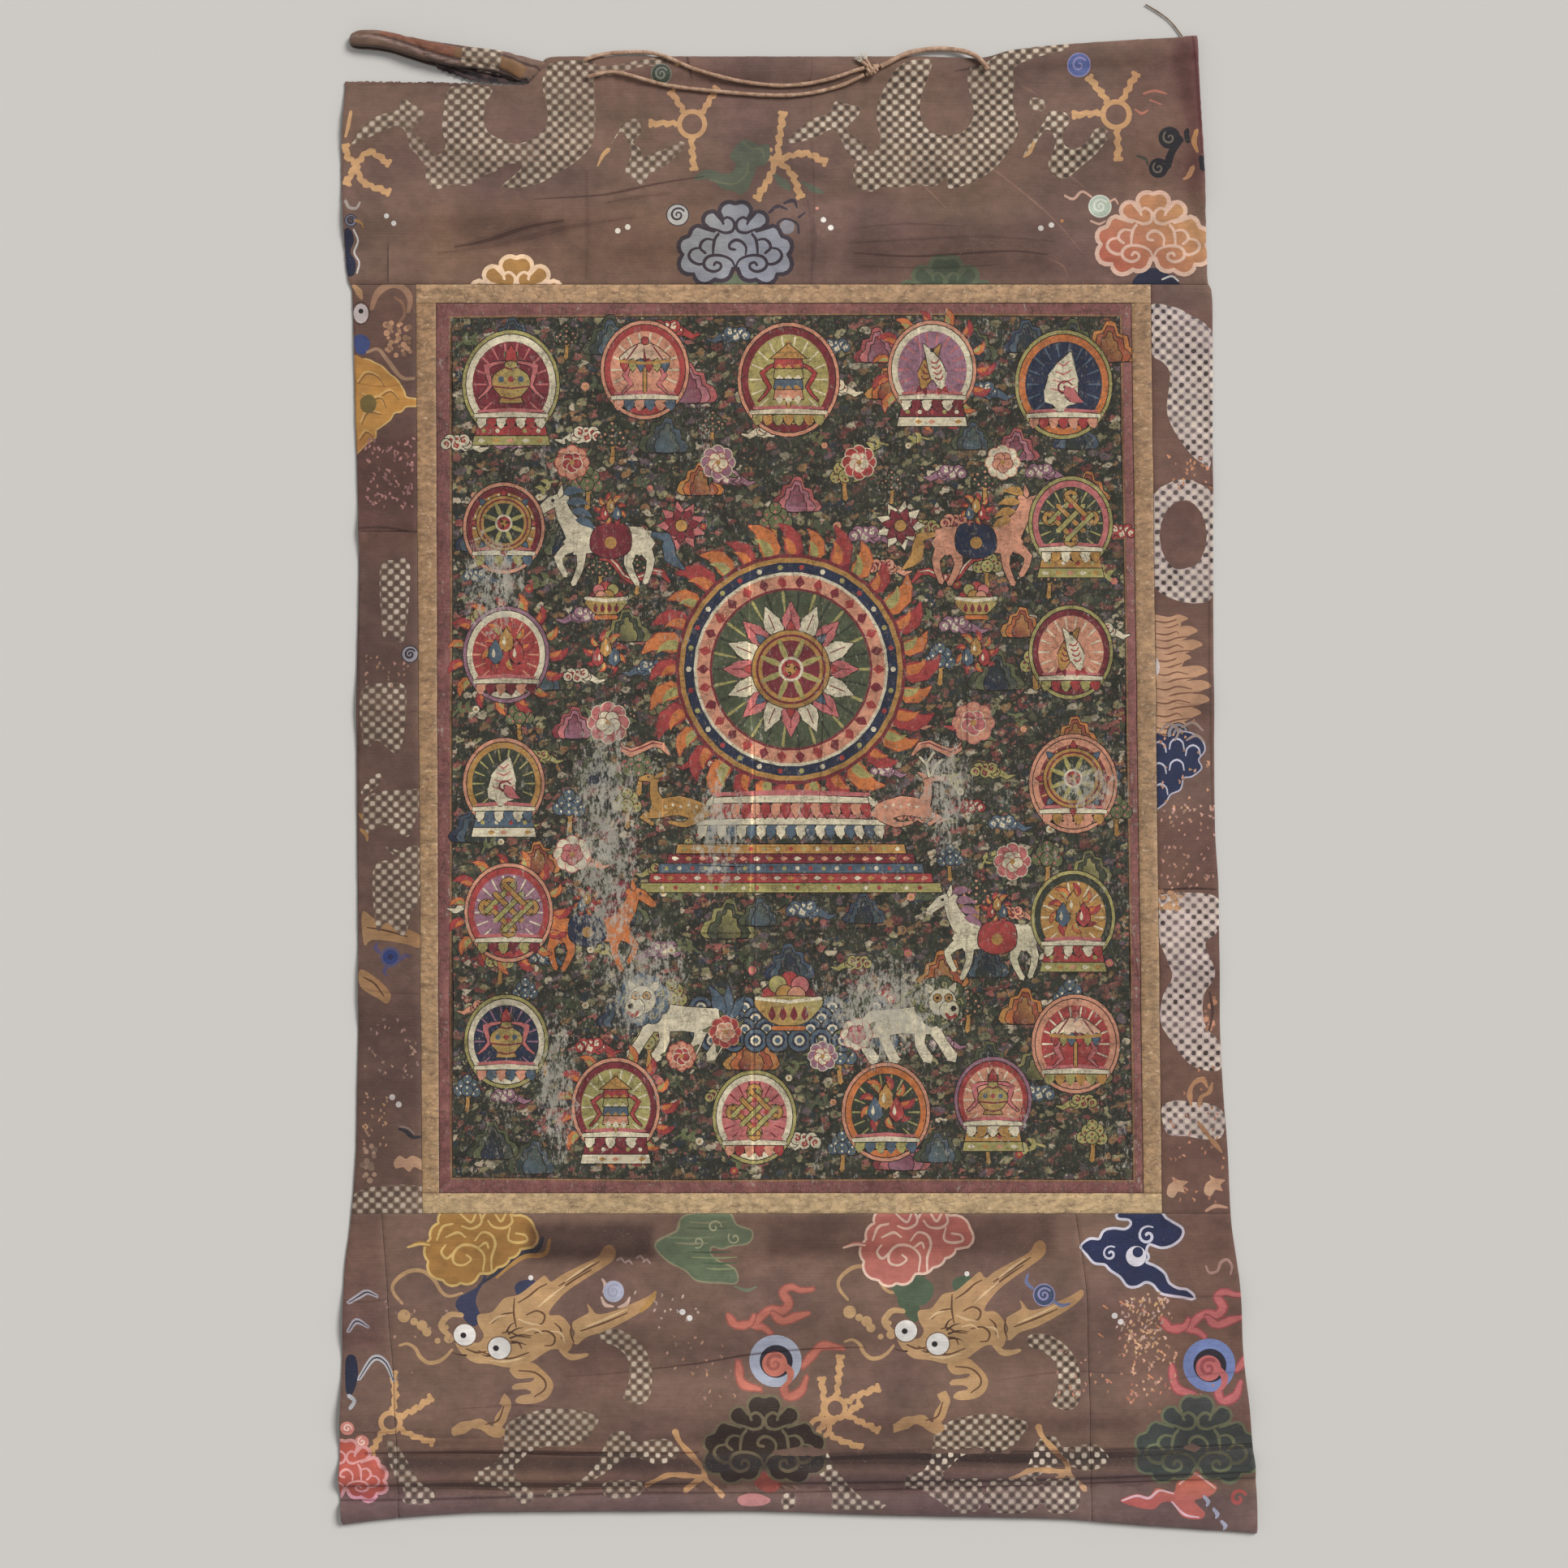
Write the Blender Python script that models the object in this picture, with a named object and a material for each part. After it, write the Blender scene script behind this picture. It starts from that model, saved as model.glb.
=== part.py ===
"""A thangka scroll painting, lying face up on a level surface.

The painted canvas is framed by four gold strips and by panels of brown dragon brocade. The top end
of the heading is torn off and curled into a loose roll, and a leather thong lies over the top edge.
+X is to the right of the painting, +Y towards its top edge and +Z out of its painted face. The
origin is on the surface that it lies on, under the middle of the outline.
Every table is in millimetres, and MM turns them into metres.
"""

import math
from collections import namedtuple

import bmesh
import bpy
from mathutils import Matrix, Vector

MM = 0.001

# Cloth thicknesses, and the gap that neighbouring pieces keep at a seam.
BROCADE_THICK = 2.0
STRIP_THICK = 2.4
CANVAS_THICK = 1.6
SEAM_GAP = 0.3

# The seams that run straight across the scroll.
TOP_SEAM_Y = 408.3
BOTTOM_SEAM_Y = -355.3
LEFT_PIECING_Y = 205.0
RIGHT_PIECING_Y = -89.0

# The gold frame: the height of its inner edges, and its sides, which lean outwards downwards.
CANVAS_TOP_Y = 393.0
CANVAS_BOTTOM_Y = -338.5

# The heading: a folded sleeve along the top edge, pressed flat, up to where it is torn.
HEADING_WIDTH = 20.0
HEADING_RISE = 2.5
HEADING_STARTS_X = -215.0
HEADING_WHOLE_X = -190.0

# The hem: a pressed tube along the bottom edge.
HEM_RISE = 6.0

SideRow = namedtuple("SideRow", "y left right")
SIDE_EDGES = [
    SideRow(612, -372.0, 327.5),
    SideRow(575, -372.5, 329.0),
    SideRow(508, -375.5, 333.0),
    SideRow(442, -373.0, 335.5),
    SideRow(409, -369.0, 336.5),
    SideRow(407, -367.0, 339.0),
    SideRow(388, -366.0, 340.5),
    SideRow(322, -364.5, 340.5),
    SideRow(175, -361.0, 341.0),
    SideRow(68, -363.0, 341.5),
    SideRow(-38, -362.5, 342.5),
    SideRow(-92, -362.0, 345.5),
    SideRow(-198, -361.5, 346.5),
    SideRow(-252, -362.5, 349.0),
    SideRow(-305, -363.5, 353.0),
    SideRow(-358, -367.5, 355.5),
    SideRow(-412, -373.5, 362.5),
    SideRow(-465, -374.5, 365.5),
    SideRow(-518, -376.0, 370.5),
    SideRow(-572, -377.0, 375.5),
    SideRow(-618, -374.0, 377.0),
]

EdgeRow = namedtuple("EdgeRow", "x y")
TOP_EDGE = [
    EdgeRow(-372, 575.0),
    EdgeRow(-300, 574.5),
    EdgeRow(-226, 572.0),
    EdgeRow(-206, 594.5),
    EdgeRow(-196, 595.7),
    EdgeRow(98, 595.7),
    EdgeRow(148, 594.5),
    EdgeRow(178, 601.5),
    EdgeRow(224, 606.0),
    EdgeRow(278, 609.5),
    EdgeRow(330, 612.3),
]
BOTTOM_EDGE = [
    EdgeRow(-377, -611.5),
    EdgeRow(-342, -607.0),
    EdgeRow(-309, -604.0),
    EdgeRow(-255, -601.0),
    EdgeRow(-55, -600.0),
    EdgeRow(78, -603.7),
    EdgeRow(211, -606.5),
    EdgeRow(278, -611.5),
    EdgeRow(377, -618.3),
]

SeamRow = namedtuple("SeamRow", "y x")
LEFT_STRIP_OUTER = [SeamRow(408.3, -314.3), SeamRow(-355.3, -309.0)]
LEFT_STRIP_INNER = [SeamRow(408.3, -297.8), SeamRow(-355.3, -295.0)]
RIGHT_STRIP_INNER = [SeamRow(408.3, 273.5), SeamRow(-355.3, 284.0)]
RIGHT_STRIP_OUTER = [SeamRow(408.3, 289.7), SeamRow(-355.3, 299.0)]
BOTTOM_LEFT_SEAM = [
    SeamRow(-355, -342.5),
    SeamRow(-522, -331.0),
    SeamRow(-615, -327.5),
]
BOTTOM_RIGHT_SEAM = [
    SeamRow(-355, 228.0),
    SeamRow(-425, 237.0),
    SeamRow(-615, 241.0),
]

HemRow = namedtuple("HemRow", "x width")
HEM_WIDTH = [
    HemRow(-377, 19.0),
    HemRow(-130, 18.0),
    HemRow(0, 20.0),
    HemRow(120, 21.0),
    HemRow(237, 27.0),
    HemRow(377, 44.0),
]

# Folds: soft ridges of cloth that stand clear of the surface. A fold runs from its first end to its
# second, rises by its height, and falls to nothing at its reach on either side.
Fold = namedtuple("Fold", "x1 y1 x2 y2 height reach")
FOLDS = [
    # The bottom panel, from the hem upwards.
    Fold(-390, -572, 390, -562, 7.0, 17),
    Fold(-390, -521, 390, -514, 6.0, 36),
    Fold(-390, -444, -120, -441, 4.5, 34),
    Fold(-120, -441, 390, -428, 4.5, 38),
    Fold(-200, -383, 60, -376, 3.0, 18),
    # The top panel.
    Fold(-60, 507, 350, 536, 3.5, 42),
    Fold(-390, 541, -225, 527, 3.0, 34),
    Fold(-390, 462, -205, 471, 3.0, 28),
    Fold(-110, 449, 250, 441, 3.5, 34),
    Fold(324, 596, 333, 492, 5.5, 18),
    # The side panels.
    Fold(-380, 205, -312, 209, 3.0, 18),
    Fold(-380, 62, -312, 52, 2.5, 34),
    Fold(-380, -168, -312, -176, 2.5, 38),
    Fold(295, 246, 360, 238, 2.5, 30),
    Fold(295, 72, 360, 60, 3.0, 34),
    Fold(295, -150, 360, -160, 2.5, 38),
    # The canvas.
    Fold(-270, 318, 250, 326, 1.4, 42),
    Fold(-270, 92, 260, 108, 1.6, 46),
    Fold(-39, 30, -37, -310, 1.8, 14),
]

# Places across and up a cloth where its mesh has a line of points. Columns and even rows are shares
# of the width or height, and the others are distances.
TOP_COLUMNS = (0, 0.06, 0.12, 0.17, 0.207, 0.222, 0.238, 0.256, 0.3, 0.36, 0.42, 0.48, 0.54, 0.6,
               0.66, 0.72, 0.78, 0.84, 0.89, 0.94, 0.968, 1)
HEADING_ROWS = (0, 2.0, 5.5, 10.0, 14.5, 18.0, 20.0)
TOP_EVEN_ROWS = 8
HEM_ROWS = (0, 0.1, 0.28, 0.5, 0.72, 0.9, 1)
BOTTOM_FOLD_ROWS = (0, 0.036, 0.073, 0.109, 0.15, 0.2, 0.27, 0.33, 0.4, 0.46, 0.53, 0.6, 0.67, 0.74,
                    0.81, 0.87, 0.94, 1)

# The torn end of the heading, curled up. One row for each section along the roll, from its free end
# to where it joins the top panel; turn is the heading of the roll there, in degrees from +X.
RollRow = namedtuple("RollRow", "x y turn half_width height")
HEADING_ROLL = [
    RollRow(-368.5, 608.4, 0, 3.5, 5.0),
    RollRow(-366.5, 608.6, 0, 6.2, 8.5),
    RollRow(-360, 609.0, -2, 8.2, 11.0),
    RollRow(-348, 608.6, -6, 8.8, 12.5),
    RollRow(-334, 606.4, -13, 8.8, 12.0),
    RollRow(-318, 602.2, -17, 9.6, 13.0),
    RollRow(-300, 597.6, -14, 10.6, 14.0),
    RollRow(-282, 594.4, -8, 11.0, 13.0),
    RollRow(-264, 592.4, -6, 10.6, 12.0),
    RollRow(-248, 590.2, -10, 10.8, 11.5),
    RollRow(-234, 586.8, -18, 11.6, 10.0),
    RollRow(-224, 583.6, -32, 12.6, 7.0),
    RollRow(-217.2, 583.4, -44.5, 12.4, 5.0),
]
# The wound section of the roll, seen from its free end, as shares of the half width and height. Its
# mouth opens on the side of the painting.
SectionPoint = namedtuple("SectionPoint", "across up")
ROLL_SECTION = [
    SectionPoint(-1.0, 0.0),
    SectionPoint(-0.5, 0.0),
    SectionPoint(0.0, 0.0),
    SectionPoint(0.5, 0.0),
    SectionPoint(0.84, 0.12),
    SectionPoint(1.0, 0.42),
    SectionPoint(0.9, 0.74),
    SectionPoint(0.58, 0.95),
    SectionPoint(0.1, 1.0),
    SectionPoint(-0.4, 0.93),
    SectionPoint(-0.78, 0.74),
    SectionPoint(-0.88, 0.52),
    SectionPoint(-0.62, 0.4),
    SectionPoint(-0.2, 0.36),
    SectionPoint(-0.45, 0.22),
    SectionPoint(-1.0, 0.16),
]

# The tie. Its strands lie over the heading and the folds, and are placed by hand.
THIN_STRAND = 3.2
THICK_STRAND = 4.0
CORNER_THREAD = 1.2
STRAND_STEP = 2.5
LOWER_STRAND_ROUTE = [
    (-172.0, 577.8, 5.9),
    (-166.0, 579.6, 6.3),
    (-157.0, 581.4, 6.4),
    (-148.0, 581.2, 6.4),
    (-138.0, 579.0, 6.2),
    (-126.0, 575.8, 5.5),
    (-113.0, 572.4, 4.4),
    (-98.0, 569.8, 4.1),
    (-82.0, 568.0, 4.0),
    (-66.0, 566.4, 4.0),
    (-48.0, 564.8, 4.0),
    (-28.0, 563.4, 4.0),
    (-8.0, 563.2, 4.0),
    (10.0, 565.0, 4.0),
    (26.0, 568.4, 4.1),
    (38.0, 572.2, 4.6),
    (47.0, 576.0, 5.7),
    (54.0, 579.4, 6.6),
]
UPPER_STRAND_ROUTE = [
    (-176.0, 591.0, 6.3),
    (-168.0, 594.4, 6.0),
    (-156.0, 597.4, 4.0),
    (-142.0, 598.8, 2.2),
    (-129.0, 599.0, 2.2),
    (-118.0, 597.4, 3.9),
    (-108.0, 594.0, 6.1),
    (-98.0, 589.6, 6.5),
    (-86.0, 584.4, 6.6),
    (-70.0, 579.6, 6.3),
    (-52.0, 575.4, 5.2),
    (-34.0, 572.6, 4.3),
    (-14.0, 571.2, 4.1),
    (6.0, 572.4, 4.3),
    (22.0, 575.4, 5.2),
    (36.0, 579.2, 6.2),
    (46.0, 582.6, 6.6),
    (54.4, 584.9, 6.9),
]
RIGHT_STRAND_ROUTE = [
    (67.6, 586.0, 7.4),
    (74.0, 589.4, 7.1),
    (82.0, 593.8, 6.6),
    (90.0, 597.4, 5.1),
    (100.0, 600.2, 3.0),
    (112.0, 601.6, 2.5),
    (124.0, 601.4, 2.5),
    (135.0, 599.4, 3.9),
    (144.0, 595.6, 6.4),
    (151.0, 590.0, 7.0),
    (155.5, 583.6, 6.8),
]
CORNER_THREAD_ROUTE = [
    (315.6, 612.4, 1.0),
    (313.0, 616.0, 0.8),
    (309.0, 621.2, 0.8),
    (304.0, 626.4, 0.8),
    (298.0, 631.0, 0.8),
    (291.0, 635.4, 0.8),
    (285.5, 638.6, 0.8),
]
KNOT_PLACE = (60.6, 582.8, 8.2)
KNOT_HALF_SIZES = (6.2, 4.6, 3.4)
KNOT_TURN = 25.0
KNOT_GROOVE = 0.12
TailRow = namedtuple("TailRow", "x y z root_radius tip_radius")
KNOT_TAILS = [
    TailRow(48.4, 593.6, 6.2, 1.3, 0.5),
    TailRow(53.2, 596.4, 6.4, 1.1, 0.4),
]


def smooth_curve(places, values):
    """A curve through the points, in order, that never overshoots them."""
    pairs = sorted(zip(places, values))
    xs = [pair[0] for pair in pairs]
    ys = [pair[1] for pair in pairs]
    last = len(xs) - 1
    slopes = [(ys[i + 1] - ys[i]) / (xs[i + 1] - xs[i]) for i in range(last)]
    tangents = [slopes[0]]
    for before, after in zip(slopes, slopes[1:]):
        same_way = before * after > 0
        tangents.append(2 * before * after / (before + after) if same_way else 0.0)
    tangents.append(slopes[-1])

    def value_at(x):
        if x <= xs[0]:
            return ys[0] + slopes[0] * (x - xs[0])
        if x >= xs[last]:
            return ys[last] + slopes[-1] * (x - xs[last])
        i = max(k for k in range(last) if xs[k] <= x)
        span = xs[i + 1] - xs[i]
        t = (x - xs[i]) / span
        rise = ys[i + 1] - ys[i]
        start = tangents[i] * span
        end = tangents[i + 1] * span
        return ys[i] + t * start + t * t * (3 * rise - 2 * start - end) + t ** 3 * (start + end - 2 * rise)

    return value_at


def rows_curve(rows, across, value):
    return smooth_curve([getattr(row, across) for row in rows], [getattr(row, value) for row in rows])


left_edge = rows_curve(SIDE_EDGES, "y", "left")
right_edge = rows_curve(SIDE_EDGES, "y", "right")
top_edge = rows_curve(TOP_EDGE, "x", "y")
bottom_edge = rows_curve(BOTTOM_EDGE, "x", "y")
hem_width = rows_curve(HEM_WIDTH, "x", "width")
strip_outer_left = rows_curve(LEFT_STRIP_OUTER, "y", "x")
strip_inner_left = rows_curve(LEFT_STRIP_INNER, "y", "x")
strip_inner_right = rows_curve(RIGHT_STRIP_INNER, "y", "x")
strip_outer_right = rows_curve(RIGHT_STRIP_OUTER, "y", "x")
bottom_left_seam = rows_curve(BOTTOM_LEFT_SEAM, "y", "x")
bottom_right_seam = rows_curve(BOTTOM_RIGHT_SEAM, "y", "x")


def fold_lift(x, y):
    """How high the underside of the cloth stands above the surface."""
    lift = 0.0
    for fold in FOLDS:
        length = math.hypot(fold.x2 - fold.x1, fold.y2 - fold.y1)
        along_x = (fold.x2 - fold.x1) / length
        along_y = (fold.y2 - fold.y1) / length
        along = (x - fold.x1) * along_x + (y - fold.y1) * along_y
        aside = (y - fold.y1) * along_x - (x - fold.x1) * along_y
        past_end = max(-along, along - length, 0.0)
        away = math.hypot(aside, past_end / 2) / fold.reach
        if away < 1:
            lift = max(lift, fold.height * (0.5 + 0.5 * math.cos(math.pi * away)))
    return lift


def tube_rise(distance, width, rise):
    """The rounded back of a pressed tube that lies along an edge."""
    if not 0 < distance < width:
        return 0.0
    off_centre = 2 * distance / width - 1
    return rise * math.sqrt(1 - off_centre * off_centre)


def brocade_thickness(x, y):
    wholeness = (x - HEADING_STARTS_X) / (HEADING_WHOLE_X - HEADING_STARTS_X)
    heading = HEADING_RISE * min(max(wholeness, 0.0), 1.0)
    return (BROCADE_THICK
            + tube_rise(top_edge(x) - y, HEADING_WIDTH, heading)
            + tube_rise(y - bottom_edge(x), hem_width(x), HEM_RISE))


def even_shares(count):
    return [i / count for i in range(count + 1)]


def principled(name, colour, roughness, sheen):
    """A plain cloth or leather material; the colour is given as it looks on a screen."""
    material = bpy.data.materials.new(name)
    material.use_nodes = True
    shader = material.node_tree.nodes["Principled BSDF"]
    linear = [((c / 255 + 0.055) / 1.055) ** 2.4 for c in colour]
    shader.inputs["Base Color"].default_value = (*linear, 1.0)
    shader.inputs["Roughness"].default_value = roughness
    shader.inputs["Metallic"].default_value = 0.0
    shader.inputs["Sheen Weight"].default_value = sheen
    material.diffuse_color = (*linear, 1.0)
    return material


def add_mesh(name, bm, material):
    bmesh.ops.recalc_face_normals(bm, faces=bm.faces)
    mesh = bpy.data.meshes.new(name)
    bm.to_mesh(mesh)
    bm.free()
    mesh.materials.append(material)
    mesh.shade_smooth()
    mesh.set_sharp_from_angle(angle=math.radians(50))
    piece = bpy.data.objects.new(name, mesh)
    bpy.context.scene.collection.objects.link(piece)
    return piece


def add_cloth(name, material, left, right, columns, rows_at, thickness):
    """A closed sheet between two side lines. rows_at gives the heights of its rows at a place across."""
    row_count = len(rows_at(0.0))
    bm = bmesh.new()
    upper = []
    lower = []
    for share in columns:
        upper_column = []
        lower_column = []
        for row in range(row_count):
            x = left(0.0) + share * (right(0.0) - left(0.0))
            for _ in range(4):
                y = rows_at(x)[row]
                x = left(y) + share * (right(y) - left(y))
            lift = fold_lift(x, y)
            lower_column.append(bm.verts.new((x * MM, y * MM, lift * MM)))
            upper_column.append(bm.verts.new((x * MM, y * MM, (lift + thickness(x, y)) * MM)))
        lower.append(lower_column)
        upper.append(upper_column)
    last_column = len(columns) - 1
    last_row = row_count - 1
    for i in range(last_column):
        for j in range(last_row):
            bm.faces.new((upper[i][j], upper[i + 1][j], upper[i + 1][j + 1], upper[i][j + 1]))
            bm.faces.new((lower[i][j], lower[i][j + 1], lower[i + 1][j + 1], lower[i + 1][j]))
    for i in range(last_column):
        bm.faces.new((lower[i][0], lower[i + 1][0], upper[i + 1][0], upper[i][0]))
        bm.faces.new((upper[i][last_row], upper[i + 1][last_row], lower[i + 1][last_row], lower[i][last_row]))
    for j in range(last_row):
        bm.faces.new((upper[0][j], upper[0][j + 1], lower[0][j + 1], lower[0][j]))
        bm.faces.new((lower[last_column][j], lower[last_column][j + 1],
                      upper[last_column][j + 1], upper[last_column][j]))
    return add_mesh(name, bm, material)


def inset(line, gap):
    """A side line moved by half a seam gap."""
    return lambda y: line(y) + gap


def level_rows(low, high, count):
    """Rows between two level seams, each kept back by half a seam gap."""
    bottom = low + SEAM_GAP / 2
    top = high - SEAM_GAP / 2
    heights = [bottom + share * (top - bottom) for share in even_shares(count)]
    return lambda x: heights


def top_panel_rows(x):
    """Even rows up to the heading, then the rows that shape it."""
    edge = top_edge(x)
    bottom = TOP_SEAM_Y + SEAM_GAP / 2
    heading_foot = edge - HEADING_WIDTH
    step = (heading_foot - bottom) / TOP_EVEN_ROWS
    even = [bottom + step * i for i in range(TOP_EVEN_ROWS)]
    return even + [edge - distance for distance in reversed(HEADING_ROWS)]


def bottom_panel_rows(x):
    """The rows that shape the hem, then those of the folds above it, up to the seam."""
    edge = bottom_edge(x)
    valley = edge + hem_width(x)
    top = BOTTOM_SEAM_Y - SEAM_GAP / 2
    hem = [edge + share * (valley - edge) for share in HEM_ROWS]
    return hem + [valley + share * (top - valley) for share in BOTTOM_FOLD_ROWS[1:]]


def add_canvas(material):
    half = SEAM_GAP / 2
    add_cloth("painted_canvas", material, inset(strip_inner_left, half), inset(strip_inner_right, -half),
              even_shares(16), level_rows(CANVAS_BOTTOM_Y, CANVAS_TOP_Y, 20),
              lambda x, y: CANVAS_THICK)


def add_gold_strips(material):
    half = SEAM_GAP / 2
    level_strips = {
        "strip_top": (CANVAS_TOP_Y, TOP_SEAM_Y),
        "strip_bottom": (BOTTOM_SEAM_Y, CANVAS_BOTTOM_Y),
    }
    for name, (low, high) in level_strips.items():
        add_cloth(name, material, inset(strip_outer_left, half), inset(strip_outer_right, -half),
                  even_shares(16), level_rows(low, high, 1), lambda x, y: STRIP_THICK)
    upright_strips = {
        "strip_left": (strip_outer_left, strip_inner_left),
        "strip_right": (strip_inner_right, strip_outer_right),
    }
    for name, (left, right) in upright_strips.items():
        add_cloth(name, material, inset(left, half), inset(right, -half), even_shares(1),
                  level_rows(CANVAS_BOTTOM_Y, CANVAS_TOP_Y, 24), lambda x, y: STRIP_THICK)


def add_brocade_panels(material):
    half = SEAM_GAP / 2
    add_cloth("panel_top", material, left_edge, right_edge, TOP_COLUMNS, top_panel_rows,
              brocade_thickness)
    side_panels = {
        "panel_left_upper": (left_edge, inset(strip_outer_left, -half), LEFT_PIECING_Y, TOP_SEAM_Y),
        "panel_left_lower": (left_edge, inset(strip_outer_left, -half), BOTTOM_SEAM_Y, LEFT_PIECING_Y),
        "panel_right_upper": (inset(strip_outer_right, half), right_edge, RIGHT_PIECING_Y, TOP_SEAM_Y),
        "panel_right_lower": (inset(strip_outer_right, half), right_edge, BOTTOM_SEAM_Y, RIGHT_PIECING_Y),
    }
    for name, (left, right, low, high) in side_panels.items():
        row_count = round((high - low) / 26)
        add_cloth(name, material, left, right, even_shares(2), level_rows(low, high, row_count),
                  brocade_thickness)
    bottom_panels = {
        "panel_bottom_left": (left_edge, inset(bottom_left_seam, -half), 2),
        "panel_bottom_main": (inset(bottom_left_seam, half), inset(bottom_right_seam, -half), 14),
        "panel_bottom_right": (inset(bottom_right_seam, half), right_edge, 4),
    }
    for name, (left, right, column_count) in bottom_panels.items():
        add_cloth(name, material, left, right, even_shares(column_count), bottom_panel_rows,
                  brocade_thickness)


def add_heading_roll(material):
    """The torn end of the heading: its wound section, carried along the roll and closed at both ends."""
    bm = bmesh.new()
    rings = []
    for row in HEADING_ROLL:
        turn = math.radians(row.turn)
        aside = Vector((-math.sin(turn), math.cos(turn), 0.0))
        centre = Vector((row.x, row.y, 0.0))
        ring = []
        for point in ROLL_SECTION:
            place = centre + aside * (point.across * row.half_width)
            place.z = point.up * row.height
            ring.append(bm.verts.new(place * MM))
        rings.append(ring)
    count = len(ROLL_SECTION)
    for ring, following in zip(rings, rings[1:]):
        for i in range(count):
            after = (i + 1) % count
            bm.faces.new((ring[i], ring[after], following[after], following[i]))
    bm.faces.new(rings[0])
    bm.faces.new(rings[-1])
    return add_mesh("heading_roll", bm, material)


def smooth_route(route, step):
    """Points a step apart along a smooth curve through a route's own points."""
    points = [Vector(point) for point in route]
    before_first = 2 * points[0] - points[1]
    after_last = 2 * points[-1] - points[-2]
    padded = [before_first, *points, after_last]
    fine = []
    for a, b, c, d in zip(padded, padded[1:], padded[2:], padded[3:]):
        for t in even_shares(12)[:-1]:
            fine.append(0.5 * (2 * b + (c - a) * t + (2 * a - 5 * b + 4 * c - d) * t * t
                               + (3 * b - a - 3 * c + d) * t ** 3))
    fine.append(points[-1])
    travelled = [0.0]
    for start, end in zip(fine, fine[1:]):
        travelled.append(travelled[-1] + (end - start).length)
    count = max(2, round(travelled[-1] / step))
    spaced = []
    k = 0
    for i in range(count + 1):
        target = travelled[-1] * i / count
        while k < len(fine) - 2 and travelled[k + 1] < target:
            k += 1
        share = (target - travelled[k]) / (travelled[k + 1] - travelled[k])
        spaced.append(fine[k].lerp(fine[k + 1], min(max(share, 0.0), 1.0)))
    return spaced


def add_strand(name, route, diameter, material):
    points = smooth_route(route, STRAND_STEP * diameter)
    data = bpy.data.curves.new(name, "CURVE")
    data.dimensions = "3D"
    data.bevel_depth = diameter / 2 * MM
    data.bevel_resolution = 2
    data.use_fill_caps = True
    spline = data.splines.new("POLY")
    spline.points.add(len(points) - 1)
    for target, place in zip(spline.points, points):
        target.co = (*(place * MM), 1.0)
    data.materials.append(material)
    strand = bpy.data.objects.new(name, data)
    bpy.context.scene.collection.objects.link(strand)
    return strand


def add_cone(bm, start, end, start_radius, end_radius):
    way = end - start
    turn = Vector((0, 0, 1)).rotation_difference(way).to_matrix().to_4x4()
    place = Matrix.Translation((start + end) / 2 * MM) @ turn
    bmesh.ops.create_cone(bm, cap_ends=True, segments=8, radius1=start_radius * MM,
                          radius2=end_radius * MM, depth=way.length * MM, matrix=place)


def add_knot(material):
    """A pulled-tight knot: a small lump with the grooves of its turns, and two frayed tails."""
    bm = bmesh.new()
    bmesh.ops.create_icosphere(bm, subdivisions=3, radius=1.0)
    for vert in bm.verts:
        around = math.atan2(vert.co.z, vert.co.y)
        groove = 1 + KNOT_GROOVE * math.cos(2 * around + 4.5 * vert.co.x)
        vert.co = Vector(c * half * groove for c, half in zip(vert.co, KNOT_HALF_SIZES))
    turn = Matrix.Rotation(math.radians(KNOT_TURN), 4, "Z")
    place = Matrix.Translation(Vector(KNOT_PLACE) * MM) @ turn @ Matrix.Scale(MM, 4)
    bm.transform(place)
    knot = add_mesh("cord_knot", bm, material)
    for i, tail in enumerate(KNOT_TAILS):
        tail_bm = bmesh.new()
        add_cone(tail_bm, Vector(KNOT_PLACE), Vector((tail.x, tail.y, tail.z)),
                 tail.root_radius, tail.tip_radius)
        cutter = add_mesh(f"tail_shape_{i}", tail_bm, material)
        cutter.hide_render = True
        cutter.display_type = "WIRE"
        union = knot.modifiers.new(f"tail_{i}", "BOOLEAN")
        union.operation = "UNION"
        union.solver = "EXACT"
        union.object = cutter
    return knot


def main():
    for old in list(bpy.data.objects):
        bpy.data.objects.remove(old, do_unlink=True)
    canvas = principled("canvas", (92, 78, 60), 0.8, 0.0)
    gold = principled("gold_brocade", (163, 134, 96), 0.55, 0.2)
    brocade = principled("brown_brocade", (114, 88, 74), 0.6, 0.2)
    leather = principled("leather_thong", (176, 128, 96), 0.6, 0.0)
    thread = principled("corner_thread", (120, 98, 74), 0.8, 0.0)
    add_canvas(canvas)
    add_gold_strips(gold)
    add_brocade_panels(brocade)
    add_heading_roll(brocade)
    add_strand("cord_lower", LOWER_STRAND_ROUTE, THIN_STRAND, leather)
    add_strand("cord_upper", UPPER_STRAND_ROUTE, THIN_STRAND, leather)
    add_strand("cord_right", RIGHT_STRAND_ROUTE, THICK_STRAND, leather)
    add_strand("corner_thread", CORNER_THREAD_ROUTE, CORNER_THREAD, thread)
    add_knot(leather)


main()
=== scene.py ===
"""How the scroll looks: its woven brocade, gold strips, worn painting and leather tie.

Lengths in this file are in millimetres, in the row frame, and are turned into metres as each mesh is
made. A cloth is drawn first, as shapes laid over one another, and its mesh is then cut along them.
"""
import math
import random
from collections import namedtuple

import bpy
import numpy as np
from mathutils import Matrix, Vector
from mathutils.geometry import delaunay_2d_cdt


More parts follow.
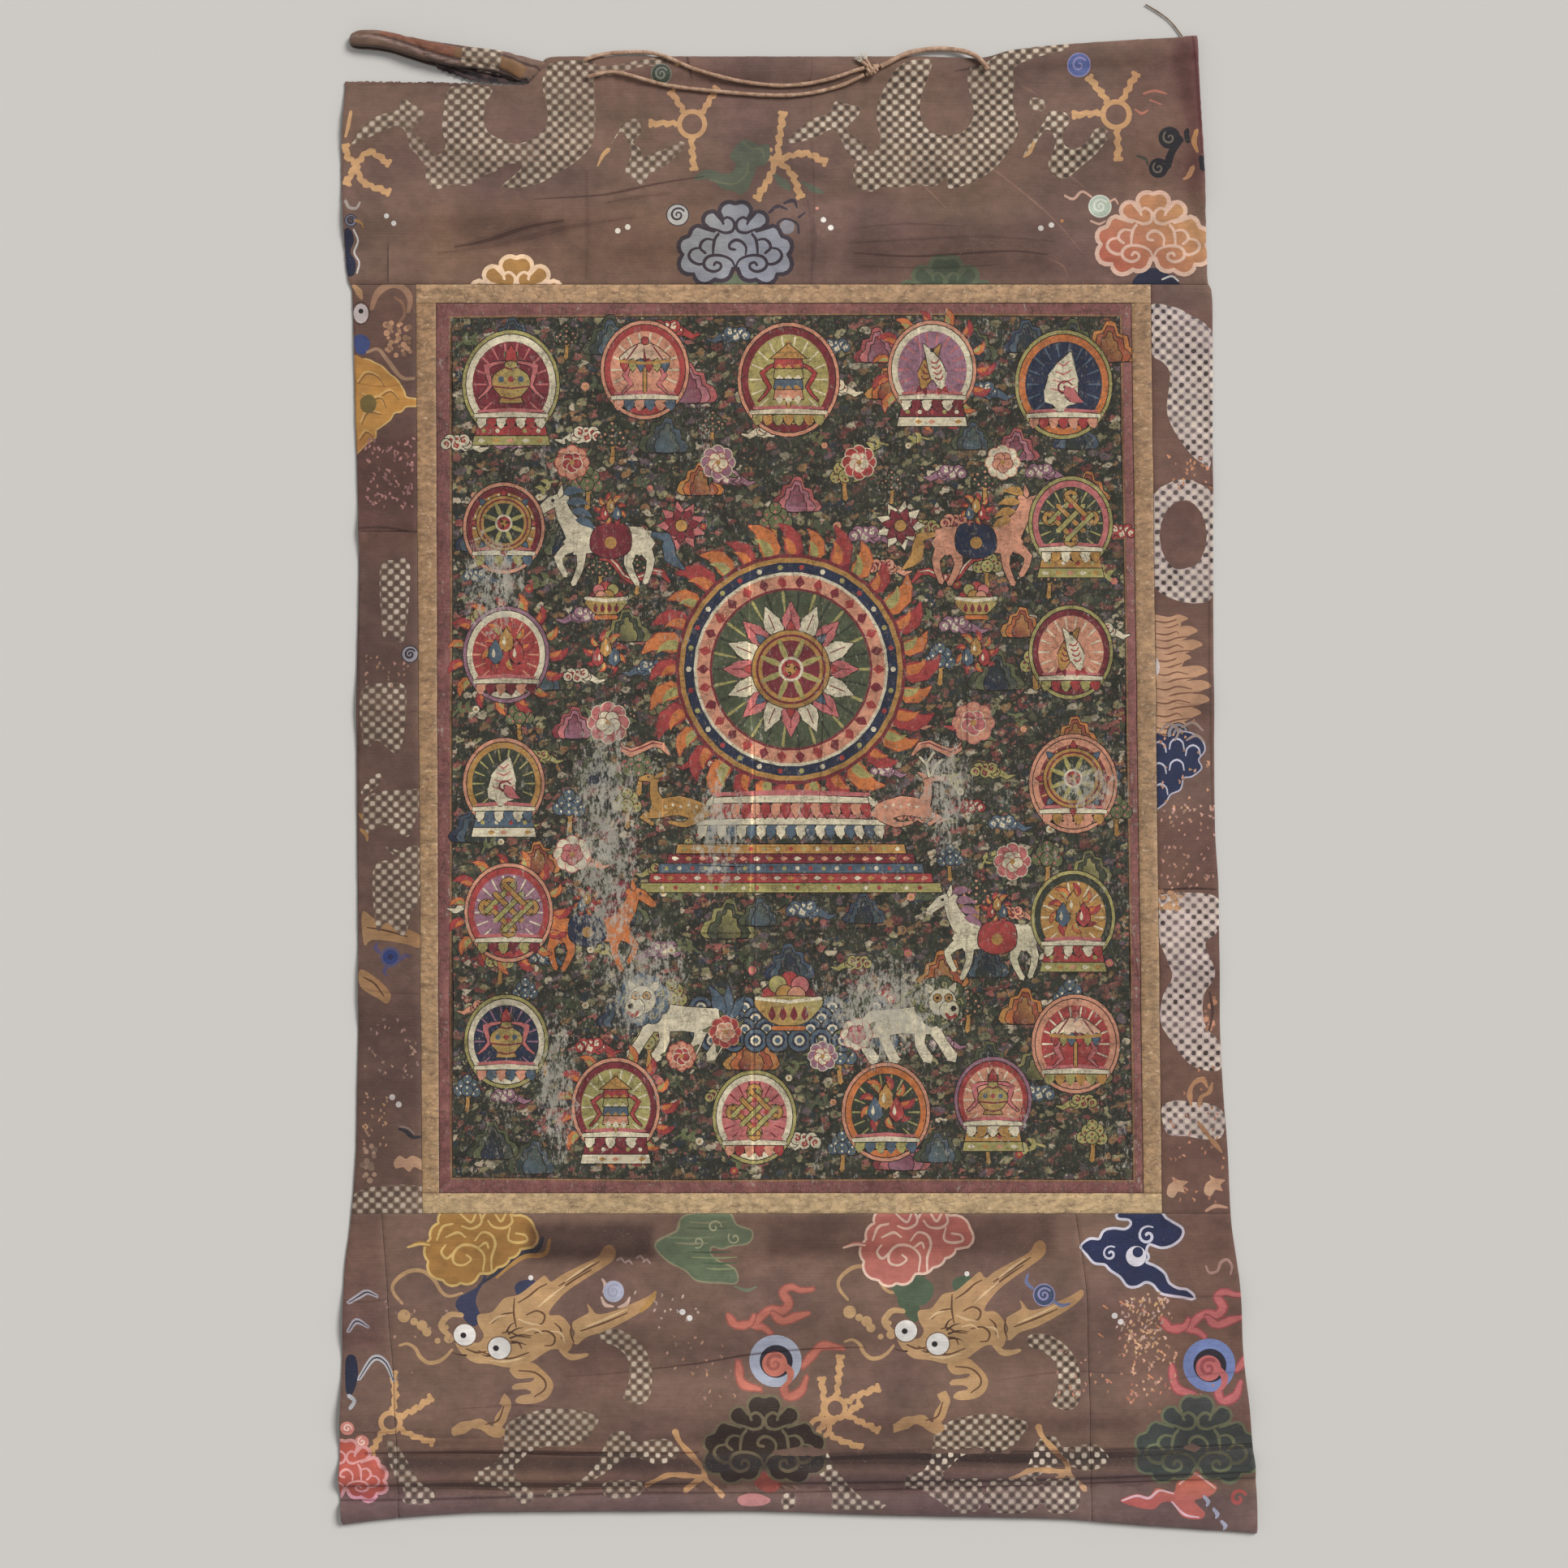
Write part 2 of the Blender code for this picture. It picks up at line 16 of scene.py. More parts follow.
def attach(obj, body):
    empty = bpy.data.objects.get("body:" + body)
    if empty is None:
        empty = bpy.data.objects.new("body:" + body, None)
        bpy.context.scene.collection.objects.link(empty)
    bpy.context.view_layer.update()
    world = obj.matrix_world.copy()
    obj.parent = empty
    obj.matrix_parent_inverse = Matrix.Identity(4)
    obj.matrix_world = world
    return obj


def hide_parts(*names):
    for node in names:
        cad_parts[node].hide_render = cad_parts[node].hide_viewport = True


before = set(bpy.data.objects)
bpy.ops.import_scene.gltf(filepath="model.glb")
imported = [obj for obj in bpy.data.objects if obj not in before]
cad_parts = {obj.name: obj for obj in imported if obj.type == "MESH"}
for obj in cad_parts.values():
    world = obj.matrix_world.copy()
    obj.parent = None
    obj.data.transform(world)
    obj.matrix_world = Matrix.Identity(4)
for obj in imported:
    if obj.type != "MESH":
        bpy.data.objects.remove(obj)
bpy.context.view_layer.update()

MM = 0.001
rng = random.Random(1741)

# The draft is the plan view that every place was taken down from. Its squares are 2/3 mm, and it
# counts to the right and downwards from its top left corner.
DRAFT_SQUARE = 2 / 3
DRAFT_CENTRE = (983.5, 962.5)

# Sizes and lines of the solid model, repeated here.
BROCADE_THICK = 2.0
STRIP_THICK = 2.4
CANVAS_THICK = 1.6
SEAM_GAP = 0.3
TOP_SEAM_Y = 408.3
BOTTOM_SEAM_Y = -355.3
LEFT_PIECING_Y = 205.0
RIGHT_PIECING_Y = -89.0
CANVAS_TOP_Y = 393.0
CANVAS_BOTTOM_Y = -338.5
HEADING_WIDTH = 20.0
HEADING_RISE = 2.5
HEADING_STARTS_X = -215.0
HEADING_WHOLE_X = -190.0
HEM_RISE = 6.0
LEFT_EDGE = [
    (612, -372), (575, -372.5), (508, -375.5), (442, -373), (409, -369), (407, -367), (388, -366),
    (322, -364.5), (175, -361), (68, -363), (-38, -362.5), (-92, -362), (-198, -361.5), (-252, -362.5),
    (-305, -363.5), (-358, -367.5), (-412, -373.5), (-465, -374.5), (-518, -376), (-572, -377),
    (-618, -374),
]
RIGHT_EDGE = [
    (612, 327.5), (575, 329), (508, 333), (442, 335.5), (409, 336.5), (407, 339), (388, 340.5),
    (322, 340.5), (175, 341), (68, 341.5), (-38, 342.5), (-92, 345.5), (-198, 346.5), (-252, 349),
    (-305, 353), (-358, 355.5), (-412, 362.5), (-465, 365.5), (-518, 370.5), (-572, 375.5), (-618, 377),
]
TOP_EDGE = [
    (-372, 575), (-300, 574.5), (-226, 572), (-206, 594.5), (-196, 595.7), (98, 595.7), (148, 594.5),
    (178, 601.5), (224, 606), (278, 609.5), (330, 612.3),
]
BOTTOM_EDGE = [
    (-377, -611.5), (-342, -607), (-309, -604), (-255, -601), (-55, -600), (78, -603.7), (211, -606.5),
    (278, -611.5), (377, -618.3),
]
LEFT_STRIP_OUTER = [(408.3, -314.3), (-355.3, -309)]
LEFT_STRIP_INNER = [(408.3, -297.8), (-355.3, -295)]
RIGHT_STRIP_INNER = [(408.3, 273.5), (-355.3, 284)]
RIGHT_STRIP_OUTER = [(408.3, 289.7), (-355.3, 299)]
BOTTOM_LEFT_SEAM = [(-355, -342.5), (-522, -331), (-615, -327.5)]
BOTTOM_RIGHT_SEAM = [(-355, 228), (-425, 237), (-615, 241)]
HEM_WIDTH = [(-377, 19), (-130, 18), (0, 20), (120, 21), (237, 27), (377, 44)]
Fold = namedtuple("Fold", "x1 y1 x2 y2 height reach")
FOLDS = [
    Fold(-390, -572, 390, -562, 7.0, 17),
    Fold(-390, -521, 390, -514, 6.0, 36),
    Fold(-390, -444, -120, -441, 4.5, 34),
    Fold(-120, -441, 390, -428, 4.5, 38),
    Fold(-200, -383, 60, -376, 3.0, 18),
    Fold(-60, 507, 350, 536, 3.5, 42),
    Fold(-390, 541, -225, 527, 3.0, 34),
    Fold(-390, 462, -205, 471, 3.0, 28),
    Fold(-110, 449, 250, 441, 3.5, 34),
    Fold(324, 596, 333, 492, 5.5, 18),
    Fold(-380, 205, -312, 209, 3.0, 18),
    Fold(-380, 62, -312, 52, 2.5, 34),
    Fold(-380, -168, -312, -176, 2.5, 38),
    Fold(295, 246, 360, 238, 2.5, 30),
    Fold(295, 72, 360, 60, 3.0, 34),
    Fold(295, -150, 360, -160, 2.5, 38),
    Fold(-270, 318, 250, 326, 1.4, 42),
    Fold(-270, 92, 260, 108, 1.6, 46),
    Fold(-39, 30, -37, -310, 1.8, 14),
]


# ---------------------------------------------------------------- the camera

CAMERA_PLACE = (-0.0117, -0.0023, 2.4)
CAMERA_LENS = 67.0
CAMERA_SENSOR = 36.0
CAMERA_NEAR = 0.05


def add_camera():
    """Straight over the middle of the scroll, as the photograph was taken."""
    data = bpy.data.cameras.new("camera")
    data.lens = CAMERA_LENS
    data.sensor_width = CAMERA_SENSOR
    data.clip_start = CAMERA_NEAR
    camera = bpy.data.objects.new("camera", data)
    camera.location = CAMERA_PLACE
    bpy.context.scene.collection.objects.link(camera)
    bpy.context.scene.camera = camera


add_camera()


# ---------------------------------------------------------------- curves and heights

def smooth_curve(points):
    """A curve through the points, in order, that never overshoots them. It works on whole arrays."""
    xs, ys = np.array(sorted(points), dtype=float).T
    span = np.diff(xs)
    slope = np.diff(ys) / span
    product = slope[:-1] * slope[1:]
    total = slope[:-1] + slope[1:]
    inner = np.where(product > 0, 2 * product / np.where(total == 0, 1, total), 0.0)
    tangent = np.concatenate(([slope[0]], inner, [slope[-1]]))

    def value_at(x):
        x = np.asarray(x, dtype=float)
        i = np.clip(np.searchsorted(xs, x, side="right") - 1, 0, len(span) - 1)
        t = np.clip((x - xs[i]) / span[i], 0, 1)
        rise = ys[i + 1] - ys[i]
        start = tangent[i] * span[i]
        end = tangent[i + 1] * span[i]
        within = ys[
            i] + t * start + t * t * (3 * rise - 2 * start - end) + t ** 3 * (start + end - 2 * rise)
        return within + slope[0] * np.minimum(x - xs[0], 0) + slope[-1] * np.maximum(x - xs[-1], 0)

    return value_at


left_edge = smooth_curve(LEFT_EDGE)
right_edge = smooth_curve(RIGHT_EDGE)
top_edge = smooth_curve(TOP_EDGE)
bottom_edge = smooth_curve(BOTTOM_EDGE)
hem_width = smooth_curve(HEM_WIDTH)
strip_outer_left = smooth_curve(LEFT_STRIP_OUTER)
strip_inner_left = smooth_curve(LEFT_STRIP_INNER)
strip_inner_right = smooth_curve(RIGHT_STRIP_INNER)
strip_outer_right = smooth_curve(RIGHT_STRIP_OUTER)
bottom_left_seam = smooth_curve(BOTTOM_LEFT_SEAM)
bottom_right_seam = smooth_curve(BOTTOM_RIGHT_SEAM)


def fold_lift(x, y):
    """How high the underside of the cloth stands above the surface."""
    lift = np.zeros(np.shape(x))
    for fold in FOLDS:
        length = math.hypot(fold.x2 - fold.x1, fold.y2 - fold.y1)
        along_x = (fold.x2 - fold.x1) / length
        along_y = (fold.y2 - fold.y1) / length
        along = (x - fold.x1) * along_x + (y - fold.y1) * along_y
        aside = (y - fold.y1) * along_x - (x - fold.x1) * along_y
        past_end = np.maximum(np.maximum(-along, along - length), 0.0)
        away = np.minimum(np.hypot(aside, past_end / 2) / fold.reach, 1.0)
        lift = np.maximum(lift, fold.height * (0.5 + 0.5 * np.cos(math.pi * away)))
    return lift


def tube_rise(distance, width, rise):
    """The rounded back of a pressed tube that lies along an edge."""
    off_centre = np.clip(2 * distance / width - 1, -1, 1)
    return rise * np.sqrt(1 - off_centre * off_centre)


def brocade_thickness(x, y):
    """The brocade, thicker where its heading and its hem are folded."""
    wholeness = (x - HEADING_STARTS_X) / (HEADING_WHOLE_X - HEADING_STARTS_X)
    heading = HEADING_RISE * np.clip(wholeness, 0, 1)
    return (BROCADE_THICK
            + tube_rise(top_edge(x) - y, HEADING_WIDTH, heading)
            + tube_rise(y - bottom_edge(x), hem_width(x), HEM_RISE))


def ripple(x, y, seed, size):
    """Slow, even-handed unevenness between about -1 and 1, in lumps of a given size."""
    turn = random.Random(seed)
    total = np.zeros(np.shape(x))
    for _ in range(6):
        angle = turn.uniform(0, math.pi)
        pitch = size * turn.uniform(0.7, 1.6)
        wave = (np.cos(angle) * x + np.sin(angle) * y) / pitch * math.tau
        total = total + np.sin(wave + turn.uniform(0, math.tau))
    return total / 3.2


# ---------------------------------------------------------------- drawing

def draft(points):
    """Places on the draft, as places on the scroll."""
    table = np.atleast_2d(np.array(points, dtype=float))
    return np.stack(
        ((table[:, 0] - DRAFT_CENTRE[0]) * DRAFT_SQUARE, (DRAFT_CENTRE[1] - table[:, 1]) * DRAFT_SQUARE),
        axis=1)


def window(left, top, finer, breadth=1.0):
    """A window on the draft with its own finer squares, for the places of small motifs."""
    def place(points):
        table = np.atleast_2d(np.array(points, dtype=float))
        return draft(np.stack((left + table[:, 0] / finer * breadth, top + table[:, 1] / finer), axis=1))

    return place


def linear(colour):
    """A colour as it looks on a screen, out of 255, as light."""
    share = np.asarray(colour, dtype=float) / 255
    return np.where(share <= 0.04045, share / 12.92, ((share + 0.055) / 1.055) ** 2.4)


def between(a, b, c, d, t):
    """A place a share t of the way from b to c, on the smooth curve through all four."""
    return 0.5 * (2 * b + (c - a) * t + (2 * a - 5 * b + 4 * c - d) * t * t
                  + (3 * b - a - 3 * c + d) * t ** 3)


def bend(points, closed=False, step=2.2):
    """A smooth line through the points, with new points about a step apart."""
    table = np.asarray(points, dtype=float)
    count = len(table)
    if count < 3 and not closed:
        return table
    line = []
    for i in range(count if closed else count - 1):
        if closed:
            a, b, c, d = (table[(i + k) % count] for k in (-1, 0, 1, 2))
        else:
            b, c = table[i], table[i + 1]
            a = table[i - 1] if i else 2 * b - c
            d = table[i + 2] if i + 2 < count else 2 * c - b
        parts = min(10, max(1, round(math.hypot(*(c - b)) / step)))
        line += [between(a, b, c, d, k / parts) for k in range(parts)]
    if not closed:
        line.append(table[-1])
    return np.array(line)


def stroke_radii(widths, count):
    """Half widths along a line, from one width or from several spread evenly along it."""
    widths = np.atleast_1d(np.array(widths, dtype=float)) / 2
    return np.interp(np.linspace(0, 1, count), np.linspace(0, 1, len(widths)), widths)


class Shape:
    """One drawn shape. It is a filled outline or, with widths, a stroke along a line."""

    def __init__(self, line, colour, widths=None, end=None, lattice=0.0, gloss=0.0, tint=False):
        self.line = np.asarray(line, dtype=float)
        self.radii = None if widths is None else stroke_radii(widths, len(self.line))
        self.colour = np.asarray(colour, dtype=float) if tint else linear(colour)
        self.end = None if end is None else linear(end)
        self.finish = (lattice, gloss)
        self.tint = tint
        margin = 0.0 if self.radii is None else float(self.radii.max())
        self.low = self.line.min(axis=0) - margin
        self.high = self.line.max(axis=0) + margin

    def rim(self):
        """The closed outline that the cloth's mesh is cut along."""
        if self.radii is None:
            return self.line
        way = np.gradient(self.line, axis=0)
        length = np.hypot(way[:, 0], way[:, 1])
        way = way / np.where(length == 0, 1, length)[:, None]
        side = np.stack((-way[:, 1], way[:, 0]), axis=1) * self.radii[:, None]
        start = self.line[0] - way[0] * self.radii[0]
        finish = self.line[-1] + way[-1] * self.radii[-1]
        return np.concatenate(([start], self.line + side, [finish], (self.line - side)[::-1]))

    def covers(self, places):
        """Which places it lies on."""
        if self.radii is None:
            return inside(places, self.line)
        covered = np.zeros(len(places), dtype=bool)
        for i in range(len(self.line) - 1):
            a, way = self.line[i], self.line[i + 1] - self.line[i]
            length = max(way @ way, 1e-9)
            t = np.clip((places - a) @ way / length, 0, 1)
            gap = places - a - t[:, None] * way
            radius = self.radii[i] + t * (self.radii[i + 1] - self.radii[i])
            covered |= gap[:, 0] ** 2 + gap[:, 1] ** 2 < radius * radius
        return covered

    def colours(self, places):
        """Its colour at some places. A second colour comes in from its lower left to its upper right."""
        if self.end is None:
            return np.broadcast_to(self.colour, (len(places), 3))
        size = self.high - self.low
        share = np.clip((places - self.low) @ np.array([1.0, 1.0]) / max(size.sum(), 1e-6), 0, 1)
        return self.colour + share[:, None] * (self.end - self.colour)


def inside(places, outline):
    """Which places lie in a closed outline."""
    x, y = places[:, 0], places[:, 1]
    found = np.zeros(len(places), dtype=bool)
    for (ax, ay), (bx, by) in zip(outline, np.roll(outline, -1, axis=0)):
        if ay == by:
            continue
        crosses = (ay > y) != (by > y)
        found ^= crosses & (x < (bx - ax) * (y - ay) / (by - ay) + ax)
    return found


# ---------------------------------------------------------------- materials

# How far a flat pattern is stretched upwards, so that it doesn't change with height.
FLAT = 1e6


class Graph:
    """A short way to write a material's nodes. Each call returns the socket that it makes."""

    def __init__(self, name, roughness, sheen=0.0, specular=0.3):
        self.material = bpy.data.materials.new(name)
        self.material.use_nodes = True
        self.tree = self.material.node_tree
        self.shader = self.tree.nodes["Principled BSDF"]
        for socket, value in (
                ("Roughness", roughness), ("Sheen Weight", sheen), ("Sheen Roughness", 0.45),
                ("Specular IOR Level", specular)):
            self.put(value, self.shader.inputs[socket])
        place = self.node("TexCoord").outputs["Object"]
        self.place = self.scaled(place, 1 / MM)

    def node(self, kind, inputs=(), **settings):
        """A new node, with its settings, and with values or other nodes' sockets for its inputs."""
        made = self.tree.nodes.new("ShaderNode" + kind)
        for name, value in settings.items():
            setattr(made, name, value)
        for name, value in dict(inputs).items():
            self.put(value, made.inputs[name])
        return made

    def put(self, value, socket):
        """Gives an input a value, or what another node's socket sends."""
        if isinstance(value, bpy.types.NodeSocket):
            self.tree.links.new(value, socket)
        elif hasattr(socket.default_value, "__len__") and not hasattr(value, "__len__"):
            socket.default_value = (value,) * len(socket.default_value)
        elif hasattr(value, "__len__") and len(socket.default_value) == 4:
            socket.default_value = (*value[:3], 1.0)
        else:
            socket.default_value = value

    def math(self, operation, *values, clamp=False):
        return self.node("Math", enumerate(values), operation=operation, use_clamp=clamp).outputs[0]

    def times(self, a, b):
        return self.math("MULTIPLY", a, b)

    def plus(self, a, b):
        return self.math("ADD", a, b)

    def minus(self, a, b):
        return self.math("SUBTRACT", a, b)

    def axes(self, vector=None):
        """The three numbers of a vector, or of the place in millimetres."""
        return self.node("SeparateXYZ", {0: self.place if vector is None else vector}).outputs

    def stretched(self, x, y, z=1.0, turn=0.0):
        """The place, scaled along each axis and turned about the vertical, in degrees."""
        return self.node(
            "Mapping", {"Vector": self.place, "Rotation": (0, 0, math.radians(turn)), "Scale": (x, y, z)},
            vector_type="TEXTURE").outputs[0]

    def noise(self, x, y=None, detail=3.0, roughness=0.55, turn=0.0):
        """Noise in lumps of about x by y millimetres."""
        where = self.stretched(x, x if y is None else y, x, turn)
        return self.node(
            "TexNoise", {"Vector": where, "Scale": 1.0, "Detail": detail,
            "Roughness": roughness}).outputs["Fac"]

    def cracks(self, x, y=None, turn=0.0):
        """Distance to the nearest edge of cells of about x by y millimetres."""
        where = self.stretched(x, x if y is None else y, FLAT, turn)
        return self.node(
            "TexVoronoi", {"Vector": where, "Scale": 1.0, "Randomness": 1.0},
            feature="DISTANCE_TO_EDGE").outputs["Distance"]

    def warped(self, vector, size, amount):
        """A place, pushed about by noise so that edges run crooked."""
        noise = self.node(
            "TexNoise", {"Vector": self.stretched(size, size, size), "Scale": 1.0, "Detail": 2.0})
        return self.node(
            "VectorMath", {0: vector, 1: self.scaled(noise.outputs["Color"], amount)}).outputs[0]

    def cells(self, x, y, turn=0.0, sway=0.0):
        """For cells of about x by y millimetres: the way to a cell's middle, and a chance value for it."""
        where = self.warped(self.stretched(x, y, FLAT, turn), (x + y) / 2, sway)
        node = self.node("TexVoronoi", {"Vector": where, "Scale": 1.0})
        return node.outputs["Distance"], self.axes(node.outputs["Color"])[0]

    def pick(self, value, steps):
        """The colour of the last step that a value has reached. A step is where it starts and a colour."""
        node = self.node("ValToRGB", {0: value})
        ramp = node.color_ramp
        ramp.interpolation = "CONSTANT"
        while len(ramp.elements) < len(steps):
            ramp.elements.new(1.0)
        for element, (start, colour) in zip(ramp.elements, steps):
            element.position = start
            element.color = (*linear(colour), 1.0)
        return node.outputs["Color"]

    def oval(self, left, top, right, bottom):
        """1 in the middle of a box on the draft and 0 at its edge, as a rounded hill."""
        middle = draft(((left + right) / 2, (top + bottom) / 2))[0].tolist()
        half = (right - left) / 2 * DRAFT_SQUARE, (bottom - top) / 2 * DRAFT_SQUARE
        ways = [self.math("DIVIDE", self.minus(value, centre), reach)
                for value, centre, reach in zip(self.axes(), middle, half)]
        squared = self.plus(*(self.times(way, way) for way in ways))
        return self.math("SUBTRACT", 1.0, squared, clamp=True)

    def threads(self, pitch, turn=0.0):
        """Threads side by side, a pitch apart, as a wave between 0 and 1."""
        return self.node(
            "TexWave", {"Vector": self.stretched(1.0, 1.0, 1.0, turn), "Scale": math.pi / 10 / pitch,
            "Distortion": 0.6, "Detail": 1.0, "Detail Scale": 0.15}, bands_direction="X").outputs["Fac"]

    def span(self, value, low, high, to_low=0.0, to_high=1.0):
        """The share of the way from low to high, or the same share of the way between two others."""
        return self.node(
            "MapRange", {"Value": value, "From Min": low, "From Max": high, "To Min": to_low,
            "To Max": to_high}, clamp=True).outputs[0]

    def mix(self, share, a, b, blend="MIX"):
        """A colour between a and b."""
        return self.node(
            "Mix", {"Factor": share, 6: a, 7: b}, data_type="RGBA", blend_type=blend,
            clamp_factor=True).outputs[2]

    def over(self, colour, layer, share, amount=1.0):
        """A layer's own colour, laid over a colour by a share that is scaled by an amount."""
        return self.mix(share if amount == 1.0 else self.times(share, amount), colour, linear(layer))

    def scaled(self, colour, factor):
        return self.node("VectorMath", {0: colour, "Scale": factor}, operation="SCALE").outputs[0]

    def shaded(self, colour, value, low, high, dark, light):
        """A colour, scaled from dark to light as a value goes from low to high."""
        return self.scaled(colour, self.span(value, low, high, dark, light))

    def attribute(self, name):
        return self.node("Attribute", attribute_name=name).outputs["Color"]

    def finish(self, colour, height=None, relief=0.3, roughness=None):
        """Sends the colour, and the relief in shares of a millimetre, to the surface."""
        self.put(colour, self.shader.inputs["Base Color"])
        if roughness is not None:
            self.put(roughness, self.shader.inputs["Roughness"])
        if height is not None:
            bump = self.node("Bump", {"Strength": relief, "Distance": MM, "Height": height})
            self.put(bump.outputs[0], self.shader.inputs["Normal"])
        return self.material


# The lattice of scales: how far it is from one to the next, and the colours of its two rows of dots.
SCALE_WIDTH = 10.0
SCALE_HEIGHT = 9.3
SCALE_PALE = (210, 194, 174)
SCALE_DARK = (58, 46, 40)
# What wear and dirt leave on the silks and on the leather, and GOLD_SHINE, a painted shine on the gold.
LINT = (172, 152, 134)
PURPLISH = (0.86, 0.8, 0.98)
GOLD_SHINE = (222, 196, 160)
GOLD_SCUFF = (106, 78, 60)
GOLD_MARK = (84, 60, 48)
HIDE_DARK = (148, 112, 88)
HIDE_PALE = (198, 164, 138)
HIDE_CREASE = (98, 68, 52)
HIDE_RUBBED = (226, 190, 160)
# The same for the painting. The bare canvas shows between two tones.
CROWD_SHADE = (46, 44, 38)
PAINT_RUBBED = (66, 58, 50)
PAINT_WORN = (158, 138, 118)
CRACK = (44, 38, 32)
BARE_DULL = (120, 116, 104)
BARE_PALE = (206, 198, 182)


def brocade_material():
    """Worn silk. Where a shape asks for it, the lattice of scales is woven in."""
    g = Graph("brown_brocade", 0.62, sheen=0.25)
    lattice, gloss, _ = g.axes(g.attribute("Mask"))
    x, y, _ = g.axes()
    sway = g.times(g.minus(g.noise(14), 0.5), 3.2)
    across = g.math("COSINE", g.times(g.plus(x, sway), math.tau / SCALE_WIDTH))
    up = g.math("COSINE", g.times(g.plus(y, sway), math.tau / SCALE_HEIGHT))
    dots = g.times(across, up)
    rubbed = g.span(g.noise(38, detail=4), 0.4, 0.62)
    pale = g.times(g.span(dots, 0.12, 0.5), lattice)
    dark = g.times(g.span(dots, -0.2, -0.46), lattice)
    colour = g.over(g.attribute("Col"), SCALE_PALE, g.times(pale, g.span(rubbed, 0, 1, 0.5, 0.9)))
    colour = g.over(colour, SCALE_DARK, g.times(dark, g.span(g.noise(30), 0.35, 0.6, 0.6, 0.9)))
    weft = g.threads(0.9, turn=90)
    warp = g.threads(0.62)
    colour = g.shaded(colour, g.noise(46, 1.3, detail=2), 0.3, 0.7, 0.95, 1.05)
    colour = g.shaded(colour, g.noise(90, 60, detail=4), 0.3, 0.7, 0.88, 1.12)
    colour = g.shaded(colour, g.noise(13, 10, detail=6, roughness=0.72), 0.3, 0.7, 0.8, 1.2)
    colour = g.shaded(colour, g.noise(38, 30, detail=4), 0.35, 0.65, 0.9, 1.1)
    colour = g.shaded(colour, weft, 0, 1, 0.94, 1.06)
    # Warm brown drifts into a darker and a purplish brown, as the dyes have faded unevenly.
    colour = g.mix(g.span(g.noise(130, detail=2), 0.48, 0.62, 0, 0.3), colour, g.scaled(colour, 0.9))
    colour = g.mix(g.span(g.noise(120, 80, detail=2), 0.5, 0.68, 0, 0.35), colour,
                   g.mix(1.0, colour, PURPLISH, "MULTIPLY"))
    lint = g.span(g.noise(2.2, 0.7, detail=3), 0.6, 0.74)
    colour = g.over(colour, LINT, g.times(lint, g.span(g.noise(30), 0.45, 0.7, 0.08, 0.4)))
    height = g.plus(g.times(g.times(weft, warp), 0.35), g.times(g.noise(5, 2.5), 0.5))
    height = g.plus(height, g.times(gloss, 0.25))
    return g.finish(colour, height, 0.35, g.span(gloss, 0, 1, 0.66, 0.45))


def gold_material():
    """A strip of gold silk, rubbed along its ribs, with painted shine in bright places, dull ones and fine
    dark marks.
    """
    g = Graph("gold_brocade", 0.5, sheen=0.2, specular=0.45)
    rib = g.threads(0.75, turn=90)
    colour = g.shaded(g.attribute("Col"), g.noise(7, 5, detail=6, roughness=0.7), 0.34, 0.66, 0.62, 1.34)
    colour = g.shaded(colour, g.noise(60, 40, detail=3), 0.3, 0.7, 0.84, 1.16)
    # Painted shine: bright patches where the gold thread would catch the light.
    colour = g.over(colour, GOLD_SHINE, g.span(g.noise(4, 2.4, detail=5), 0.58, 0.72, 0, 0.6))
    scuff = g.span(g.noise(9, 3.4, detail=6, roughness=0.75), 0.54, 0.66, 0, 0.75)
    colour = g.over(colour, GOLD_SCUFF, scuff)
    marks = g.span(g.cracks(9, 5, turn=20), 0.0, 0.05, 1, 0)
    marks = g.times(marks, g.span(g.noise(16, detail=4), 0.46, 0.6))
    colour = g.over(colour, GOLD_MARK, marks, 0.6)
    colour = g.shaded(colour, rib, 0, 1, 0.9, 1.08)
    height = g.plus(g.times(rib, 0.5), g.times(g.noise(4, 1.4), 0.6))
    return g.finish(colour, g.minus(height, g.times(marks, 0.5)), 0.4)


# The small leaves, flowers and stones that crowd the painted ground: where each starts, and its colour.
GROUND_PALETTE = [
    (0.0, (44, 44, 40)), (0.24, (60, 64, 50)), (0.4, (82, 82, 62)), (0.5, (48, 54, 62)),
    (0.57, (118, 62, 60)), (0.65, (142, 106, 72)), (0.73, (150, 90, 82)), (0.81, (150, 140, 104)),
    (0.88, (188, 172, 146)), (0.93, (104, 86, 92)),
]
# Where paint has come off: boxes on the draft.
LOSSES = [
    (690, 810, 800, 1270), (730, 1120, 860, 1300), (840, 930, 930, 1120), (1120, 890, 1210, 1060),
    (560, 640, 660, 800), (980, 1160, 1200, 1330), (650, 1220, 720, 1460), (1290, 930, 1390, 1010),
]


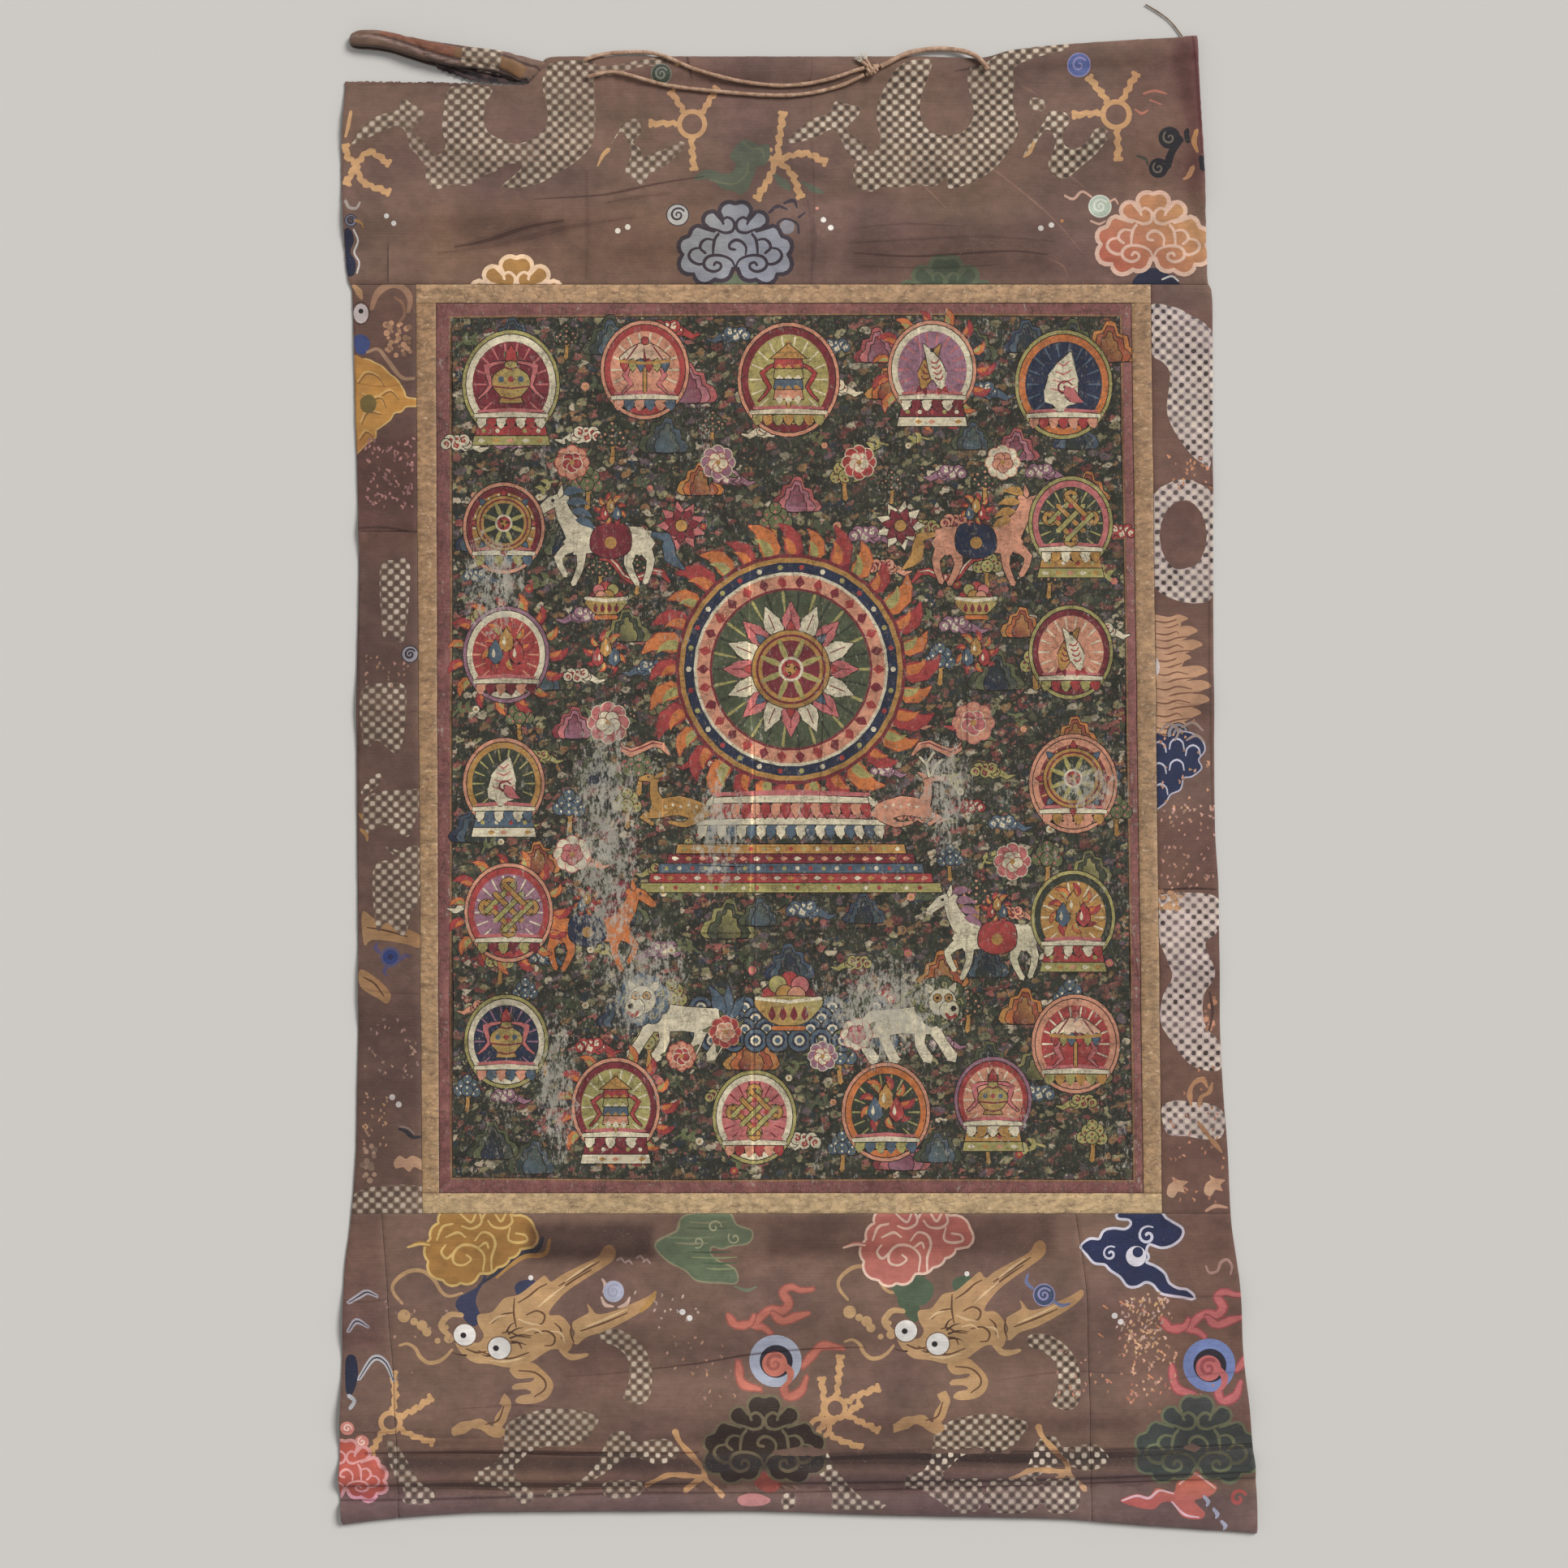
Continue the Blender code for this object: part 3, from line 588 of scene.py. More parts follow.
def canvas_material():
    """Paint on sized cotton: crowded, mottled, finely cracked, rubbed along folds and flaked in places."""
    g = Graph("painted_canvas", 0.78, specular=0.25)
    ground, _, _ = g.axes(g.attribute("Mask"))
    middle, chance = g.cells(7.5, 5.2, turn=14, sway=1.5)
    near, small = g.cells(3.6, 3.0, sway=1.0)
    crowded = g.mix(g.span(near, 0.34, 0.42, 0.75, 0), g.pick(chance, GROUND_PALETTE),
                    g.pick(small, GROUND_PALETTE))
    crowded = g.over(crowded, CROWD_SHADE, g.span(middle, 0.5, 0.66))
    share = g.span(g.noise(32, detail=3), 0.4, 0.6, 0.45, 0.95)
    colour = g.mix(g.times(ground, share), g.attribute("Col"), crowded)
    colour = g.shaded(colour, g.noise(7, detail=6, roughness=0.7), 0.3, 0.7, 0.7, 1.3)
    colour = g.shaded(colour, g.noise(55, detail=3), 0.3, 0.7, 0.85, 1.15)
    rubbed = g.span(g.noise(3.2, 2.4, detail=6, roughness=0.8), 0.52, 0.62)
    colour = g.over(colour, PAINT_RUBBED, rubbed, 0.58)
    worn = g.span(g.noise(2.4, 5.0, detail=6, roughness=0.8), 0.56, 0.66)
    colour = g.over(colour, PAINT_WORN, worn, 0.52)
    fine = g.span(g.cracks(5.2, 3.4), 0.0, 0.05, 1, 0)
    long = g.span(g.cracks(34, 8, turn=4), 0.0, 0.035, 1, 0)
    tall = g.span(g.cracks(7, 44, turn=2), 0.0, 0.04, 1, 0)
    broken = g.span(g.noise(22, detail=4), 0.42, 0.6)
    crack = g.times(g.math("MAXIMUM", g.math("MAXIMUM", fine, long), tall), broken)
    colour = g.over(colour, CRACK, crack, 0.5)
    lost = g.span(g.noise(48, 80, detail=3), 0.5, 0.66, 0, 0.35)
    for box in LOSSES:
        lost = g.math("MAXIMUM", lost, g.oval(*box))
    grain = g.noise(3.6, 7.5, detail=7, roughness=0.78)
    flake = g.span(g.plus(grain, g.times(lost, 0.17)), 0.6, 0.68)
    bare = g.mix(g.noise(14, 22, detail=4), linear(BARE_DULL), linear(BARE_PALE))
    colour = g.mix(g.times(flake, 0.72), colour, bare)
    weave = g.times(g.threads(0.7, turn=90), g.threads(0.66))
    height = g.minus(g.times(weave, 0.25), g.times(crack, 0.5))
    height = g.minus(height, g.times(flake, 0.4))
    return g.finish(colour, height, 0.35, g.span(g.noise(18), 0.3, 0.7, 0.68, 0.88))


def leather_material():
    """Dry tan leather, darker in its cracks and paler where it is rubbed."""
    g = Graph("leather_thong", 0.62, specular=0.35)
    colour = g.mix(g.span(g.noise(6, detail=4), 0.3, 0.7), linear(HIDE_DARK), linear(HIDE_PALE))
    crease = g.span(g.noise(1.1, 4.0, detail=4, turn=20), 0.56, 0.7)
    colour = g.over(colour, HIDE_CREASE, crease, 0.55)
    colour = g.over(colour, HIDE_RUBBED, g.span(g.noise(2.4, detail=5), 0.62, 0.74, 0, 0.6))
    return g.finish(colour, g.minus(g.noise(1.6, detail=4), g.times(crease, 0.5)), 0.5)


def thread_material(name, colour, pale):
    """Twisted thread or fibre, between two colours."""
    g = Graph(name, 0.8, sheen=0.2)
    mixed = g.mix(g.span(g.noise(3, detail=3), 0.35, 0.65), linear(colour), linear(pale))
    return g.finish(mixed, g.threads(0.5, turn=35), 0.4)


BROCADE = brocade_material()
GOLD = gold_material()
CANVAS = canvas_material()
LEATHER = leather_material()
DULL_THREAD = thread_material("dull_thread", (104, 84, 62), (140, 116, 88))
PALE_FIBRE = thread_material("pale_fibre", (204, 190, 172), (232, 224, 214))


# ---------------------------------------------------------------- meshes

def area_of(outline):
    """The area in a closed outline, above zero where it runs anticlockwise."""
    x, y = outline[:, 0], outline[:, 1]
    return float((x * np.roll(y, -1) - np.roll(x, -1) * y).sum() / 2)


def ring_inside(outline, distance):
    """The outline, which runs anticlockwise, moved inwards."""
    ahead = np.roll(outline, -1, axis=0) - outline
    ahead = ahead / np.hypot(ahead[:, 0], ahead[:, 1])[:, None]
    normal = np.stack((-ahead[:, 1], ahead[:, 0]), axis=1)
    before = np.roll(normal, 1, axis=0)
    joined = (normal + before) / (1 + (normal * before).sum(axis=1))[:, None]
    return outline + joined * distance


def scattered(outline, spacing, seed):
    """Uneven inner points, about a spacing apart and clear of the rim."""
    turn = np.random.default_rng(seed)
    low, high = outline.min(axis=0), outline.max(axis=0)
    rows = np.arange(low[1], high[1], spacing * 0.866)
    columns = np.arange(low[0], high[0], spacing)
    grid = np.array([(x + (j % 2) * spacing / 2, y) for j, y in enumerate(rows) for x in columns])
    grid = grid + turn.uniform(-0.22, 0.22, grid.shape) * spacing
    return grid[inside(grid, ring_inside(outline, spacing * 0.55))]


def cut(outline, rims, spacing, seed, gap=1e-4, seen=None):
    """A flat mesh that fills the outline and is cut along the rims. Returns its points and faces.

    Where it is told which points of a rim are seen, it cuts only along those.
    """
    points = [outline]
    edges = []
    first = len(outline)
    for index, rim in enumerate(rims):
        shown = np.ones(len(rim), dtype=bool) if seen is None else seen[index]
        cuts = shown | np.roll(shown, -1)
        used = cuts | np.roll(cuts, 1)
        number = (first - 1 + np.cumsum(used)).tolist()
        edges += [(number[i], number[(i + 1) % len(rim)]) for i in np.flatnonzero(cuts).tolist()]
        points.append(rim[used])
        first += int(used.sum())
    points.append(scattered(outline, spacing, seed))
    table = [Vector(place) for place in np.concatenate(points).tolist()]
    found = delaunay_2d_cdt(table, edges, [list(range(len(outline)))], 0, gap, True)
    places = np.array([tuple(place) for place in found[0]])
    faces = np.array([face for face, owners in zip(found[2], found[5]) if owners])
    corners = places[faces]
    ab = corners[:, 1] - corners[:, 0]
    ac = corners[:, 2] - corners[:, 0]
    turned = ab[:, 0] * ac[:, 1] - ab[:, 1] * ac[:, 0] < 0
    faces[turned] = faces[turned][:, ::-1]
    used, faces = np.unique(faces, return_inverse=True)
    return places[used], faces.reshape(-1, 3)


def seen_points(shapes, rims):
    """For each shape's rim, which of its points no later shape hides."""
    places = np.concatenate(rims)
    sizes = [len(rim) for rim in rims]
    owner = np.repeat([len(shapes) if shape.tint else i for i, shape in enumerate(shapes)], sizes)
    order = np.argsort(places[:, 0])
    xs = places[order, 0]
    hidden = np.zeros(len(places), dtype=bool)
    for index, shape in enumerate(shapes):
        if shape.tint:
            continue
        first, last = np.searchsorted(xs, (shape.low[0], shape.high[0]))
        near = order[first:last]
        ys = places[near, 1]
        near = near[(owner[near] < index) & ~hidden[near] & (ys > shape.low[1]) & (ys < shape.high[1])]
        if len(near):
            hidden[near] = shape.covers(places[near])
    return np.split(~hidden, np.cumsum(sizes)[:-1])


def border_of(faces):
    """The closed loop of points round a flat mesh."""
    pairs = {(a, b) for face in faces.tolist() for a, b in zip(face, face[1:] + face[:1])}
    following = {a: b for a, b in pairs if (b, a) not in pairs}
    start = min(following)
    loop = [start]
    while following[loop[-1]] != start:
        loop.append(following[loop[-1]])
    return loop


class Drawing:
    """The shapes on one cloth, each laid over those before it."""

    def __init__(self, ground, tone=None):
        self.ground = ground
        self.tone = tone
        self.shapes = []

    def fill(self, outline, colour, step=2.2, **more):
        """A filled outline, rounded through its points."""
        self.shapes.append(Shape(bend(outline, closed=True, step=step), colour, **more))

    def stroke(self, line, widths, colour, step=2.2, **more):
        """A stroke along a line, rounded through its points."""
        self.shapes.append(Shape(bend(line, step=step), colour, widths=widths, **more))

    def near(self, low, high):
        """The shapes that reach into a window, in their order."""
        return [shape for shape in self.shapes
                if (shape.high > low).all() and (shape.low < high).all()]

    def paint(self, places, faces, shapes):
        """Colours and finishes at the three corners of every face."""
        corners = places[faces]
        centres = corners.mean(axis=1)
        order = np.argsort(centres[:, 0])
        xs = centres[order, 0]
        owner = np.full(len(faces), -1)
        tint = np.ones((len(faces), 3))
        for index, shape in enumerate(shapes):
            first, last = np.searchsorted(xs, (shape.low[0], shape.high[0]))
            near = order[first:last]
            ys = centres[near, 1]
            near = near[(ys > shape.low[1]) & (ys < shape.high[1])]
            if len(near):
                near = near[shape.covers(centres[near])]
            if shape.tint:
                tint[near] *= shape.colour
            else:
                owner[near] = index
        colours = self.ground(corners.reshape(-1, 2)).reshape(-1, 3, 3)
        finish = np.zeros((len(faces), 2))
        by_owner = np.argsort(owner, kind="stable")
        starts = np.searchsorted(owner[by_owner], np.arange(len(shapes) + 1))
        for index, shape in enumerate(shapes):
            mine = by_owner[starts[index]:starts[index + 1]]
            if len(mine):
                colours[mine] = shape.colours(corners[mine].reshape(-1, 2)).reshape(-1, 3, 3)
                finish[mine] = shape.finish
        colours = colours * tint[:, None, :]
        if self.tone is not None:
            colours = colours * self.tone(corners.reshape(-1, 2)).reshape(-1, 3, 3)
        return colours, finish


def add_mesh(name, vertices, faces, material, smooth_angle=50):
    """A mesh that is smooth, except where its faces meet at a sharper angle, in degrees."""
    mesh = bpy.data.meshes.new(name)
    mesh.from_pydata([tuple(vertex) for vertex in vertices], [], faces)
    mesh.materials.append(material)
    mesh.shade_smooth()
    mesh.set_sharp_from_angle(angle=math.radians(smooth_angle))
    piece = bpy.data.objects.new(name, mesh)
    bpy.context.scene.collection.objects.link(piece)
    return piece


def set_corner_colours(mesh, name, colours):
    """A colour for each corner of each face."""
    layer = mesh.color_attributes.new(name=name, type="FLOAT_COLOR", domain="CORNER")
    filled = np.ones((len(colours), 4), dtype=np.float32)
    filled[:, :colours.shape[1]] = colours
    layer.data.foreach_set("color", filled.ravel())


# A cloth's mesh: how far in its edge starts to round off, how far that drops, how thin the cloth may
# get in a crease and at its rim, how far apart the points of its back are, and the back's shade.
EDGE_ROUNDING = 1.1
EDGE_DROP = 0.5
THINNEST = 0.6
THINNEST_RIM = 0.5
BACK_SPACING = 15.0
BACK_SHADE = 0.8


def add_cloth(node, outline, drawing, thickness, material, spacing=4.5):
    """A closed sheet in place of a solid: cut along its drawing above, plain below."""
    seed = sum(map(ord, node))
    low, high = outline.min(axis=0), outline.max(axis=0)
    shapes = drawing.near(low, high)
    hem = ring_inside(outline, EDGE_ROUNDING)
    rims = [shape.rim() for shape in shapes]
    seen = seen_points(shapes, rims) if shapes else []
    places, faces = cut(outline, [hem, *rims], spacing, seed, seen=[np.ones(len(hem), dtype=bool), *seen])
    colours, finish = drawing.paint(places, faces, shapes)
    loop = border_of(faces)
    x, y = places[:, 0], places[:, 1]
    lift = fold_lift(x, y)
    height = lift + thickness(x, y)
    slack = creases(x, y)
    height = np.maximum(height + slack, lift + THINNEST)
    height[loop] = np.maximum(height[loop] - EDGE_DROP, lift[loop] + THINNEST_RIM)
    back, back_faces = cut(places[loop], [], BACK_SPACING, seed + 1, gap=1e-6)
    if len(back_faces) == 0 or not np.allclose(back[:len(loop)], places[loop], atol=1e-6):
        raise RuntimeError(f"the back of {node} doesn't meet its rim")
    under = fold_lift(back[:, 0], back[:, 1])
    vertices = np.concatenate((np.column_stack((places, height)), np.column_stack((back, under)))) * MM
    count = len(places)
    walls = [(count + i, count + (i + 1) % len(loop), loop[(i + 1) % len(loop)], loop[i])
             for i in range(len(loop))]
    below = (back_faces[:, ::-1] + count).tolist()
    piece = add_mesh(f"{node}_cloth", vertices, faces.tolist() + below + walls, material)
    plain = drawing.ground(back) * BACK_SHADE
    corner_colours = np.concatenate(
        (colours.reshape(-1, 3), plain[back_faces[:, ::-1].ravel()], np.repeat(plain[:len(loop)], 4,
        axis=0)))
    masks = np.zeros((len(corner_colours), 3))
    masks[:len(faces) * 3, :2] = np.repeat(finish, 3, axis=0)
    set_corner_colours(piece.data, "Col", corner_colours)
    set_corner_colours(piece.data, "Mask", masks)
    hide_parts(node)
    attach(piece, "root")
    return piece


def creases(x, y):
    """The small unevenness of cloth that has hung and been rolled up for years."""
    return 0.22 * ripple(x, y, 5, 46) + 0.14 * ripple(x, y * 2.2, 6, 30)


def ragged(points, amount, seed):
    """The points, each moved a little, so that a cut edge isn't a clean one."""
    turn = np.random.default_rng(seed)
    points = np.array(points, dtype=float)
    points[1:-1] += turn.uniform(-amount, amount, (len(points) - 2, 2))
    return points


# How far apart the points of a cloth's rim are.
RIM_STEP = 4.0


def upright(line, low, high):
    """Points up a side line."""
    ys = np.linspace(low, high, max(2, round(abs(high - low) / RIM_STEP)) + 1)
    return np.column_stack((line(ys), ys))


def level(line, start, finish, step=RIM_STEP):
    """Points along a line that runs across the scroll."""
    xs = np.linspace(start, finish, max(2, round(abs(finish - start) / step)) + 1)
    return np.column_stack((xs, line(xs)))


def corner(side, cap, y):
    """Where an upright line meets a level one, looked for from a height."""
    for _ in range(12):
        y = float(cap(side(y)))
    return float(side(y)), y


def join_sides(*sides):
    """One closed outline out of the sides in turn. Each ends where the next begins."""
    return np.concatenate([side[:-1] for side in sides])


def inset(line, gap):
    """A side line, moved to the right by a gap."""
    def moved(y):
        return line(y) + gap

    return moved


def level_seam(y):
    """A seam that runs straight across at one height, as a line."""
    def height_at(x):
        return np.full(np.shape(x), y)

    return height_at


def even_thickness(thick):
    """The thickness of a cloth that has the same one everywhere."""
    def thickness_at(x, y):
        return thick

    return thickness_at


def block(left, right, low, high):
    """The outline of a cloth between two side lines and two level seams."""
    return join_sides(
        level(level_seam(low), left(low), right(low)), upright(right, low, high), level(level_seam(high),
        right(high), left(high)), upright(left, high, low))


# ---------------------------------------------------------------- grounds

def brocade_ground(places):
    """Faded brown, redder at the top right edge and purplish where the cloth is drawn in."""
    x, y = places[:, 0], places[:, 1]
    brown = linear((118, 91, 76))
    red = linear((110, 70, 66))
    dusky = linear((102, 76, 70))
    edge = np.clip(1 - (right_edge(y) - x) / 26, 0, 1) * np.clip((y - 470) / 30, 0, 1)
    shade = np.clip(0.5 + 0.5 * ripple(x, y, 11, 150), 0, 1) * 0.6
    colours = brown + shade[:, None] * (dusky - brown)
    return colours + edge[:, None] * (red - colours)


def gold_ground(places):
    """Bright at the top, duller down the sides and towards the bottom."""
    x, y = places[:, 0], places[:, 1]
    bright, dull, side = linear((176, 140, 104)), linear((184, 155, 114)), linear((150, 112, 78))
    share = np.clip((y + 340) / 740, 0, 1)[:, None]
    colours = dull + share * (bright - dull)
    beside = ((x < -290) | (x > 268))[:, None] & (np.abs(y - 27) < 366)[:, None]
    return np.where(beside, colours * 0.35 + side * 0.65, colours)


def canvas_ground(places):
    """The red border. The painted field is drawn over it."""
    return np.tile(linear(BORDER_RED), (len(places), 1))


# ---------------------------------------------------------------- the colours of the silks

SCALES = (128, 106, 88)
PALE_SCALES = (188, 176, 170)
TAN = (196, 152, 106)
ORANGE = (188, 126, 74)
DULL_GOLD = (160, 118, 66)
SILVER = (172, 170, 172)
PALE_GREY = (200, 194, 186)
INK = (58, 48, 56)
NAVY = (36, 38, 58)
BLUE = (92, 104, 156)
MOSS = (94, 98, 80)
MOSS_LINE = (108, 110, 84)
CREAM_PINK = (226, 194, 168)
WHITE = (220, 214, 206)
PINK = (196, 132, 118)

# Windows on the draft, one for each stretch of the brocade.
top_left = window(415, 50, 4.545)
top_middle = window(750, 50, 4.48)
top_right = window(1090, 50, 3.824)
foot_left = window(415, 1480, 4.02)
foot_middle = window(790, 1480, 4.02)
foot_right = window(1170, 1480, 3.92)
left_high = window(410, 340, 5.227)
left_low = window(410, 940, 5.227)
right_high = window(1390, 340, 5.227)
right_middle = window(1390, 640, 5.227)


# ---------------------------------------------------------------- motifs that come back

def around(centre, scale=1.0):
    """Puts a motif's own places, in draft squares, round a centre on the draft."""
    def place(points):
        return draft(np.atleast_2d(np.array(points, dtype=float)) * scale + centre)

    return place


def spot(place, x, y):
    """One place on the scroll, put down through a window or straight from the draft."""
    return place([(x, y)])[0]


def lobed(lobes):
    """The outline round several circles, (x, y, radius), as seen from a point that all of it faces."""
    outline = []
    for degrees in np.arange(0, 360, 4.0):
        way = np.array([math.cos(math.radians(degrees)), math.sin(math.radians(degrees))])
        reach = 0.0
        for x, y, radius in lobes:
            along = x * way[0] + y * way[1]
            inner = radius * radius - x * x - y * y + along * along
            if inner > 0 and along + math.sqrt(inner) > reach:
                reach = along + math.sqrt(inner)
        outline.append(way * reach)
    return np.array(outline)


def both_sides(lines):
    """The lines, and each of them mirrored."""
    return [*lines, *([(-x, y) for x, y in line] for line in lines)]


CLOUD_LOBES = [
    (0, 0, 30)] + [(side * x, y, radius) for side in (-1, 1) for x, y, radius in ((7.5, -39, 11.5),
    (28.5, -28, 10.5), (44, -10, 11), (57, 4, 12), (57, 25, 12), (38, 36, 13), (18, 31, 14))]
CLOUD_LINES = both_sides([
    [(-37, -20), (-23, -16), (-12.6, -12.4), (-3.5, -15), (-1, -23), (-4, -29), (-10, -32),
     (-15.7, -28.4), (-14.6, -23.5)],
    [(-27.5, 14.6), (-27, 4.3), (-25, -5), (-20.6, -11)],
    [(0, 30.7), (-4, 21.5), (-12.5, 16.4), (-24, 14.6), (-34.3, 17), (-39, 24.4), (-35.5, 31.3),
     (-26.3, 34.4), (-18.3, 30.7), (-18.3, 25), (-24, 23.2), (-26.3, 26.7)],
    [(-27.5, -3.7), (-35.5, -4.9), (-41.8, -0.3), (-43, 6.6), (-36.6, 12.3)],
    [(-43.5, 5.7), (-52.7, 7.7), (-57.3, 14.6), (-53.9, 21.5), (-45.8, 25.5), (-39, 25)],
]) + [[(12.7, 13.5), (13.3, 5.4), (8, -1.5), (0, -3.7), (-6.8, 1), (-6.8, 6.6), (-0.5, 8)]]


def add_cloud(drawing, centre, colour, line_colour, scale=1.0, end=None, border=2.4):
    """A cloud head of scrolls, with a line round it."""
    place = around(centre, scale)
    rim = place(lobed(CLOUD_LOBES))
    drawing.shapes.append(Shape(np.array(rim), line_colour, widths=2 * border * scale, gloss=0.5))
    drawing.shapes.append(Shape(rim, colour, end=end, gloss=0.7))
    drawing.shapes.append(Shape(np.concatenate((rim, rim[:1])), line_colour, widths=border * scale))
    add_strokes(
        drawing, place, CLOUD_LINES, (1.6 * scale, 2.7 * scale, 2.2 * scale), line_colour, step=1.8)


TAILED_LOBES = [
    (0, 8, 30), (-42, 12, 17), (-38, -8, 14), (-28, -26, 14), (-40, 30, 15), (-25, 40, 13), (-8, 38, 13),
    (4, 25, 14), (16, 24, 14), (30, 16, 14), (44, 6, 13), (-9, -25, 18), (31, -28, 18), (56, -13, 18),
    (66, -5, 12),
]
TAILED_LINES = [
    [(12, 35.8), (13.3, 17.4), (1.8, 5.9), (-14.3, 4.8), (-24.6, 15.1), (-23.4, 26.6), (-12, 28.9),
     (-2.8, 22), (-8.5, 16.3)],
    [(-33.8, -5.6), (-18.9, -11.3), (-9.7, -5.6)],
    [(-33.8, 3.6), (-39.5, 12.8), (-32.6, 20.8), (-22.3, 11.7)],
    [(1.8, -1), (11, -11.3), (22.5, -7.9), (27, 3.6), (22.5, 19.7), (22.5, 35.8)],
    [(6.4, 7), (15.6, 1.3), (18.6, 8)],
    [(-14.3, -19.3), (-2.8, -15.9), (8.7, -21.6), (11, -30.8)],
    [(-16, -34), (-2.8, -24), (3, -34)],
    [(17.9, -26.2), (24.8, -18.2), (38.6, -17), (47.7, -24), (45.4, -36)],
    [(27, -34), (34, -25), (40, -34)],
    [(45.4, -17), (43.1, -3.3), (52.3, 1.3), (66.1, -1), (63.8, -7.9), (52.3, -10.2)],
    [(-45, -2), (-38, -18), (-25, -22)],
    [(-54, 4), (-66, 3), (-81, 7)],
]


def add_tailed_cloud(drawing, centre, colour, line_colour):
    """A cloud head that is blown to one side, with a short stem."""
    place = around(centre)
    rim = place(lobed(TAILED_LOBES))
    drawing.shapes.append(Shape(np.concatenate((rim, rim[:1])), line_colour, widths=4.2))
    drawing.stroke(place([(-50, 6), (-66, 2), (-81, 7)]), (5, 3.4, 1.4), colour)
    drawing.shapes.append(Shape(rim, colour, gloss=0.7))
    add_strokes(drawing, place, TAILED_LINES, (1.4, 2.4, 1.6), line_colour, step=1.8)


# How the width of a claw's toe comes and goes, and how far a fleck's red, green and blue may fade.
KNOBBLY = np.array([3.2, 4.0, 3.0, 4.4, 3.2, 4.6, 3.4])
FLECK_FADING = (0, 8, 18)


def add_claw(drawing, place, joint, toes, ring=0, size=1.0):
    """Knobbly toes, and often a ring where they meet. A toe is its places after the joint."""
    middle = np.array(joint, dtype=float)
    for toe in toes:
        way = np.array(toe[0], dtype=float) - middle
        start = middle + way / np.hypot(*way) * ring
        path = bend(place([tuple(start), *toe]), step=2.6)
        aside = np.gradient(path, axis=0)[:, ::-1] * (-1, 1)
        aside /= np.hypot(aside[:, 0], aside[:, 1])[:, None]
        path = path + aside * (0.8 * size * np.sin(np.arange(len(path)) * 2.1))[:, None]
        drawing.stroke(path, KNOBBLY * size, TAN, step=3.0)
        tip = place([toe[-1]])[0]
        heading = tip - place([toe[-2] if len(toe) > 1 else tuple(start)])[0]
        heading = heading / np.hypot(*heading)
        aside = np.array([-heading[1], heading[0]])
        for side in (-1.0, 0.2, 1.0):
            add_disc(drawing, tip + (heading * 1.2 + aside * side * 1.7) * size, 1.5 * size, TAN)
    if ring:
        circle = ring_points(ring, 14) + middle
        drawing.stroke(place(np.concatenate((circle, circle[:1]))), 3.2 * size, TAN)


def add_flecks(drawing, box, count, colour, seed):
    """Short broken threads, scattered over a box on the draft."""
    turn = random.Random(seed)
    left, top, right, bottom = box
    for _ in range(count):
        x, y = turn.uniform(left, right), turn.uniform(top, bottom)
        lean = turn.uniform(-0.6, 0.6)
        reach = turn.uniform(1.5, 4.6)
        shade = turn.uniform(0.82, 1.12)
        faded = tuple(min(255, part * shade + extra * turn.random())
                      for part, extra in zip(colour, FLECK_FADING))
        line = [(x, y), (x + reach * lean + 1, y + reach * 0.5), (x + reach * lean, y + reach)]
        drawing.stroke(draft(line), (0.9, turn.uniform(1.4, 2.6), 0.9), faded, step=1.6)


def add_beads(drawing, box, count, colour, seed):
    """Small worn lumps of thread, crowded in a box on the draft."""
    turn = random.Random(seed)
    left, top, right, bottom = box
    for _ in range(count):
        middle = draft([(turn.uniform(left, right), turn.uniform(top, bottom))])[0]
        shade = turn.uniform(0.76, 1.08)
        add_disc(drawing, middle, turn.uniform(1.3, 2.7), tuple(part * shade for part in colour))


def ring_points(radius, count, squash=1.0):
    """Points evenly round a circle, or a squashed one."""
    angles = np.arange(count) * math.tau / count
    return np.column_stack((np.cos(angles), np.sin(angles) * squash)) * radius


def add_disc(drawing, centre, radius, colour, **more):
    """A round spot. Its centre is a place on the scroll and its radius is in millimetres."""
    count = min(30, max(6, round(radius * 3.2)))
    drawing.shapes.append(Shape(np.asarray(centre) + ring_points(radius, count), colour, **more))


def spiral(radius, turns=1.4, start=0.0, count=18):
    """Places along a curl that winds in from a radius."""
    share = np.linspace(0, 1, count)
    angles = start + share * turns * math.tau
    reach = radius * (1 - 0.85 * share)
    return np.column_stack((np.cos(angles) * reach, np.sin(angles) * reach))


def add_ball(drawing, centre, radius, colour, line_colour, turns=1.5):
    """A round pearl with a curl in it."""
    add_disc(drawing, centre, radius + 0.9, line_colour)
    add_disc(drawing, centre, radius, colour, gloss=0.6)
    curl = np.asarray(centre) + spiral(radius * 0.72, turns, 0.6)
    drawing.stroke(curl, (1.6, 1.8, 1.2), line_colour, step=1.6)


def add_strokes(drawing, place, lines, widths, colour, **more):
    """Several strokes with the same widths and colour."""
    for line in lines:
        drawing.stroke(place(line), widths, colour, **more)


def add_dots(drawing, place, dots, radius, colour):
    """Round spots of one size and colour."""
    for dot in dots:
        add_disc(drawing, spot(place, *dot), radius, colour)


def add_scales(drawing, place, outline, depth=1.0, colour=SCALES):
    """A stretch of the dragon's body, woven with the scale lattice."""
    drawing.fill(place(outline), colour, lattice=depth, step=3.0)


# ---------------------------------------------------------------- the top panel

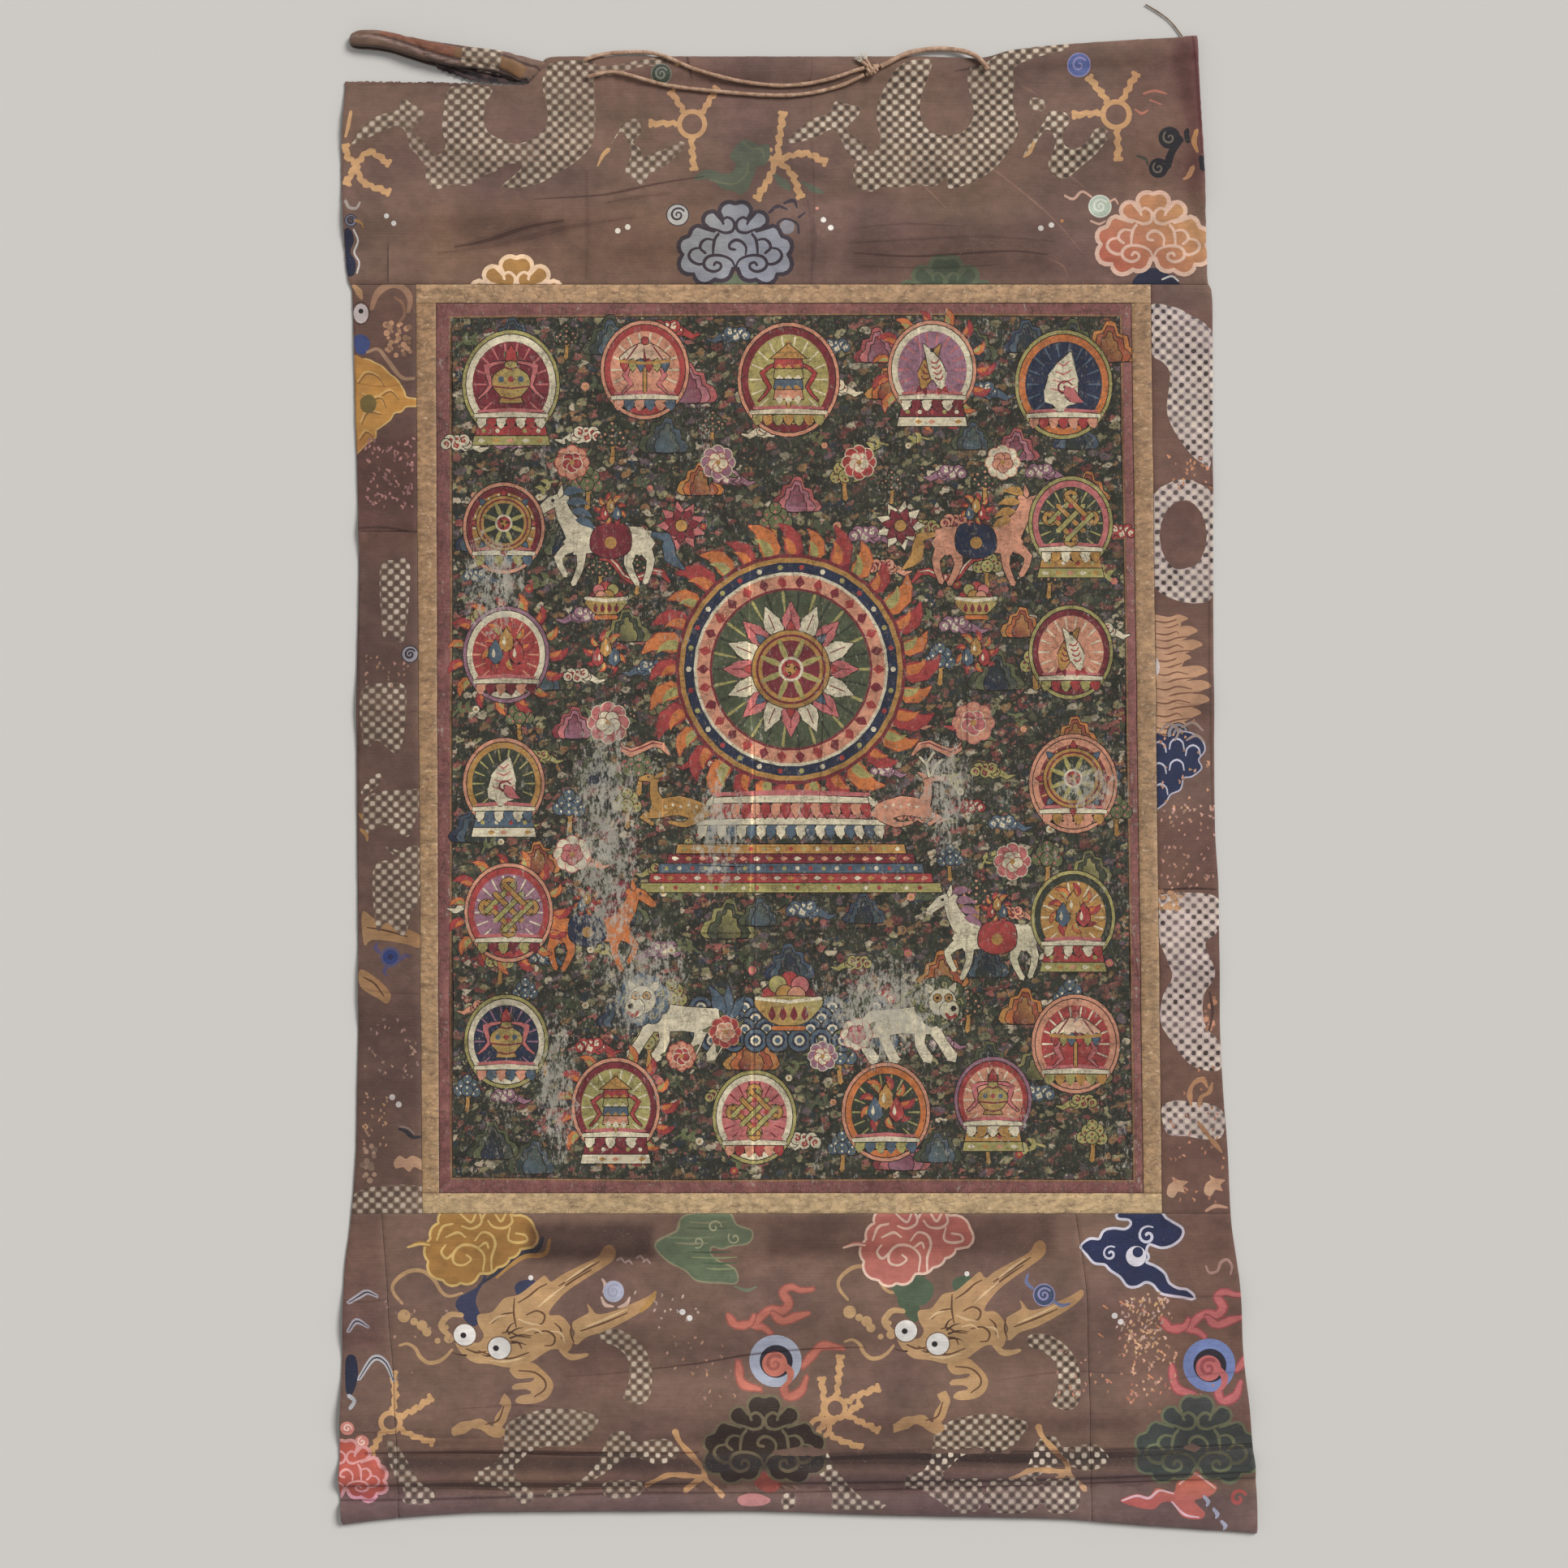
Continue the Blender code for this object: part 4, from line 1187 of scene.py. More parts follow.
COIL_1 = [
    (640, 258), (860, 262), (835, 350), (822, 430), (845, 510), (905, 550), (1000, 580), (1090, 555),
    (1160, 500), (1182, 420), (1165, 320), (1150, 240), (1165, 180), (1205, 125), (1440, 125),
    (1442, 260), (1448, 420), (1440, 540), (1400, 620), (1320, 690), (1220, 750), (1130, 800),
    (1020, 822), (925, 815), (985, 760), (1040, 700), (960, 690), (880, 735), (830, 750), (740, 810),
    (650, 805), (560, 830), (505, 790), (500, 720), (545, 660), (610, 600), (592, 500), (598, 400),
]
LEG_1 = [
    (70, 590), (100, 560), (140, 490), (240, 420), (330, 395), (370, 325), (420, 355), (480, 390),
    (490, 420), (440, 480), (420, 510), (480, 560), (520, 610), (560, 660), (500, 700), (450, 640),
    (410, 600), (390, 520), (340, 480), (260, 510), (180, 545),
]
LEG_2 = [
    (0, 590), (40, 520), (80, 460), (150, 430), (180, 500), (130, 560), (170, 590), (190, 640),
    (250, 620), (330, 590), (400, 555), (420, 580), (370, 640), (300, 700), (220, 740), (190, 800),
    (150, 770), (90, 720), (120, 640), (110, 560), (70, 500), (20, 560), (-20, 610),
]
LEG_3 = [
    (985, 565), (1020, 515), (1060, 480), (1130, 430), (1215, 400), (1250, 335), (1300, 345), (1375, 360),
    (1385, 400), (1360, 430), (1310, 490), (1350, 530), (1420, 590), (1440, 640), (1500, 690),
    (1450, 720), (1400, 680), (1340, 650), (1300, 590), (1270, 520), (1230, 490), (1150, 530),
    (1060, 560),
]
COIL_2 = [
    (60, 130), (120, 95), (215, 90), (215, 140), (185, 220), (165, 300), (175, 380), (215, 430),
    (280, 450), (350, 440), (400, 400), (420, 340), (405, 260), (390, 190), (405, 130), (470, 110),
    (540, 60), (640, 30), (760, 15), (870, 12), (850, 45), (700, 85), (610, 130), (612, 200), (602, 290),
    (625, 380), (625, 440), (590, 510), (530, 590), (450, 650), (380, 680), (300, 695), (290, 640),
    (240, 685), (150, 680), (80, 690), (-20, 690), (-57, 711), (-130, 690), (-148, 600), (-100, 560),
    (-60, 540), (-20, 480), (-37, 384), (-28, 282), (14, 196),
]
LEG_4 = [
    (650, 550), (700, 460), (760, 370), (780, 330), (850, 340), (870, 380), (840, 440), (850, 500),
    (910, 510), (960, 470), (990, 420), (1040, 420), (1050, 460), (1000, 530), (930, 590), (850, 650),
    (790, 620), (770, 580), (800, 500), (790, 440), (760, 420), (720, 470), (680, 540),
]
GREEN_CLOUD = [
    (470, 770), (520, 720), (580, 720), (640, 740), (690, 720), (700, 680), (670, 650), (690, 600),
    (740, 550), (790, 560), (830, 580), (880, 575), (890, 640), (860, 690), (820, 700), (800, 750),
    (770, 820), (730, 850), (680, 830), (630, 820), (560, 770),
]


def draw_top_bodies(drawing):
    """The coils and legs of the two dragons, woven with scales."""
    for place, outline, depth in (
            (top_left, COIL_1, 0.85), (top_left, LEG_1, 0.75), (top_middle, LEG_2, 0.75),
            (top_middle, LEG_3, 1.0), (top_right, COIL_2, 1.0), (top_right, LEG_4, 1.0)):
        add_scales(drawing, place, outline, depth)
    add_scales(drawing, top_right, [(690, 270), (750, 280), (750, 330), (690, 320)], 0.8)
    add_scales(
        drawing, top_left, [(1440, 210), (1560, 190), (1700, 150), (1840, 135), (1840, 95), (1700, 110),
        (1560, 140), (1440, 150)], 0.7)


def draw_top_claws(drawing):
    """The four claws, with loose ends of gold thread."""
    add_claw(
        drawing, top_left, (110, 690), [[(150, 640), (190, 622), (280, 680)], [(60, 650), (50, 600)],
        [(120, 740), (150, 795), (280, 845)], [(80, 740), (60, 790)]], size=1.3)
    add_claw(
        drawing, top_middle, (460, 460), [[(370, 455), (240, 455)], [(410, 380), (350, 290)], [(530, 370),
        (590, 270)], [(460, 580), (470, 700)]], ring=70, size=1.25)
    add_claw(
        drawing, top_middle, (930, 660), [[(945, 520), (960, 410)], [(860, 650), (875, 610)],
        [(1080, 625), (1185, 670)], [(1010, 740), (1055, 850)], [(880, 770), (825, 860)]], size=1.35)
    add_claw(
        drawing, top_right, (1090, 350), [[(1010, 340), (900, 350)], [(1030, 260), (970, 180)],
        [(1130, 260), (1180, 165)], [(1095, 440), (1100, 550)]], ring=62, size=1.35)
    drawing.stroke(top_left([(80, 400), (66, 480), (50, 540)]), (2.6, 3.2, 2), TAN)
    drawing.stroke(top_left([(1520, 610), (1490, 640), (1460, 700)]), (4, 3, 1.4), TAN)
    drawing.stroke(top_right([(700, 490), (680, 530), (655, 550)]), (3, 3.6, 1.6), TAN)
    add_strokes(
        drawing, top_right, [[(1180, 325), (1210, 345), (1240, 330)], [(1220, 250), (1270, 235),
        (1330, 250)], [(1250, 280), (1300, 300)]], (1.6, 2.4, 1.2), (176, 116, 96))


def draw_top_clouds(drawing):
    """The green cloud, the pearls and the dots between the dragons' legs."""
    drawing.fill(top_middle(GREEN_CLOUD), MOSS)
    drawing.stroke(top_middle([(560, 770), (640, 790), (700, 790), (760, 740), (770, 680)]), 1.6,
                   MOSS_LINE)
    drawing.stroke(top_middle([(740, 560), (790, 600), (840, 600), (860, 650)]), 1.6, MOSS_LINE)
    for bit in ([(910, 740), (960, 760), (1000, 790), (1000, 830), (940, 800)],
                [(1060, 780), (1130, 800), (1190, 840), (1130, 840)]):
        drawing.fill(top_middle(bit), MOSS)
    add_ball(drawing, spot(top_middle, 290, 185), 7.6, (62, 70, 56), (120, 122, 108))
    add_disc(drawing, spot(top_middle, 380, 130), 2.2, TAN)
    add_dots(drawing, top_left, [(280, 985), (320, 1025)], 2.2, WHITE)
    add_dots(drawing, top_middle, [(50, 1050), (105, 1030), (1185, 990), (1225, 1035)], 2.4, WHITE)
    add_dots(drawing, top_middle, [(1150, 925)], 1.5, PINK)
    add_dots(drawing, top_right, [(735, 885), (785, 870)], 2.4, WHITE)
    add_dots(drawing, top_right, [(835, 850)], 1.6, ORANGE)
    add_ball(drawing, spot(top_left, 80, 1010), 4.6, (112, 112, 124), INK)
    drawing.stroke(top_left([(110, 1010), (140, 1025), (150, 1050)]), (2.6, 1.6, 1), DULL_GOLD)
    drawing.stroke(
        top_left([(50, 900), (70, 935), (110, 940), (130, 905)]), (2.6, 2.8, 1.6), (160, 146, 136))
    drawing.fill(
        top_left([(45, 1060), (80, 1060), (95, 1120), (75, 1180), (105, 1240), (95, 1310), (55, 1310),
        (48, 1200)]), NAVY)
    drawing.stroke(
        top_left([(95, 1060), (118, 1120), (96, 1185), (124, 1240), (112, 1300)]), 1.5, PALE_GREY)


def draw_top_pearls(drawing):
    """The pearls and the dark scrolls of the right part."""
    add_ball(drawing, spot(draft, 835, 265), 8.6, SILVER, INK)
    add_disc(drawing, spot(draft, 970, 280), 6.0, (132, 128, 132))
    drawing.stroke(draft([(962, 286), (958, 276), (968, 270), (982, 276), (984, 288)]), 2.0, INK)
    add_strokes(
        drawing, draft, [[(948, 262), (958, 254), (970, 258)], [(966, 250), (978, 247), (982, 256)],
        [(984, 268), (992, 262)]], (2.4, 3.4, 1.4), INK)
    add_ball(drawing, spot(top_right, 915, 115), 8.8, BLUE, (146, 140, 184), turns=1.2)
    add_ball(drawing, spot(top_right, 1015, 780), 8.6, (172, 182, 164), (206, 208, 192))
    drawing.stroke(top_right([(850, 730), (890, 745), (930, 710), (975, 735)]), (2, 2.4, 1.6),
                   (200, 160, 140))
    drawing.stroke(top_right([(970, 850), (1010, 865), (1040, 850)]), (1.6, 2, 1.2), (200, 160, 140))
    drawing.stroke(top_right([(1060, 760), (1085, 745), (1100, 770)]), (1.6, 2, 1.2), (200, 160, 140))
    for centre, reach in (((1340, 460), 9.0), ((1290, 600), 8.0)):
        middle = spot(top_right, *centre)
        add_disc(drawing, middle, reach, (36, 34, 38))
        drawing.stroke(middle + spiral(reach * 0.62, 1.1, 2.2), (1.4, 1.6, 1), (112, 106, 92), step=1.6)
    drawing.stroke(top_right([(1385, 470), (1350, 530), (1330, 590)]), (7, 6, 7), (36, 34, 38))
    add_strokes(
        drawing, top_right, [[(1420, 430), (1425, 475)], [(1488, 560), (1495, 610)]], (4.5, 4.5),
        (36, 34, 38))
    drawing.stroke(top_right([(1465, 430), (1455, 480), (1470, 530)]), (3.4, 4.4, 2), (190, 140, 92))
    drawing.stroke(top_right([(1450, 600), (1430, 640), (1410, 650)]), (4, 4.4, 2), (200, 150, 110))
    drawing.stroke(top_right([(1190, 545), (1230, 560), (1240, 590)]), (2, 2.6, 1.4), (70, 70, 56))


def draw_seam_clouds(drawing):
    """The four cloud heads that the lower seam passes."""
    drawing.fill(draft([(884, 338), (930, 338), (938, 350), (876, 350)]), (96, 104, 82))
    add_cloud(drawing, (906, 300), (138, 140, 152), INK, end=(144, 144, 150))
    drawing.fill(draft([(1398, 352), (1404, 336), (1422, 330), (1440, 338), (1452, 352)]), NAVY)
    drawing.stroke(draft([(1432, 344), (1444, 340), (1452, 346)]), 1.4, PALE_GREY)
    add_cloud(drawing, (1421, 288), (172, 86, 70), (208, 172, 150), end=(180, 140, 90))
    add_cloud(drawing, (636, 367), (150, 112, 64), CREAM_PINK, end=(166, 122, 70))
    add_cloud(drawing, (1165, 368), (74, 84, 64), (96, 102, 78))


def top_drawing():
    """The top panel, one layer over another."""
    drawing = Drawing(brocade_ground, brocade_tone)
    for draw in (draw_top_bodies, draw_top_claws, draw_top_clouds, draw_top_pearls, draw_seam_clouds):
        draw(drawing)
    add_creases(drawing, TOP_CREASES)
    return drawing


# ---------------------------------------------------------------- soil, fading, creases and painted shade

def soft_box(places, left, top, right, bottom, soft):
    """1 inside a box on the draft and 0 outside it, with soft edges this many millimetres wide."""
    (x1, y1), (x2, y2) = draft([(left, top), (right, bottom)])
    x, y = places[:, 0], places[:, 1]
    across = np.clip((x - x1) / soft + 0.5, 0, 1) * np.clip((x2 - x) / soft + 0.5, 0, 1)
    down = np.clip((y1 - y) / soft + 0.5, 0, 1) * np.clip((y - y2) / soft + 0.5, 0, 1)
    return (across * down)[:, None]


# Patches of colour on the brocade: a box on the draft, how soft its edge is, and what it does to
# the colour. Some are soil and fading; the painted shade, highlights and reflections are marked.
Patch = namedtuple("Patch", "left top right bottom soft tint")
PATCHES = [
    # Darker just below the gold strip.
    Patch(650, 1508, 806, 1552, 8, (0.36, 0.31, 0.32)),
    Patch(425, 536, 520, 656, 10, (0.76, 0.66, 0.7)),
    # Painted shade in the fold valleys above the hem, with a painted highlight on one crest.
    Patch(470, 1794, 960, 1812, 5, (0.4, 0.36, 0.37)),
    Patch(960, 1788, 1545, 1806, 5, (0.42, 0.38, 0.39)),
    Patch(440, 1776, 960, 1792, 6, (1.12, 1.1, 1.08)),
    Patch(520, 1768, 960, 1782, 6, (0.82, 0.8, 0.8)),
    Patch(1000, 1744, 1400, 1762, 6, (0.84, 0.8, 0.82)),
    # Painted bluish reflection on the right of the hem.
    Patch(980, 1812, 1420, 1836, 6, (0.98, 1.0, 1.24)),
    Patch(1380, 1590, 1455, 1725, 12, (1.22, 1.14, 1.12)),
    Patch(690, 1650, 800, 1720, 12, (0.86, 0.82, 0.82)),
    # Darker again just below the gold strip, further right.
    Patch(945, 1498, 1300, 1546, 10, (0.66, 0.6, 0.58)),
    Patch(806, 1500, 945, 1530, 10, (0.84, 0.8, 0.78)),
    # Painted bluish reflection along the whole hem.
    Patch(400, 1838, 1560, 1900, 8, (0.92, 0.95, 1.18)),
    Patch(400, 1480, 470, 1660, 14, (0.86, 0.8, 0.82)),
    Patch(1440, 1470, 1560, 1800, 22, (0.84, 0.76, 0.76)),
    Patch(441, 298, 479, 352, 2, (0.84, 0.84, 0.86)),
    Patch(520, 250, 900, 345, 30, (1.1, 1.06, 0.92)),
    # Painted shade along the soft creases at the top left.
    Patch(560, 268, 700, 300, 8, (0.8, 0.78, 0.8)),
    Patch(1045, 270, 1300, 340, 14, (0.78, 0.74, 0.74)),
    Patch(700, 60, 940, 130, 20, (0.94, 0.9, 0.94)),
    Patch(1395, 380, 1500, 900, 20, (0.86, 0.78, 0.78)),
    Patch(1395, 1000, 1520, 1470, 20, (0.9, 0.8, 0.78)),
    Patch(420, 350, 520, 700, 20, (0.68, 0.6, 0.62)),
    Patch(420, 700, 520, 1480, 20, (0.66, 0.62, 0.63)),
    # Painted shade over the valley just above the hem.
    Patch(520, 1790, 1200, 1838, 14, (0.84, 0.8, 0.8)),
    Patch(1380, 60, 1470, 240, 30, (0.94, 0.86, 0.84)),
]


def patched_tone(places, patches, mottle, seed, size):
    """What some patches, and a mottling in lumps of a size, do to the colour at some places."""
    tone = np.ones((len(places), 3))
    for patch in patches:
        tone *= 1 + soft_box(places, *patch[:5]) * (np.array(patch.tint) - 1)
    return tone * (1 + mottle * ripple(places[:, 0], places[:, 1], seed, size))[:, None]


def brocade_tone(places):
    """The soil and fading of the brocade, with the painted shade, highlight and reflections of some of its
    patches.
    """
    return patched_tone(places, PATCHES, 0.07, 23, 60)


# A crease: its line on the draft, its width in millimetres and what it does to the colour.
# A darkening is painted shade in the crease. A lightening is paler where the cloth or paint is
# rubbed along it, except where it is marked as a painted highlight.
Crease = namedtuple("Crease", "line width tint")
SHADE = (0.56, 0.5, 0.52)
FAINT = (0.8, 0.77, 0.78)
DEEP = (0.5, 0.43, 0.43)
RUBBED = (1.32, 1.3, 1.26)
TOP_CREASES = [
    Crease([(658, 246), (740, 240), (811, 226), (867, 218)], 1.6, SHADE),
    Crease([(744, 250), (790, 242), (826, 238)], 3.4, FAINT),
    Crease([(560, 304), (600, 296), (650, 280), (694, 272)], 3.8, SHADE),
    Crease([(540, 312), (620, 300), (700, 280), (780, 268)], 5.0, FAINT),
    Crease([(1133, 224), (1150, 240), (1166, 256)], 1.2, RUBBED),
    Crease([(1200, 196), (1231, 214), (1290, 262), (1332, 310)], 1.3, RUBBED),
    Crease([(1256, 104), (1268, 110), (1280, 118)], 1.0, RUBBED),
    Crease([(1305, 205), (1320, 218), (1336, 230)], 1.1, RUBBED),
    Crease([(1290, 318), (1310, 328), (1316, 342)], 1.2, RUBBED),
    Crease([(1046, 300), (1120, 296), (1210, 292), (1300, 298)], 2.0, FAINT),
    Crease([(1052, 312), (1130, 316), (1240, 310), (1290, 314)], 1.6, SHADE),
    Crease([(1060, 328), (1150, 330), (1230, 326)], 1.4, FAINT),
    Crease([(1050, 282), (1120, 276), (1190, 280)], 1.3, FAINT),
    Crease([(1001, 60), (999, 150), (1003, 240), (1000, 350)], 1.5, (0.88, 0.86, 0.88)),
    Crease([(995, 246), (1002, 290), (1000, 345)], 6, (0.84, 0.82, 0.86)),
    Crease([(722, 210), (724, 280), (722, 345)], 3.4, (0.88, 0.86, 0.88)),
    Crease([(478, 298), (478, 350)], 0.9, SHADE),
    Crease([(440, 104), (520, 102), (560, 104), (620, 103)], 2.0, FAINT),
    Crease([(1468, 40), (1474, 100), (1478, 160), (1480, 190)], 2.6, (0.7, 0.5, 0.5)),
    Crease([(846, 64), (848, 78), (852, 96)], 2.2, SHADE),
    Crease([(1176, 88), (1200, 84), (1222, 76)], 2.0, SHADE),
]
FOOT_CREASES = [
    Crease([(450, 1791), (600, 1789), (760, 1792), (860, 1790)], 4.4, DEEP),
    Crease([(425, 1830), (560, 1828), (700, 1829), (860, 1827)], 5.0, DEEP),
    Crease([(1000, 1797), (1120, 1794), (1250, 1796), (1400, 1791), (1545, 1783)], 7.0, DEEP),
    Crease([(960, 1827), (1120, 1825), (1300, 1822), (1540, 1812)], 3.2, DEEP),
    # A painted highlight along the crest above the hem.
    Crease([(480, 1771), (600, 1774), (720, 1770)], 3.4, (1.2, 1.18, 1.15)),
    Crease([(507, 1791), (600, 1790), (700, 1791), (793, 1789)], 1.5, SHADE),
    Crease([(1168, 1789), (1300, 1788), (1440, 1784), (1560, 1778)], 1.5, SHADE),
    Crease([(405, 1849), (560, 1845), (760, 1839), (950, 1838)], 1.8, SHADE),
    Crease([(950, 1838), (1150, 1834), (1350, 1827), (1552, 1820)], 1.8, SHADE),
    Crease([(803, 1687), (860, 1680), (925, 1669), (1000, 1662), (1067, 1660)], 1.3, (0.5, 0.42, 0.42)),
    Crease([(700, 1696), (760, 1692), (803, 1687)], 1.2, FAINT),
    Crease([(560, 1735), (640, 1730), (700, 1735)], 1.3, FAINT),
    Crease([(1230, 1700), (1320, 1690), (1400, 1694)], 1.3, FAINT),
    Crease([(410, 1762), (470, 1764), (520, 1760)], 1.4, FAINT),
    Crease([(1440, 1600), (1500, 1596), (1545, 1600)], 1.4, FAINT),
    Crease([(1440, 1700), (1500, 1692), (1555, 1690)], 1.4, FAINT),
    Crease([(410, 1600), (450, 1604), (478, 1600)], 1.4, FAINT),
]


def add_creases(drawing, creases):
    """Each crease as a thin line with a wider, fainter one over it."""
    for crease in creases:
        drawing.stroke(draft(crease.line), (crease.width * 0.3, crease.width, crease.width * 0.3),
                       crease.tint, tint=True, step=4.0)
        drawing.stroke(draft(crease.line), (crease.width, crease.width * 2.2, crease.width),
                       1 + (np.array(crease.tint) - 1) * 0.35, tint=True, step=6.0)


# ---------------------------------------------------------------- the bottom panel

# The head and mane of a dragon, on its window.
HEAD = [
    (700, 560), (770, 545), (830, 480), (900, 462), (985, 400), (1030, 370), (1060, 400), (1110, 368),
    (1200, 322), (1290, 275), (1325, 225), (1358, 215), (1382, 245), (1368, 292), (1300, 342),
    (1215, 395), (1130, 455), (1065, 525), (1055, 560), (1105, 562), (1145, 595), (1168, 650),
    (1165, 715), (1140, 748), (1100, 735), (1060, 735), (1010, 765), (955, 800), (860, 825), (760, 808),
    (680, 800), (632, 768), (600, 730), (590, 695), (640, 690), (700, 700), (730, 660), (705, 610),
]
HORN = [
    (1165, 600), (1230, 560), (1250, 545), (1240, 505), (1265, 530), (1290, 555), (1360, 545),
    (1450, 510), (1520, 480), (1570, 455), (1580, 480), (1530, 530), (1430, 590), (1330, 640),
    (1240, 670), (1190, 710), (1165, 690), (1180, 650),
]
BEARD = [
    (860, 825), (960, 800), (1010, 830), (1060, 880), (1072, 920), (1050, 965), (1000, 992), (930, 1000),
    (885, 988), (905, 962), (965, 948), (940, 930), (872, 930), (880, 905), (960, 895), (975, 875),
    (900, 880), (868, 860),
]
MANE = [
    (740, 350), (700, 420), (640, 455), (610, 470), (588, 510), (620, 560), (650, 600), (690, 615),
    (710, 560), (690, 500), (700, 450), (735, 390),
]
HEAD_LINES = [
    [(770, 600), (820, 560), (880, 548)], [(880, 480), (878, 550), (890, 620)],
    [(820, 650), (860, 645), (900, 665), (960, 672)], [(860, 690), (900, 700), (915, 730)],
    [(900, 500), (950, 470), (1000, 430), (1040, 410)], [(1080, 460), (1160, 400), (1260, 340)],
    [(1100, 420), (1200, 360), (1300, 300)], [(1165, 600), (1160, 650), (1175, 700)],
    [(940, 560), (990, 540), (1030, 560), (1020, 600), (980, 610)],
    [(980, 650), (1040, 640), (1080, 670), (1070, 710), (1030, 715)],
    [(700, 740), (780, 770), (860, 780), (950, 750)], [(640, 730), (690, 750), (740, 745)],
    [(1210, 640), (1320, 600), (1440, 550)], [(1080, 600), (1110, 630), (1115, 680)],
    [(900, 840), (980, 850), (1030, 890), (1030, 930), (980, 965)],
]
LASHES = [
    [(845, 640), (860, 612), (885, 596)], [(852, 655), (890, 630), (925, 622)], [(860, 676), (910, 660),
    (970, 664)], [(866, 700), (905, 700), (940, 712)], [(640, 765), (600, 760), (570, 748)], [(770, 765),
    (740, 768), (715, 758)],
]
FACE_SHINE = [
    [(760, 600), (800, 570), (840, 560)], [(900, 580), (950, 600), (1010, 610)], [(930, 640), (980, 630),
    (1020, 650)], [(1000, 520), (1060, 470), (1130, 420)], [(1130, 400), (1200, 350), (1270, 305)],
    [(1230, 620), (1330, 580), (1440, 530)], [(1060, 640), (1110, 650), (1130, 700)], [(760, 790),
    (840, 795), (930, 775)],
]
GOLD_FACE = (182, 146, 104)
FACE_LINE = (98, 68, 46)


def add_dragon_head(drawing, place, mane_colour):
    """A dragon's head from the side, with its horn, beard and one arm."""
    drawing.fill(place(MANE), mane_colour)
    drawing.fill(
        place([(900, 470), (880, 430), (900, 400), (950, 390), (985, 400), (940, 440)]), mane_colour)
    add_strokes(drawing, place, [[(620, 560), (560, 560), (520, 610), (545, 650), (600, 690)],
                 [(1110, 735), (1150, 770), (1200, 770), (1240, 760)]], (4, 5.5, 3), GOLD_FACE)
    add_strokes(
        drawing, place, [[(570, 735), (540, 770), (500, 795), (450, 800), (410, 770), (390, 730),
        (350, 705), (310, 715)], [(325, 505), (285, 460), (275, 420), (310, 375), (370, 345), (430, 350),
        (480, 390), (520, 450), (560, 470), (620, 455)]], (2.2, 3.4, 3.2, 2.0), (176, 140, 100))
    for x, y, radius in (
            (335, 565, 33), (385, 592, 20), (425, 612, 28), (448, 645, 24), (555, 680, 24),
            (500, 690, 16), (545, 620, 14)):
        add_disc(drawing, spot(place, x, y), radius * 0.16, GOLD_FACE)
    for outline in (HEAD, HORN, BEARD):
        drawing.fill(place(outline), GOLD_FACE, end=(168, 128, 86), gloss=0.8)
    add_strokes(drawing, place, HEAD_LINES, (1.0, 1.8, 1.0), FACE_LINE, step=1.8)
    add_strokes(drawing, place, LASHES, (1.8, 1.2, 0.4), (74, 50, 40))
    add_strokes(drawing, place, FACE_SHINE, (0.8, 2.2, 0.8), (204, 172, 130))
    for (x, y), (u, v), radius in (((635, 660), (628, 662), 55), ((805, 727), (788, 728), 56)):
        add_disc(drawing, spot(place, x, y), radius * 0.166 + 0.8, FACE_LINE)
        add_disc(drawing, spot(place, x, y), radius * 0.166, (218, 212, 205))
        add_disc(drawing, spot(place, u, v), 2.6, (40, 34, 36))
    add_disc(drawing, spot(place, 960, 380), 2.2, WHITE)
    arm = [(835, 985), (845, 1010), (820, 1060), (800, 1110), (810, 1140), (760, 1130), (720, 1100),
           (670, 1100), (620, 1120), (590, 1135)]
    drawing.stroke(place(arm), (8.4, 6.8, 9.6, 6.4, 10.4, 7, 9.4, 6.4, 10.8, 7.6), (178, 140, 98))
    drawing.stroke(place([(830, 1010), (800, 1080), (740, 1100)]), (1, 1.6, 1), FACE_LINE)


BODY = [
    (870, 1080), (960, 1040), (1120, 1020), (1290, 1060), (1270, 1130), (1220, 1190), (1130, 1215),
    (1040, 1215), (960, 1240), (900, 1290), (860, 1310), (820, 1270), (830, 1180), (840, 1110),
]
BODY_LIMB = [
    (820, 1250), (880, 1320), (900, 1380), (960, 1420), (980, 1470), (920, 1490), (860, 1450),
    (760, 1400), (690, 1390), (700, 1330), (780, 1300),
]
BODY_BACK = [
    (1360, 1150), (1440, 1140), (1470, 1190), (1560, 1180), (1640, 1180), (1700, 1250), (1600, 1300),
    (1480, 1270), (1400, 1290), (1330, 1340), (1240, 1390), (1150, 1450), (1040, 1460), (1050, 1430),
    (1180, 1390), (1260, 1330), (1300, 1270),
]
TAIL = [
    (1300, 640), (1380, 625), (1480, 680), (1540, 760), (1560, 860), (1550, 960), (1500, 1000),
    (1420, 970), (1450, 880), (1440, 780), (1380, 720), (1310, 690),
]
LEFT_LIMB = [
    (250, 1180), (300, 1210), (330, 1260), (380, 1330), (420, 1390), (480, 1440), (470, 1490),
    (340, 1490), (330, 1420), (290, 1350), (260, 1290),
]
HEM_SCALES = [(1330, 1385), (1500, 1380), (1500, 1450), (1340, 1460)]


def add_dragon(drawing, place, face_place, mane_colour, depth):
    """A dragon: its scaled body, a claw with a ring, and its head."""
    for outline in (BODY, BODY_LIMB, BODY_BACK, TAIL, LEFT_LIMB, HEM_SCALES):
        add_scales(drawing, place, outline, depth)
    add_claw(
        drawing, place, (270, 1090), [[(285, 1010), (290, 960), (280, 860)], [(345, 1045), (400, 1020),
        (460, 975)], [(350, 1145), (400, 1165), (465, 1190)], [(215, 1160), (200, 1190), (175, 1240)]],
        ring=48, size=1.3)
    add_dragon_head(drawing, face_place, mane_colour)


